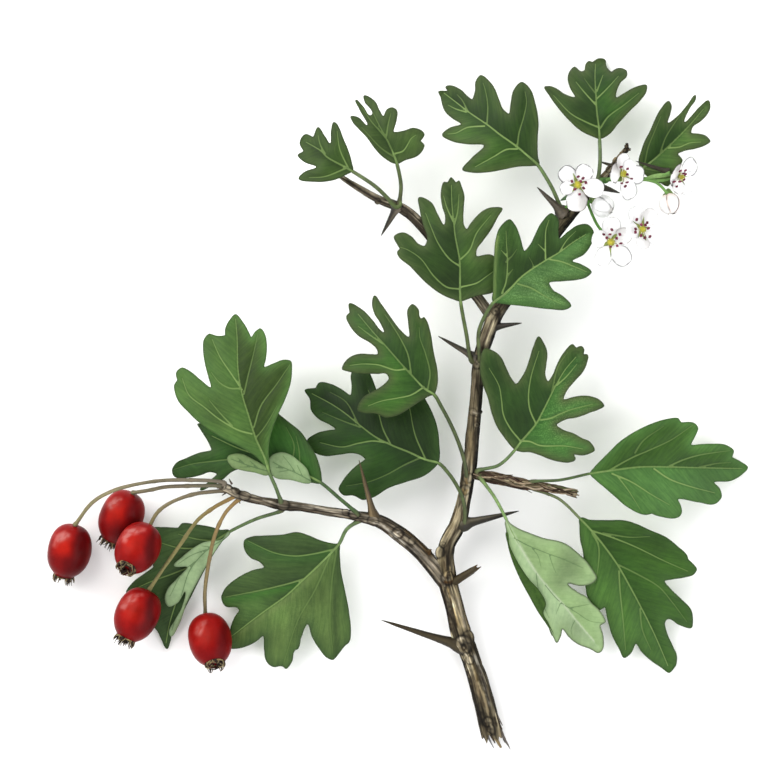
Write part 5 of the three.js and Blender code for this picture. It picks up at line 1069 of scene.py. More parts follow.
def limb_piece(name, pts, spec):
    seed = list(WOOD).index(name) + 3
    c = catmull(np.array(pts, float), step=0.85)
    path = plan(c[:, 0], c[:, 1], c[:, 2])
    rad = c[:, 3] * UNIT / 1000
    s = np.concatenate([[0], np.cumsum(np.linalg.norm(np.diff(path, axis=0), axis=1))])
    depth = spec["depth"]
    sides = 64 if name == "stem" else 40
    mid_xy = c[:, :2]

    def wobble(T, S, P, R):
        thin = np.clip(R * 1000 / 1.6, 0.35, 1)
        g = np.stack([np.cos(T) * R * 1000, np.sin(T) * R * 1000, S * 1000 / 8.0], -1)
        crack = np.clip(np.abs(fbm(g, 1.3, seed, 3) - 0.5) * 2 / 0.26, 0, 1)
        lump = fbm(np.stack([np.cos(T) * 2, np.sin(T) * 2, S * 1000 / 5.0], -1), 1.6, seed + 3, 2) - 0.5
        ridge = fbm(np.stack([np.cos(T) * R * 1000 * 2.4, np.sin(T) * R * 1000 * 2.4, S * 1000 / 5.0], -1), 1.1, seed + 8, 2) - 0.5
        out = (-depth * (1 - crack) * 0.8 + lump * 0.42 * (R * 1000 / 2.4) + ridge * depth * 1.3) * thin
        xy = unplan(P)
        top = smoothstep(np.sin(T), -0.45, 0.25)
        for x, y, r, high, pale, eye in KNOTS:
            d = np.hypot(xy[..., 0] - x, xy[..., 1] - y) / r
            ok = d < 2.4
            if not ok.any():
                continue
            dd = d[ok]
            bump_ = high * np.exp(-dd ** 2 * 1.2) - eye * 0.75 * high * np.exp(-(dd / 0.28) ** 2) + 0.22 * high * np.exp(-((dd - 0.75) / 0.22) ** 2) - 0.12 * np.exp(-((dd - 1.35) / 0.25) ** 2)
            out[ok] = out[ok] + bump_ * top[ok]
        return out / 1000

    V, F, T, S, dirs = tube(path, rad, sides, wobble=wobble)
    nz = np.append(dirs[..., 2].ravel(), [0, 0])
    nx = np.append(dirs[..., 0].ravel(), [0, 0])
    R = np.interp(S, s, rad)
    xy = unplan(V)
    g = np.stack([np.cos(T) * R * 1000, np.sin(T) * R * 1000, S * 1000 / 8.0], -1)
    crack = np.clip(np.abs(fbm(g, 1.3, seed, 3) - 0.5) * 2 / 0.26, 0, 1)
    patch = fbm(np.stack([np.cos(T) * 1.5, np.sin(T) * 1.5, S * 1000 / 6.0], -1), 1.5, seed + 20, 3)
    streak = fbm(np.stack([np.cos(T) * R * 1000 * 3.4, np.sin(T) * R * 1000 * 3.4, S * 1000 / 7.0], -1), 1.3, seed + 30, 3)
    at = xy[:, spec["by"]]
    dark, middle, light = (np.tile(hexes(h), (len(at), 1)) for h in spec["bark"])
    w = smoothstep(patch, 0.42, 0.62)[:, None]
    col = middle * (1 - w) + light * w
    st = smoothstep(streak, 0.40, 0.60)[:, None]
    calm = (1 - 0.5 * smoothstep(-at, -575, -545) if name == "stem" else np.full(len(at), 0.85))[:, None]
    col = col * (0.96 + calm * (0.42 * st - 0.22))
    w = (1 - crack)[:, None] * 0.8
    col = col * (1 - w) + dark * w
    up = smoothstep(nz, -0.5, 0.1)
    for x, y, r, high, pale, eye in KNOTS:
        d = np.hypot(xy[:, 0] - x, xy[:, 1] - y) / r
        ok = d < 2.2
        k = (np.exp(-d[ok] ** 2 * 1.5) * pale * up[ok])[:, None]
        e = (np.exp(-(d[ok] / 0.34) ** 2) * eye * up[ok])[:, None]
        ring = (0.5 * min(1.0, high * 2) * np.exp(-((d[ok] - 1.25) / 0.22) ** 2) * up[ok])[:, None]
        cc = col[ok] * (1 - k) + hexes("ab9f8c") * k
        cc = cc * (1 - ring) * (1 - 0.8 * e)
        col[ok] = cc
    col = paint(col, xy, up)
    # fine long threads, light and dark, and a stronger play of light and dark overall
    thread = fbm(np.stack([np.cos(T) * R * 1000 * 6.5, np.sin(T) * R * 1000 * 6.5, S * 1000 / 9.0], -1), 1.2, seed + 41, 2)
    col = col * (1 + calm * (0.40 * smoothstep(thread, 0.36, 0.62)[:, None] - 0.20))
    lum = col.mean(1, keepdims=True)
    col = col * (np.clip(lum, 0.05, 1) / 0.38) ** (0.30 * calm) * np.array([1.0, 1.012, 0.995])
    # painted shade: darker on the right side and towards the edges that turn from the top; the underside is in its
    # plain bark colour, not in this painted shade
    low = smoothstep(-nz, 0.0, 0.3)
    if name == "stem":
        col = col * (1 - (1 - low) * (0.46 * smoothstep(nx, 0.22, 0.75) * smoothstep(-at, -565, -545) + 0.20 * np.clip(nx, 0, 1) ** 1.5))[:, None]
    else:
        col = col * (1 - (1 - low) * 0.22 * np.clip(nx, 0, 1) ** 1.5)[:, None]
    col = col * ((0.45 + 0.55 * np.clip(nz * 1.45 + 0.2, 0, 1)) * (1 - low) + 0.85 * low)[:, None]
    grain = np.stack([np.cos(T) * R * 1000, np.sin(T) * R * 1000, S * 1000], -1)
    if name == "stem":
        # torn, not sawn, at the foot
        tan = path[1] - path[0]
        tan /= np.linalg.norm(tan)
        for ring in range(8):
            idx = np.arange(ring * sides, (ring + 1) * sides)
            a = fbm(np.stack([np.cos(T[idx]) * 2.2, np.sin(T[idx]) * 2.2, np.zeros(sides)], -1), 0.8, 77, 2)
            V[idx] -= tan * ((a - 0.45) * 0.0052 * (1 - ring / 8.0))[:, None]
        V[len(path) * sides] += tan * 0.0012
        col[len(path) * sides] = hexes("2c241a")
    return V, F, GAIN * linear(col), grain


def join(parts):
    """Several (verts, faces, attrs, face materials) as one."""
    V, F, M, A = [], [], [], {}
    n = 0
    for v, f, a, m in parts:
        V.append(v)
        F += [tuple(i + n for i in t) for t in f]
        M += list(m) if hasattr(m, "__len__") else [m] * len(f)
        for k in a:
            A.setdefault(k, []).append(a[k])
        n += len(v)
    return np.vstack(V), F, {k: np.concatenate(x) for k, x in A.items()}, M


# Torn ends: plan x, y, height at both ends, radii mm, colour.
SPLINTERS = {
  "stem": [
    [484, 729, 2.6, 493.8, 748, 1.6, 0.42, 0.10, "8a8b8e"], [490, 728, 3.4, 501, 747.5, 1.8, 0.75, 0.28, "8b7a58"], [497, 722, 3.6, 505.5, 742, 2.2, 0.55, 0.30, "6e6863"], [504, 739, 2.3, 510.3, 749.5, 1.4, 0.30, 0.07, "75706c"],
    [493, 712, 4.6, 502, 729.5, 3.2, 0.6, 0.2, "40362a"], [495, 711, 4.0, 502.5, 725.5, 2.8, 0.34, 0.10, "85817c"], [487, 728, 3.0, 495, 743, 1.6, 0.5, 0.14, "5b4d38"], [492, 730, 2.2, 498, 744.5, 1.4, 0.5, 0.12, "3c3226"],
    [482, 727, 2.2, 487.5, 737.5, 1.2, 0.5, 0.14, "211b15"], [489, 727, 4.2, 493, 736.5, 3.4, 0.45, 0.2, "a0947c"], [494.5, 727, 3.8, 497.5, 737, 3.0, 0.42, 0.16, "c2b9a8"], [496, 724, 2.4, 503.5, 737, 1.6, 0.5, 0.14, "4f4537"],
    [621, 156, 9.4, 630.8, 148.6, 9.8, 0.34, 0.14, "4b3f33"], [626, 149, 9.4, 626.6, 143.0, 9.9, 0.42, 0.30, "3c3229"], [626, 148, 9.5, 630.5, 150.6, 9.9, 0.30, 0.12, "5c4e3e"],
  ],
  "spur_right": [
    [570, 492, 9.4, 579, 495.5, 9.0, 0.42, 0.14, "8f806a"], [569, 491, 9.8, 578.5, 491.8, 9.9, 0.38, 0.16, "6f8455"], [567, 494, 9.2, 577, 498, 8.8, 0.30, 0.10, "4a3d30"],
    [520, 487, 9.2, 532, 493, 8.8, 0.16, 0.06, "6d6252"], [535, 489, 9.2, 549, 496, 8.8, 0.16, 0.06, "6d6252"], [500, 475, 9.8, 513, 475, 9.9, 0.18, 0.08, "5a4c3b"],
  ],
  "branch_left": [
    [226, 484, 12.2, 219, 480.5, 12.4, 0.34, 0.12, "8b8378"], [227, 488, 12.2, 217, 488, 12.0, 0.36, 0.14, "6f665b"], [229, 491, 12.0, 222, 495.5, 11.6, 0.30, 0.10, "5b5148"], [236, 494, 12.0, 240, 503.5, 11.4, 0.30, 0.10, "3d342c"],
    [232, 484, 12.8, 229, 478.6, 13.2, 0.28, 0.08, "574d44"], [427, 556, 7.6, 431, 549.5, 9.4, 0.5, 0.2, "4f3b24"],
  ],
}
for name, spec in WOOD.items():
    pts = spec.get("before", []) + sum((LIMBS[n] if k == 0 else LIMBS[n][1:] for k, n in enumerate(spec["nodes"])), [])
    if name == "stem":
        pts = [[491.5, 734, 3.0, 10.6]] + pts[1:]
    V, F, col, grain = limb_piece(name, pts, spec)
    parts = [(V, F, {"Tone": col, "vGrain": grain}, 0)]
    for k, (x0, y0, z0, x1, y1, z1, r0, r1, c) in enumerate(SPLINTERS.get(name, [])):
        a, b = plan(x0, y0, z0), plan(x1, y1, z1)
        mid = (a + b) / 2 + np.array([(noise3(np.array([[k * 3.1, 0, 0]]), 1.0, 5)[0] - 0.5) * 0.0006, 0, 0.0002])
        path = catmull([a, mid, b], step=0.00018)
        u = np.linspace(0, 1, len(path))
        rr = (r0 * (1 - u) + r1 * u) / 1000
        v, f, T, S, _ = tube(path, rr, 12, wobble=lambda T, S, P, R: (fbm(np.stack([np.cos(T) * 1.5, np.sin(T) * 1.5, S * 1000 / 3], -1), 0.8, k, 2) - 0.5) * R * 0.9)
        st = 0.75 + 0.5 * fbm(np.stack([np.cos(T) * 3, np.sin(T) * 3, S * 1000 / 4], -1), 0.8, k + 9, 2)[:, None]
        parts.append((v, f, {"Tone": GAIN * linear(hexes(c) * st), "vGrain": np.stack([np.cos(T), np.sin(T), S * 1000], -1)}, 0))
    if name == "spur_right":
        # rough all over with the raised, twisted threads of old bark
        base = catmull(np.array(pts, float), step=1.2)
        ax = plan(base[:, 0], base[:, 1], base[:, 2])
        rd = base[:, 3] * UNIT / 1000
        rng = np.random.default_rng(31)
        tan = np.gradient(ax, axis=0)
        tan /= np.linalg.norm(tan, axis=1)[:, None]
        sv = np.cross(tan, [0, 0, 1.0])
        sv /= np.linalg.norm(sv, axis=1)[:, None]
        uv_ = np.cross(sv, tan)
        shades = ["4a3a30", "8d7c66", "35291f", "a6957b", "5d4436", "6d5f4c", "3c2f26", "b8a88f", "58503a", "7b6a57", "473a2b", "937f68"]
        for k in range(26):
            i0 = int(rng.uniform(3, len(ax) * 0.72)) if k % 3 else 3
            i1 = min(len(ax) - 1, i0 + int(rng.uniform(0.28, 0.75) * len(ax)))
            a0, turn_ = rng.uniform(0.0, np.pi), rng.uniform(-1.6, 1.6)
            idx = np.arange(i0, i1 + 1)
            u = np.linspace(0, 1, len(idx))
            ang = a0 + turn_ * u + 0.35 * np.sin(u * rng.uniform(8, 16) + k)
            r_ = rd[idx] * (0.97 + 0.10 * np.sin(u * rng.uniform(6, 14) + 2 * k)) + 0.00008
            P = ax[idx] + sv[idx] * (np.cos(ang) * r_)[:, None] + uv_[idx] * (np.sin(ang) * r_)[:, None]
            th_ = rng.uniform(0.13, 0.26) / 1000
            v, f, T, S, _ = tube(P, th_ * (0.35 + 0.65 * np.sin(np.pi * np.clip(u, 0.03, 0.97)) ** 0.5), 7)
            parts.append((v, f, {"Tone": GAIN * linear(hexes(shades[k % 12]) * (0.8 + 0.4 * noise3(v * 1000, 0.7, k)[:, None])), "vGrain": np.stack([np.cos(T), np.sin(T), S * 1000], -1)}, 0))
    V, F, A, MM = join(parts)
    ob = build(name + "_look", V, F, [M_BARK], A, MM)
    settle(ob, "bark", *spec["nodes"])


# Thorns: the colour at the foot, at the tip, and of the painted highlight, a light stripe along the top.
THORN_TONES = {
  "thorn_a": ["443e33", "211a13", "675f54"], "thorn_b": ["544c3e", "312a21", "81776e"], "thorn_c": ["3f382e", "231c16", "6a6054"], "thorn_d": ["3d392c", "302c22", "585442"],
  "thorn_e": ["3c372c", "2e261c", "6f675a"], "thorn_f": ["201d17", "1f1a13", "433e36"], "thorn_g": ["52432b", "463921", "837255"], "thorn_h": ["312c1f", "120e09", "706a58"],
  "thorn_i": ["372b11", "392e14", "4b4129"], "thorn_j": ["2e2512", "2e2512", "50462f"], "thorn_k": ["3a3426", "1f1b13", "4f4c38"],
}
# painted light and shade across a thorn: one flank lighter, the other darker, and how strongly
THORN_FLANK_SHADE = {"thorn_a": 0.7}
for name, (bx, by, bz, tx, ty, tz, r) in THORNS.items():
    seed = ord(name[-1])
    blunt = name == "thorn_i"
    a, b = plan(bx, by, bz), plan(tx, ty, tz)
    L = np.linalg.norm(b - a)
    bend = (a + b) / 2 + np.array([0, 0, 0.03 * L])
    ctrl = rooted(np.array([a, a * 0.75 + bend * 0.25, bend, bend * 0.4 + b * 0.6, b]), deep=0.5)
    path = catmull(ctrl, step=0.0002)
    along = np.linalg.norm(path - a, axis=1) / L * np.sign((path - a) @ (b - a))
    u = np.clip(along, 0, 1)
    if blunt:
        prof = np.interp(u, [0, 0.15, 0.4, 0.8, 0.93, 1.0], [1.15, 0.86, 0.76, 0.64, 0.5, 0.12])
    else:
        prof = np.interp(u, [0, 0.06, 0.14, 0.24, 0.38, 0.6, 0.85, 0.97, 1.0], [1.28, 1.12, 0.82, 0.64, 0.54, 0.40, 0.22, 0.09, 0.03])
    rad = prof * r * UNIT / 1000

    def wob(T, S, P, R):
        g = np.stack([np.cos(T) * R * 2200, np.sin(T) * R * 2200, S * 1000 / 5.0], -1)
        return (fbm(g, 1.2, seed, 2) - 0.5) * (0.22 if not blunt else 0.34) * R

    V, F, T, S, dirs = tube(path, rad, 20, wobble=wob)
    nz = np.append(dirs[..., 2].ravel(), [0, 0])[:, None]
    k = np.append(np.repeat(u, 20), [0, 1])[:, None]
    foot, tip, stripe_highlight = (hexes(h) for h in THORN_TONES[name])
    col = foot * (1 - k ** 0.8) + tip * k ** 0.8
    lane = T + 0.5 * (fbm(np.stack([S * 400, S * 0, S * 0], -1), 1.0, seed, 2) - 0.5)
    # painted highlight: a light stripe along the top of the thorn
    g = (0.85 * np.exp(-((lane - np.pi / 2 - 0.35) / 0.5) ** 2))[:, None] * (1 - 0.65 * k)
    col = col * (1 - g) + stripe_highlight * g
    # painted light and shade: one flank lit, the other shaded
    side = np.append(((b - a)[0] * dirs[..., 1] - (b - a)[1] * dirs[..., 0]).ravel() / L, [0, 0])[:, None]
    col = col * (1 + THORN_FLANK_SHADE.get(name, 0) * smoothstep(side, -0.35, 0.45) - THORN_FLANK_SHADE.get(name, 0) * 0.5)
    st = fbm(np.stack([np.cos(T) * 3.2, np.sin(T) * 3.2, S * 1000 / 6.0], -1), 1.0, seed, 3)[:, None]
    # random streaks, and painted shade: the thorn is darker on its sides and underside
    col = col * (0.72 + 0.55 * st) * (0.42 + 0.58 * np.clip(nz * 1.5 + 0.15, 0, 1))
    parts = [(V, F, {"Tone": GAIN * linear(col)}, 0)]
    if blunt:
        ax = (b - a) / L
        sidev = np.cross(ax, [0, 0, 1.0])
        for sgn, reach in ((1, 0.0011), (-1, 0.0005)):
            q0 = b - ax * 0.0009 + sidev * sgn * 0.00036
            q1 = b + ax * reach + sidev * sgn * (0.00042 if sgn > 0 else 0.0006)
            pp = catmull([q0, (q0 + q1) / 2, q1], step=0.00015)
            v, f, T, S, _ = tube(pp, np.linspace(0.44, 0.08, len(pp)) / 1000, 10)
            parts.append((v, f, {"Tone": GAIN * linear(np.ones((len(v), 3)) * hexes("44300f") * (0.8 + 0.4 * noise3(v * 1000, 0.6, 3)[:, None]))}, 0))
    V, F, A, MM = join(parts)
    ob = build(name + "_look", V, F, [M_THORN], A, MM)
    settle(ob, "thorn", name)

# ---------------------------------------------------------------------------------------
# Haws
# ---------------------------------------------------------------------------------------
PROFILE = [[0, -0.955], [0.2, -0.965], [0.34, -1.0], [0.42, -1.035], [0.46, -1.01], [0.54, -0.945], [0.70, -0.81], [0.86, -0.60], [0.96, -0.34], [1.0, -0.04], [0.985, 0.22], [0.915, 0.48], [0.78, 0.71], [0.58, 0.88], [0.34, 0.965], [0.14, 0.985], [0, 0.975]]
SOLID = [[0, -1.0], [0.3, -1.02], [0.4, -1.1], [0.47, -1.0], [0.72, -0.82], [0.95, -0.45], [1.0, 0.0], [0.93, 0.42], [0.72, 0.76], [0.36, 0.97], [0, 1.0]]
haw_end = {}
# Where each haw's painted shade begins on the right, and its painted highlights: x, y from its middle, half sizes,
# lean, strength.
HAW_DARK = {"haw_1": 2.0, "haw_2": 3.5, "haw_3": 7.0, "haw_4": 5.5, "haw_5": 6.5}
# Where the painted shade on its lower part begins and how dark it is, and how dark the painted shade along its left
# edge is.
HAW_LOW = {"haw_1": (0, 12, "60151a", 0.6), "haw_2": (1, 15, "6a171b", 0.9), "haw_3": (5, 19, "841a1d", 0.45), "haw_4": (4, 19, "801a1e", 0.3), "haw_5": (3, 19, "841a1f", 0.1)}
# HAW_RIGHT: the colour of the painted shade on the right where it differs from the usual one; HAW_MID: how much darker
# each haw's middle is laid on
HAW_RIGHT = {"haw_2": "7c181c", "haw_5": "74161a"}
HAW_MID = {"haw_4": 0.19, "haw_5": 0.13, "haw_3": 0.07}
HAW_LIGHT = {
  "haw_1": [[-7.5, -13.5, 6.5, 4.5, -0.4, 0.62], [-1, -15, 3, 2.2, 0.2, 0.4], [-13.5, -7, 3, 4.5, 0.4, 0.4]],
  "haw_2": [[-9, -12, 6.5, 4.2, -0.75, 0.66], [-3, -17, 4, 2.4, -0.3, 0.45]],
  "haw_3": [[-5, -16, 8.0, 3.6, -0.25, 0.62], [-12.5, -9.5, 3.2, 4.6, 0.5, 0.55], [5, -18, 3.5, 2.2, 0.1, 0.4]],
  "haw_4": [[-8, -14, 7.0, 4.0, -0.6, 0.66], [-14, -8, 3.2, 4.4, 0.3, 0.5], [2, -19, 4, 2, -0.1, 0.4]],
  "haw_5": [[-10.5, -10, 3.8, 6.0, 0.35, 0.62], [-6, -16.5, 3.6, 2.4, -0.4, 0.35]],
}
for name, (sx, sy, cx, cy, low, drop) in HAWS.items():
    seed = int(name[-1])
    mid = plan((sx + cx) / 2, (sy + cy) / 2, low + HAW_R)
    a, b = plan(sx, sy, low + HAW_R + drop / 2), plan(cx, cy, low + HAW_R - drop / 2)
    axis = Vector(a - b).normalized()
    # as high as the CAD model's haw lies
    turn = Vector((0, 1, 0)).rotation_difference(axis)
    zs = [(turn @ Vector((r * HAW_R * math.sin(k * math.pi / 5), y * HAW_L, r * HAW_R * math.cos(k * math.pi / 5)))).z for r, y in SOLID for k in range(10)]
    base = np.array([mid[0], mid[1], (low - min(zs)) / 1000])
    M = np.array(Vector((0, 0, 1)).rotation_difference(axis).to_matrix())
    prof = catmull([[r, y, 0] for r, y in PROFILE], n=60)
    prof[0, 0] = prof[-1, 0] = 0
    th = np.linspace(0, 2 * np.pi, 80, endpoint=False)
    R, TH = np.meshgrid(prof[:, 0], th, indexing="ij")
    Y = np.repeat(prof[:, 1][:, None], 80, 1)
    d = np.stack([np.cos(TH) * R, np.sin(TH) * R, Y], -1)
    five = 1 + 0.018 * np.cos(5 * TH + seed) * np.clip(1 - np.abs(Y), 0, 1) - 0.012 + 0.03 * (fbm(d, 0.9, seed, 2) - 0.5)
    P = np.stack([np.cos(TH) * R * HAW_R * five, np.sin(TH) * R * HAW_R * five, Y * HAW_L], -1) / 1000
    V = P.reshape(-1, 3) @ M.T + base
    V[:, 2] += max(0, 0.00003 - V[:, 2].min())
    nr, nt = R.shape
    F = [(i * nt + j, i * nt + (j + 1) % nt, (i + 1) * nt + (j + 1) % nt, (i + 1) * nt + j) for i in range(nr - 1) for j in range(nt)]
    # painted shading: scarlet to the left, deep crimson on the right with a redder rim, and soft
    # pinkish lights high on the left
    xy = unplan(V)
    c0 = unplan(base[None])[0]
    dx, dy = xy[:, 0] - c0[0], xy[:, 1] - c0[1]
    wob_ = (fbm(V * 1000, 4.2, seed, 2) - 0.5)
    blot = fbm(V * 1000, 3.2, seed + 4, 3)
    fine_ = fbm(V * 1000, 0.9, seed + 12, 2)
    col = hexes("a31a1c") * np.ones((len(V), 3))
    g = (np.exp(-(((dx + 6) / 12.5) ** 2 + ((dy + 5) / 14) ** 2)) * (0.75 + 0.5 * blot))[:, None]
    g = np.clip(g, 0, 1)
    col = col * (1 - g) + hexes("d23020") * g
    y0_, y1_, h_, edge_ = HAW_LOW.get(name, (5, 19, "841a1d", 0.35))
    g = (0.8 * smoothstep(dy + 8 * wob_, y0_, y1_) * (1 - 0.6 * np.exp(-((dx + 13) / 7) ** 2)))[:, None]
    col = col * (1 - g) + hexes(h_) * g
    g = (0.95 * smoothstep(dx + 6 * wob_ + 0.10 * dy - 0.010 * dy ** 2 + 1.5, HAW_DARK[name] - 1.5, HAW_DARK[name] + 8.5))[:, None]
    col = col * (1 - g) + hexes(HAW_RIGHT.get(name, "661417")) * g
    g = (0.75 * smoothstep(dx + 4 * wob_, 14.5, 19.5))[:, None]
    col = col * (1 - g) + hexes("92181b") * g
    g = (edge_ * smoothstep(-dx + 5 * wob_, 13.5, 19))[:, None]
    col = col * (1 - g) + hexes("8c1a1c") * g
    col = col * (1 - HAW_MID.get(name, 0) * np.exp(-((dx + 1) / 8) ** 2 - (dy / 9) ** 2))[:, None]
    for hx_, hy_, wx_, wy_, lean_, k_ in HAW_LIGHT[name]:
        ca, sa = math.cos(lean_), math.sin(lean_)
        ex, ey = dx - hx_, dy - hy_
        g = np.exp(-(((ex * ca + ey * sa) / wx_) ** 4 + ((ey * ca - ex * sa) / wy_) ** 4) * 0.7)
        g = np.clip(1.12 * k_ * g * (0.55 + 0.65 * smoothstep(fine_, 0.34, 0.62)), 0, 0.9)[:, None]
        col = col * (1 - g) + hexes("eab0ac") * g
    col = col * (0.93 + 0.14 * blot[:, None])
    crown = smoothstep(-Y.ravel() * 1.0 - 0.03 * np.cos(TH.ravel() * 7), 0.965, 0.995)[:, None] * (R.ravel() < 0.44)[:, None]
    col = col * (1 - crown) + hexes("33150f") * crown
    parts = [(V, F, {"Tone": linear(col) * np.array([0.475, 0.33, 0.33])}, 0)]
    # the dry crown: curled sepals round the rim and bristles of old stamens within
    rng = np.random.default_rng(seed + 40)
    faces_us = drop < -5

    def strand(p0, p1, p2, r0, r1, c, n=9, sides=7):
        path = catmull([p0, p1, p2], n=n) / 1000 @ M.T + base
        path[:, 2] = np.maximum(path[:, 2], 0.0002)
        v, f, T, S, _ = tube(path, np.linspace(r0, r1, n) / 1000, sides)
        parts.append((v, f, {"Tone": GAIN * linear(np.ones((len(v), 3)) * hexes(c) * (0.8 + 0.4 * noise3(v * 1000, 0.5, 3)[:, None]))}, 1))

    rim, floor_ = HAW_R * 0.42, -HAW_L * 1.03
    for k in range(5):
        # a sepal, dried to a dark curl with a tan edge
        ang = k * 2 * np.pi / 5 + rng.uniform(-0.2, 0.2)
        ca, sa = math.cos(ang), math.sin(ang)
        side_ = np.array([-sa, ca, 0])
        out_ = np.array([ca, sa, 0])
        p0 = out_ * rim + np.array([0, 0, floor_])
        flare = rng.uniform(0.1, 0.7) if not faces_us else rng.uniform(-0.3, 0.5)
        p1 = p0 + out_ * flare * 0.9 + np.array([0, 0, -0.9])
        p2 = p1 + out_ * (flare - 0.5) * 0.9 + side_ * rng.uniform(-0.6, 0.6) + np.array([0, 0, -rng.uniform(0.1, 0.8)])
        for off, c, r0 in ((-0.55, "8f7e5c", 0.16), (0.0, "30231a", 0.42), (0.55, "786a4c", 0.16)):
            strand(p0 + side_ * off * 1.5, p1 + side_ * off, p2 + side_ * off * 0.3, r0, 0.06, c)
    n_b = 34
    for k in range(n_b):
        ang = rng.uniform(0, 2 * np.pi)
        r0 = rim * math.sqrt(rng.uniform(0.05, 1.0))
        p0 = np.array([math.cos(ang) * r0, math.sin(ang) * r0, floor_ + 0.25])
        if faces_us:
            # curls that lie in the hollow of the crown
            swing = rng.uniform(0.6, 1.9) * rng.choice([-1, 1])
            r1 = rim * rng.uniform(0.5, 1.12)
            p1 = np.array([math.cos(ang + swing * 0.5) * (r0 + r1) / 2 * 1.08, math.sin(ang + swing * 0.5) * (r0 + r1) / 2 * 1.08, floor_ - rng.uniform(0.3, 0.8)])
            p2 = np.array([math.cos(ang + swing) * r1, math.sin(ang + swing) * r1, floor_ - rng.uniform(0.1, 0.7)])
            c = ["2a1c14", "35241a", "8b7b5a", "2a1c14", "a3946f", "4a1512"][k % 6]
        else:
            long_ = rng.uniform(1.2, 2.5)
            lean = rng.uniform(0.0, 0.55)
            p1 = p0 + np.array([math.cos(ang) * lean * 0.6, math.sin(ang) * lean * 0.6, -long_ * 0.55])
            p2 = p1 + np.array([math.cos(ang + rng.uniform(-1, 1)) * lean * 0.8, math.sin(ang) * lean * 0.8, -long_ * 0.5])
            c = ["261c14", "33271a", "3d301f", "261c14", "5a4a30", "1f1711", "8b7850"][k % 7]
        strand(p0, p1, p2, rng.uniform(0.16, 0.30), 0.06, c)
    ring = []
    for k in range(49):
        ang = 2 * np.pi * k / 48
        rr = rim * (1.03 + 0.05 * math.sin(3 * ang + seed))
        ring.append([math.cos(ang) * rr, math.sin(ang) * rr, -HAW_L * (1.045 + 0.012 * math.sin(5 * ang))])
    path = np.array(ring) / 1000 @ M.T + base
    path[:, 2] = np.maximum(path[:, 2], 0.0003)
    v, f, T, S, _ = tube(path, np.full(49, 0.20 / 1000), 8)
    sp = fbm(v * 1000, 1.0, 3, 2)[:, None]
    parts.append((v, f, {"Tone": GAIN * linear(hexes("2e2118") * (1 - smoothstep(sp, 0.45, 0.6)) + hexes("a08a5e") * smoothstep(sp, 0.45, 0.6))}, 1))
    V, F, A, MM = join(parts)
    ob = build(name + "_look", V, F, [M_HAW, M_CROWN], A, MM)
    settle(ob, "haw", name)
    haw_end[name] = base + np.array(axis) * (HAW_L + 0.1) / 1000

STALK_TONES = {"1": ["71685c", "797159", "908a65"], "2": ["75725e", "746a57", "878063"], "3": ["6e6453", "7f745b", "8a8059"], "4": ["8f6f41", "7c7549", "918b5c"], "5": ["967a4d", "89764e", "7f765a"]}
for name, pts in HAW_STALKS.items():
    key = name[-1]
    seed = int(key) + 60
    end = haw_end["haw_" + key]
    away = end - haw_end["haw_" + key] * 0
    ctrl = rooted(np.array([plan(*p) for p in pts[:-1]] + [end]), deep=0.6, reach=0.003)
    path = catmull(ctrl, step=0.0003)
    u = np.linspace(0, 1, len(path))
    long_ = np.linalg.norm(np.diff(path, axis=0), axis=1).sum() * 1000
    rad = (0.47 + 0.36 * np.exp(-(u * long_ / 1.2) ** 2) + 0.18 * np.exp(-((1 - u) * long_ / 0.8) ** 2) + 0.10 * np.exp(-((u * long_ - 9) / 0.7) ** 2) + 0.06 * np.exp(-((u * long_ - 18) / 0.5) ** 2)) / 1000

    def wob(T, S, P, R):
        return (fbm(np.stack([np.cos(T), np.sin(T), S * 1000 / 3.0], -1), 1.0, seed, 2) - 0.5) * 0.12 / 1000

    V, F, T, S, dirs = tube(path, rad, 16, wobble=wob)
    nz = np.append(dirs[..., 2].ravel(), [0, 0])[:, None]
    k = (S / S.max())[:, None]
    a, m_, b = (hexes(h) for h in STALK_TONES[key])
    col = np.where(k < 0.45, a + (m_ - a) * k / 0.45, m_ + (b - m_) * (k - 0.45) / 0.55)
    st = fbm(np.stack([np.cos(T) * 2.0, np.sin(T) * 2.0, S * 1000 / 9.0], -1), 1.0, seed, 3)[:, None]
    # random streaks, and painted shade: the stalk is darker on its sides and underside
    col = col * (0.78 + 0.44 * st) * (0.62 + 0.4 * smoothstep(nz, -0.3, 0.75))
    ob = build(name + "_look", V, F, [M_HSTALK], {"Tone": GAIN * linear(col)})
    settle(ob, "haw_stalk", name)
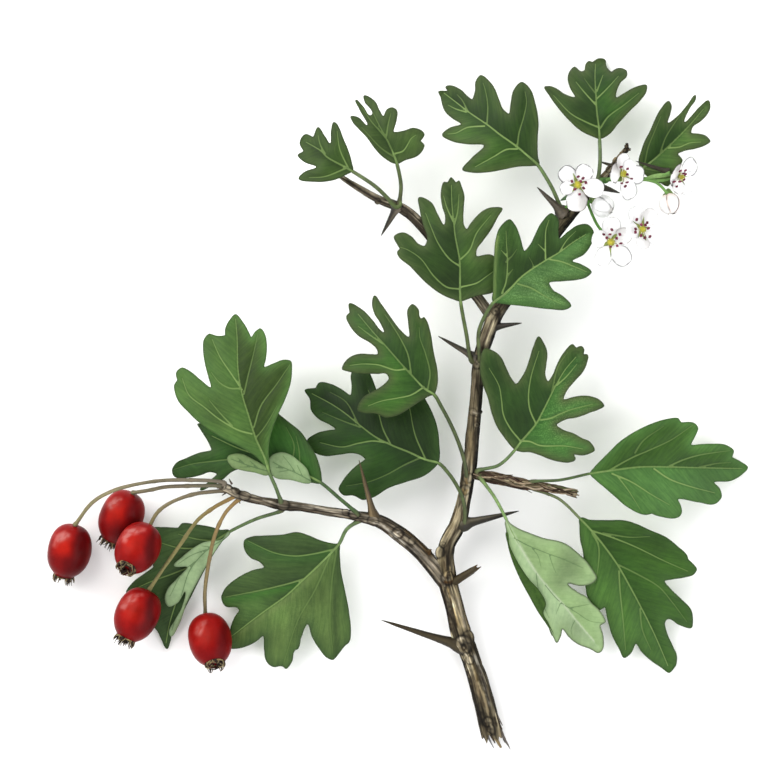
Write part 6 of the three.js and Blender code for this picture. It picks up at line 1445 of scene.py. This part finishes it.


# ---------------------------------------------------------------------------------------
# Blossoms, buds and their stalks
# ---------------------------------------------------------------------------------------
# As seen from above, in plan units and degrees from the right, turning left: the heart's
# middle; petals as direction, reach, width, how strong the painted shade on one side is, how
# strong its outline; sepals as direction and reach; anthers as steps from the heart. lift: how
# much lighter the petals of a tilted blossom are laid on, painted light against the shade
# their tilt gets.
FLOWERS = {
  "blossom_1": dict(heart=[577.7, 184.8], petals=[[136, 23.5, 18, 0.0, 1.0], [62, 22, 18, 0.0, 0.75], [-12, 26.5, 19, 0.0, 0.25], [-93, 27, 21, 0.75, 0.5], [-163, 18.5, 14, 0.0, 0.5]],
    sepals=[[181, 13.5], [20, 15], [112, 13], [-128, 11], [-50, 9]], anthers=[[-5.8, -3.4], [0.4, -8.0], [5.2, -6.4], [8.0, -2.2], [3.0, -3.4], [5.8, 3.4], [-2.8, 4.4], [1.8, 9.6]]),
  "blossom_2": dict(heart=[623.9, 173.9], lift=1.14, petals=[[175, 13.5, 21, 1.0, 0.8], [96, 20, 14, 0.55, 0.3], [50, 15, 14, 0.0, 0.1], [-2, 21.5, 19, 0.0, 0.6], [-74, 26, 17, 0.0, 0.5]],
    sepals=[[-97, 19], [118, 9], [65, 9], [-35, 8]], anthers=[[-3.2, -6.6], [3.6, -5.0], [3.4, 0.6], [8.0, 4.6], [3.4, 8.4], [-2.4, 9.6], [1.4, 12.4]]),
  "blossom_3": dict(heart=[681.3, 177.2], lift=1.16, petals=[[165, 10, 24, 0.8, 0.8], [52, 22, 17, 0.1, 0.9], [-8, 17, 16, 0.0, 0.1], [-55, 18, 15, 0.0, 0.2], [-112, 17, 14, 0.35, 0.5]],
    sepals=[[-42, 10], [-62, 8], [5, 9], [-150, 5]], anthers=[[-1.8, -5.6], [3.7, -6.4], [2.2, -3.6], [-7.9, 5.2], [-1.8, 4.7], [2.6, 2.7], [-5.1, 9.7], [4.0, -2.4]]),
  "blossom_4": dict(heart=[610.9, 242.1], petals=[[88, 25, 19, 0.0, 0.25], [26, 22, 17, 0.35, 0.3], [-52, 28, 19, 0.15, 0.6], [-116, 26, 17, 0.0, 0.25], [164, 19.5, 17, 0.0, 0.15]],
    sepals=[[202, 14.6], [-90, 16], [57, 17], [-31, 18], [133, 8]], anthers=[[0.8, -12.3], [-1.1, -7.6], [-7.2, -7.6], [-4.2, -4.2], [8.8, -7.6], [5.6, -3.7], [9.8, 1.4], [6.2, 3.7], [-0.4, 4.7]]),
  "blossom_5": dict(heart=[642.5, 229.2], petals=[[113, 24, 17, 0.0, 0.2], [60, 23, 16, 0.45, 0.15], [-24, 27, 20, 0.0, 0.15], [-88, 20, 15, 0.4, 0.15], [188, 17, 15, 0.0, 0.1]],
    sepals=[[84, 14], [141, 13], [8, 13.5], [-72, 18], [-118, 10]], anthers=[[-6.0, -9.5], [-1.4, -4.4], [4.7, -6.5], [2.8, -4.2], [5.9, -0.9], [-7.2, 0.0], [-7.4, 3.2], [-1.7, 6.5], [2.1, 8.6], [7.4, 7.4]]),
}
WHITE = 0.77


def turn_to(fx, fy, fz):
    return np.array(Vector((0, 0, 1)).rotation_difference(Vector((fx, -fy, fz)).normalized()).to_matrix())


def petal(length, width, cup, seed, thick=0.13, nv=25):
    """A round cupped petal along +x from the origin, in mm, on a narrow claw, with a crimped free edge."""
    sh = 0.52
    phi = np.linspace(0, 0.5 * np.pi * 0.965, 19)[1:]
    t = np.concatenate([np.linspace(0, sh, 15), sh + (1 - sh) * np.sin(phi)])
    half = np.concatenate([0.13 + 0.87 * smoothstep(np.linspace(0, 1, 15), -0.12, 0.98), (1 - np.sin(phi) ** 2.5) ** (1 / 2.5)]) * width / 2
    nu = len(t)
    v = np.linspace(-1, 1, nv)[None, :]
    u, hw = t[:, None], half[:, None]
    x = length * (0.06 + 0.94 * u) * np.ones_like(v)
    y = hw * v
    z = cup * (x / length) ** 2 * (1.6 - 0.6 * x / length) + 0.10 * width * (v ** 2) * (hw / width * 2) ** 2
    p = np.stack([x, y, z], -1)
    z = z + (fbm(p + seed * 9.0, 1.7, seed, 2) - 0.5) * 0.42 * u + 0.07 * np.sin(v * 9 + seed) * u ** 4
    edge = np.minimum((1 - np.abs(v)) * hw, (1 - u) * length)
    thin = thick / 2 * np.clip(edge / 0.25, 0.35, 1)
    top = np.stack([x, y, z + thin], -1).reshape(-1, 3)
    low = np.stack([x, y, z - thin], -1).reshape(-1, 3)
    n = nu * nv
    F = []
    for i in range(nu - 1):
        for j in range(nv - 1):
            a, b, c, d = i * nv + j, (i + 1) * nv + j, (i + 1) * nv + j + 1, i * nv + j + 1
            F += [(a, b, c, d), (a + n, d + n, c + n, b + n)]
    loop = [i * nv for i in range(nu)] + [(nu - 1) * nv + j for j in range(1, nv)] + [i * nv + nv - 1 for i in range(nu - 2, -1, -1)] + [j for j in range(nv - 2, 0, -1)]
    for a, b in zip(loop, loop[1:] + loop[:1]):
        F.append((b, a, a + n, b + n))
    V = np.vstack([top, low])
    uu = np.tile((u * np.ones_like(v)).ravel(), 2)
    vv = np.tile((np.ones_like(u) * v).ravel(), 2)
    return V, F, uu, vv, np.tile(edge.ravel(), 2)


def spin(V, deg):
    c, s = math.cos(math.radians(deg)), math.sin(math.radians(deg))
    return V @ np.array([[c, s, 0], [-s, c, 0], [0, 0, 1]])


def blob(centre, sx, sy, sz, rot, nu=8, nv=10):
    th = np.linspace(0, np.pi, nu)
    ph = np.linspace(0, 2 * np.pi, nv, endpoint=False)
    A, B = np.meshgrid(th, ph, indexing="ij")
    V = np.stack([np.sin(A) * np.cos(B) * sx, np.sin(A) * np.sin(B) * sy, np.cos(A) * sz], -1).reshape(-1, 3)
    V = V @ np.array(rot).T + centre
    F = [(i * nv + j, (i + 1) * nv + j, (i + 1) * nv + (j + 1) % nv, i * nv + (j + 1) % nv) for i in range(nu - 1) for j in range(nv)]
    return V, F


def sepal(length, width, tip, seed):
    """A narrow pointed green sepal along +x, keeled, in mm."""
    u = np.linspace(0, 1, 12)
    half = width / 2 * np.clip((1 - u) ** 0.65 * (0.75 + 0.5 * np.sin(np.pi * np.clip(u * 1.5, 0, 1))), 0.06, 1)
    V, F = [], []
    for i, t in enumerate(u):
        z = tip * t * t
        V += [[length * t, -half[i], z + 0.10], [length * t, 0, z], [length * t, half[i], z + 0.10], [length * t, 0, z + 0.18]]
    for i in range(len(u) - 1):
        for a, b in ((0, 1), (1, 2), (2, 3), (3, 0)):
            F.append((i * 4 + a, i * 4 + b, (i + 1) * 4 + b, (i + 1) * 4 + a))
    F += [(3, 2, 1, 0), tuple((len(u) - 1) * 4 + k for k in range(4))]
    return np.array(V), F


def cup_under(profile, sides=20):
    prof = catmull(profile, n=10)
    ph = np.linspace(0, 2 * np.pi, sides, endpoint=False)
    V = np.array([[math.cos(a) * p[0], math.sin(a) * p[0], p[1]] for p in prof for a in ph])
    F = [(i * sides + j, i * sides + (j + 1) % sides, (i + 1) * sides + (j + 1) % sides, (i + 1) * sides + j) for i in range(9) for j in range(sides)]
    return V, F + [tuple(range(sides - 1, -1, -1)), tuple(9 * sides + j for j in range(sides))]


for name, (x, y, z, fx, fy, fz, first, r) in BLOOMS.items():
    seed = int(name[-1])
    rng = np.random.default_rng(seed + 90)
    look = FLOWERS[name]
    M = turn_to(fx, fy, fz)
    c0 = plan(x, y, z)
    flat = np.linalg.inv(M[:2, :2])

    def local(px, py, high):
        """The flower's own x and y of a point that is seen at the plan point, so high above the flower's base."""
        want = (plan(px, py, z + high * 0.7) - c0)[:2] * 1000
        return flat @ (want - M[:2, 2] * high)

    hx, hy = local(*look["heart"], 0.5)
    heart = np.array([hx, hy, 0])
    parts = []
    for k, (ang, reach, wide, grey, line) in enumerate(look["petals"]):
        ca, sa = math.cos(math.radians(ang)), math.sin(math.radians(ang))
        hgt = 0.9
        tip = local(look["heart"][0] + reach * ca, look["heart"][1] - reach * sa, hgt) - heart[:2]
        across = flat @ np.array([-sa, ca]) * wide * UNIT
        ax = tip / np.linalg.norm(tip)
        w = abs(ax[0] * across[1] - ax[1] * across[0])
        length = min(np.linalg.norm(tip), 7.2)
        V, F, uu, vv, edge = petal(length, min(w, 6.2), hgt, seed * 7 + k)
        V[:, 2] += 0.10 * ((k * 2) % 5) - 0.2
        V = spin(V, math.degrees(math.atan2(tip[1], tip[0]))) + heart
        # fine greyish shading: a painted shadow side, veins, and a thin line along the free edge
        shade = 1 - 0.30 * grey * smoothstep(vv * (1 if k % 2 else -1), -0.5, 0.8) * smoothstep(uu, 0.02, 0.35) * (1 - 0.5 * smoothstep(uu, 0.75, 1.0))
        vein = np.abs(np.sin(vv * 8 + 0.5 * np.sin(uu * 7 + k)))
        shade = shade - 0.05 * np.exp(-(vein / 0.16) ** 2) * (1 - smoothstep(uu, 0.5, 0.9))
        broken = smoothstep(fbm(np.stack([uu * 6, vv * 3, uu * 0 + k * 5], -1), 1.0, seed + 50, 2), 0.36 - 0.16 * line, 0.56 - 0.16 * line)
        shade = shade * (1 - 0.80 * min(1.0, line * 1.25) * broken * np.exp(-(edge / 0.24) ** 2) * smoothstep(uu, 0.22, 0.42))
        warm = np.array([1.0, 0.985, 0.975]) if grey > 0.3 else np.array([1.0, 1.0, 1.0])
        # lift: the petals of a tilted blossom are laid on lighter, painted light against the shade their tilt gets
        col = WHITE * look.get("lift", 1.0) * linear(np.clip(shade, 0, 1)[:, None] * (1 - (1 - warm) * (1 - shade[:, None]) * 4))
        claw = (0.45 * np.exp(-(uu / 0.10) ** 2))[:, None]
        col = col * (1 - claw) + GAIN * linear(hexes("cfd38f")) * claw
        parts.append((V, F, {"Tone": col}, 0))
    # sepals behind, seen in the gaps
    for k, (ang, reach) in enumerate(look["sepals"]):
        ca, sa = math.cos(math.radians(ang)), math.sin(math.radians(ang))
        tip = local(look["heart"][0] + reach * ca, look["heart"][1] - reach * sa, 0.5) - heart[:2]
        V, F = sepal(min(np.linalg.norm(tip), 5.4), 0.95, 0.35, k)
        V = spin(V, math.degrees(math.atan2(tip[1], tip[0]))) + heart + np.array([0, 0, 0.12])
        g = np.clip(np.hypot(V[:, 0] - hx, V[:, 1] - hy) / 4.5, 0, 1)[:, None]
        parts.append((V, F, {"Tone": GAIN * linear((hexes("a3ab55") * (1 - g) + hexes("6f8b4e") * g) * (0.85 + 0.3 * noise3(V, 0.7, k)[:, None]))}, 1))
    V, F = cup_under([[0.42, -2.5, 0], [0.8, -2.0, 0], [1.15, -1.2, 0], [1.25, -0.6, 0], [0.9, -0.25, 0]])
    parts.append((V, F, {"Tone": GAIN * linear(np.ones((len(V), 3)) * hexes("7d9a55") * (0.9 + 0.2 * noise3(V, 0.6, 2)[:, None]))}, 1))
    # heart: a yellow-green disc, its style, and the stamens with their maroon anthers
    V, F = blob(heart + np.array([0, 0, 0.30]), 1.02, 1.02, 0.48, np.eye(3), 14, 28)
    V[:, 2] += 0.16 * noise3(V, 0.32, seed) * (V[:, 2] > 0.2)
    rad = (np.hypot(V[:, 0] - hx, V[:, 1] - hy) / 1.02)[:, None]
    rad = np.clip(rad + 0.5 * (noise3(V, 0.4, seed + 2)[:, None] - 0.5), 0, 1)
    parts.append((V, F, {"Tone": GAIN * linear(hexes("dfd23a") * (1 - rad) + hexes("a9ab4c") * rad)}, 2))
    v, f, T, S, _ = tube(catmull(np.array([heart + [0, 0, 0.6], heart + [0.08, 0.04, 1.0], heart + [0.1, 0.02, 1.35]]), n=6), np.linspace(0.16, 0.12, 6), 8)
    parts.append((v, f, {"Tone": GAIN * linear(np.ones((len(v), 3)) * hexes("d9cd45"))}, 2))
    V, F = blob(heart + np.array([0.1, 0.02, 1.4]), 0.21, 0.21, 0.12, np.eye(3), 6, 10)
    parts.append((V, F, {"Tone": GAIN * linear(np.ones((len(V), 3)) * hexes("e0d65a"))}, 2))
    for k, (dx, dy) in enumerate(look["anthers"]):
        top = 1.25 + 0.35 * ((k * 3) % 4) / 3
        end = np.append(local(look["heart"][0] + dx, look["heart"][1] + dy, top), top)
        out_ = end - heart
        out_[2] = 0
        dist = np.linalg.norm(out_)
        p0 = heart + out_ / max(dist, 1e-6) * 0.75 + np.array([0, 0, 0.45])
        p1 = (p0 + end) / 2 + np.array([0, 0, 0.3])
        v, f, T, S, _ = tube(catmull([p0, p1, end - [0, 0, 0.1]], n=9), np.linspace(0.085, 0.06, 9), 7)
        parts.append((v, f, {"Tone": WHITE * linear(np.ones((len(v), 3)) * hexes("f6f3e6"))}, 2))
        tilt = Vector((rng.uniform(-0.9, 0.9), rng.uniform(0.2, 1.0), 0.45)).normalized()
        rot = np.array(Vector((0, 0, 1)).rotation_difference(tilt).to_matrix())
        for sgn in (-1, 1):
            V, F = blob(end + rot @ np.array([0.15 * sgn, 0, 0]), 0.20, 0.24, 0.46, rot, 9, 12)
            tint = noise3(V, 0.35, k)[:, None]
            c = hexes(["7a2340", "86304e", "6a1c36"][k % 3])
            parts.append((V, F, {"Tone": GAIN * linear(c * (0.85 + 0.2 * tint) + (hexes("b06a80") - c) * smoothstep(tint, 0.55, 0.9) * 0.6)}, 2))
    V, F, A, MM = join(parts)
    V = V @ M.T / 1000 + c0
    ob = build(name + "_look", V, F, [M_PETAL, M_GREEN, M_HEART], A, MM)
    settle(ob, "petal", name)

for name, (x, y, z, fx, fy, fz, r) in BUDS.items():
    seed = int(name[-1])
    size = r * UNIT
    M = turn_to(fx, fy, fz)
    c0 = plan(x, y, z)
    parts = []
    pink = name == "bud_2"
    for k in range(5):
        nu, nv = 26, 22
        A_, B_ = np.meshgrid(np.linspace(0.10, 0.88, nu), np.linspace(-1, 1, nv), indexing="ij")
        pol = np.pi * (1 - A_)
        wid = 0.80 * np.sin(np.pi * np.clip(A_ * 1.02, 0, 1)) ** 0.22
        az = B_ * wid + k * 2 * np.pi / 5
        rr = size * (1.0 + 0.055 * B_ + 0.03 * (k % 2)) * (1 - 0.03 * np.abs(B_) ** 2)
        n1 = (fbm(np.stack([az, pol, az * 0 + k], -1), 0.9, seed + k, 2) - 0.5) * 0.05 * size
        P = np.stack([np.sin(pol) * np.cos(az) * (rr + n1), np.sin(pol) * np.sin(az) * (rr + n1), np.cos(pol) * (rr + n1)], -1)
        top = P.reshape(-1, 3)
        low = (P * 0.955).reshape(-1, 3)
        n = nu * nv
        F = []
        for i in range(nu - 1):
            for j in range(nv - 1):
                a, b, c, d = i * nv + j, (i + 1) * nv + j, (i + 1) * nv + j + 1, i * nv + j + 1
                F += [(a, d, c, b), (a + n, b + n, c + n, d + n)]
        loop = [i * nv for i in range(nu)] + [(nu - 1) * nv + j for j in range(1, nv)] + [i * nv + nv - 1 for i in range(nu - 2, -1, -1)] + [j for j in range(nv - 2, 0, -1)]
        for a, b in zip(loop, loop[1:] + loop[:1]):
            F.append((a, b, b + n, a + n))
        bb, aa = B_.ravel(), A_.ravel()
        mark = smoothstep(fbm(np.stack([aa * 5, bb * 2 + k * 3, bb * 0], -1), 1.0, seed + 60, 2), 0.34, 0.56)
        sh = 1 - (0.50 if pink else 0.26) * np.exp(-((1 - bb) / (0.11 if pink else 0.08)) ** 2) * mark - 0.04 * smoothstep(bb, 0.2, 0.9)
        tint = np.array([1.0, 0.90, 0.86]) if pink else np.array([1.0, 0.985, 0.98])
        g = (smoothstep(1 - aa, 0.55, 0.85) * 0.9 if pink else 0.6 * (1 - sh))[:, None]
        col = sh[:, None] * (1 - g + g * tint)
        if pink:
            wash = (0.8 * np.exp(-((1 - np.abs(bb)) / 0.22) ** 2))[:, None]
            col = col * (1 - wash * (1 - np.array([0.99, 0.86, 0.80])))
        # bud_1 is laid on lighter than bud_2: painted light against the shade its shells cast on one another
        col = (1.0 if pink else 1.18) * WHITE * linear(np.clip(np.vstack([col, col * 0.97]), 0, 1))
        parts.append((np.vstack([top, low]), F, {"Tone": col}, 0))
    V, F = blob(np.array([0, 0, 0]), size * 0.90, size * 0.90, size * 0.90, np.eye(3), 14, 20)
    parts.append((V, F, {"Tone": WHITE * linear(np.ones((len(V), 3)) * hexes("f4f1ec"))}, 0))
    for k in range(5):
        V, F = sepal(size * 1.0, size * 0.42, -0.15, k)
        V = np.stack([V[:, 2] * 0.6 + size * 0.50 + V[:, 0] * 0.40, V[:, 1], -size * 0.98 + V[:, 0] * 0.8], 1)
        V = spin(V, k * 72 + 20)
        parts.append((V, F, {"Tone": GAIN * linear(np.ones((len(V), 3)) * hexes("86a45c"))}, 1))
    V, F = cup_under([[0.40, -size * 1.5, 0], [0.75, -size * 1.3, 0], [1.1, -size * 1.05, 0], [size * 0.6, -size * 0.8, 0]], 18)
    parts.append((V, F, {"Tone": GAIN * linear(np.ones((len(V), 3)) * hexes("7d9a55"))}, 1))
    V, F, A, MM = join(parts)
    V = V @ M.T / 1000 + c0
    ob = build(name + "_look", V, F, [M_PETAL, M_GREEN], A, MM)
    settle(ob, "petal", name)

# Small green bracts at the foot of the blossom stalks: plan points, half width mm.
BRACTS = {
  "blossom_stalk_left": [[[560.5, 200.5, 13.2], [569, 196.5, 14.0], [580, 194.5, 14.2], 0.62, "4f6b48"]],
  "blossom_stalk_right": [[[598, 178.5, 11.6], [604, 180.5, 12.0], [611, 178.5, 12.2], 0.8, "4c7a36"], [[645, 177.8, 13.3], [658, 175.8, 14.0], [674, 174.4, 14.0], 0.55, "8bb068"], [[649, 179.4, 13.2], [660, 180.4, 13.6], [672, 178.6, 13.6], 0.42, "6f9a50"]],
}
for name, tubes in PEDUNCLES.items():
    parts = []
    for k, pts in enumerate(tubes):
        ctrl = rooted(np.array([plan(*p) for p in pts]), reach=0.002) if k < 2 else np.array([plan(*p) for p in pts])
        path = catmull(ctrl, step=0.0003)
        u = np.linspace(0, 1, len(path))
        rad = (0.36 + 0.16 * np.exp(-(u / 0.08) ** 2) + 0.16 * np.exp(-((1 - u) / 0.08) ** 2)) / 1000
        v, f, T, S, dirs = tube(path, rad, 14)
        nz = np.append(dirs[..., 2].ravel(), [0, 0])[:, None]
        # random mottling, and painted shade: the stalk is darker on its sides and underside
        col = hexes("5f9440" if name.endswith("left") else "7aa95a") * (0.82 + 0.32 * fbm(v * 1000, 1.6, k, 2)[:, None]) * (0.72 + 0.3 * smoothstep(nz, -0.2, 0.8))
        parts.append((v, f, {"Tone": GAIN * linear(col)}, 0))
    for p0, p1, p2, half, hue in BRACTS[name]:
        path = catmull(np.array([plan(*p0), plan(*p1), plan(*p2)]), n=22)
        u = np.linspace(0, 1, 22)
        rad = half * (0.10 + 0.90 * np.sin(np.pi * np.clip(u, 0.02, 0.98)) ** 0.8) / 1000
        v, f, T, S, dirs = tube(path, rad, 16)
        centre = np.vstack([np.repeat(path, 16, 0), path[0], path[-1]])
        v[:, 2] = centre[:, 2] + (v[:, 2] - centre[:, 2]) * 0.28      # flat, as a small leaf is
        parts.append((v, f, {"Tone": GAIN * linear(hexes(hue) * (0.8 + 0.35 * fbm(v * 1000, 0.9, 5, 2)[:, None]))}, 0))
    V, F, A, MM = join(parts)
    ob = build(name + "_look", V, F, [M_GREEN], A, MM)
    settle(ob, "green_stalk", name)

# ---------------------------------------------------------------------------------------
# Floor, light and camera
# ---------------------------------------------------------------------------------------
bpy.ops.mesh.primitive_plane_add(size=6, location=(0, 0, -0.00002))
floor = bpy.context.object
floor.name = "Floor"
fm_, ft, fb = material("Floor_paper", 0.9, 0.1)
n1 = noise(ft, 60, 3, 0.5)
ft.links.new(ramp(ft, n1, [(0.3, (0.955, 0.955, 0.955)), (0.7, (0.975, 0.975, 0.975))]), fb.inputs["Base Color"])
floor.data.materials.append(fm_)

world = bpy.data.worlds.new("Studio")
bpy.context.scene.world = world
world.use_nodes = True
wt = world.node_tree
bg = wt.nodes["Background"]
co = node(wt, "ShaderNodeTexCoord").outputs["Generated"]
sep = node(wt, "ShaderNodeSeparateXYZ")
wt.links.new(co, sep.inputs[0])
wt.links.new(ramp(wt, sep.outputs["Z"], [(0.0, (0.95,) * 3), (0.80, (1.0,) * 3), (0.93, (0.35,) * 3), (1.0, (0.25,) * 3)]), bg.inputs["Color"])
bg.inputs["Strength"].default_value = 1.36


def area(name, loc, size, power, target=(0, 0, 0), color=(1, 1, 1)):
    d = bpy.data.lights.new(name, "AREA")
    d.shape = "DISK"
    d.size = size
    d.energy = power
    d.color = color
    o = bpy.data.objects.new(name, d)
    bpy.context.scene.collection.objects.link(o)
    o.location = loc
    o.rotation_mode = "QUATERNION"
    o.rotation_quaternion = (Vector(loc) - Vector(target)).to_track_quat("Z", "Y")
    return o


area("Key", (-0.62, 0.5, 0.75), 1.0, 9.2, color=(1.0, 0.988, 0.965))
area("Fill", (0.7, -0.5, 0.6), 1.0, 4.3, color=(0.975, 0.985, 1.0))

cam_data = bpy.data.cameras.new("Camera")
cam = bpy.data.objects.new("Camera", cam_data)
bpy.context.scene.collection.objects.link(cam)
cam_data.sensor_width = 36.0
cam_data.lens = 36.0 * EYE / (768 * UNIT)
cam_data.clip_start, cam_data.clip_end = 0.05, 10
cam.location = (SHIFT[0] / 1000, SHIFT[1] / 1000, EYE / 1000)
cam.rotation_euler = (0, 0, 0)
cam_data.dof.use_dof = False
bpy.context.scene.camera = cam
bpy.context.scene.view_settings.view_transform = "Standard"
bpy.context.scene.view_settings.look = "None"
bpy.context.scene.view_settings.exposure = 0.0
bpy.context.scene.view_settings.gamma = 1.0
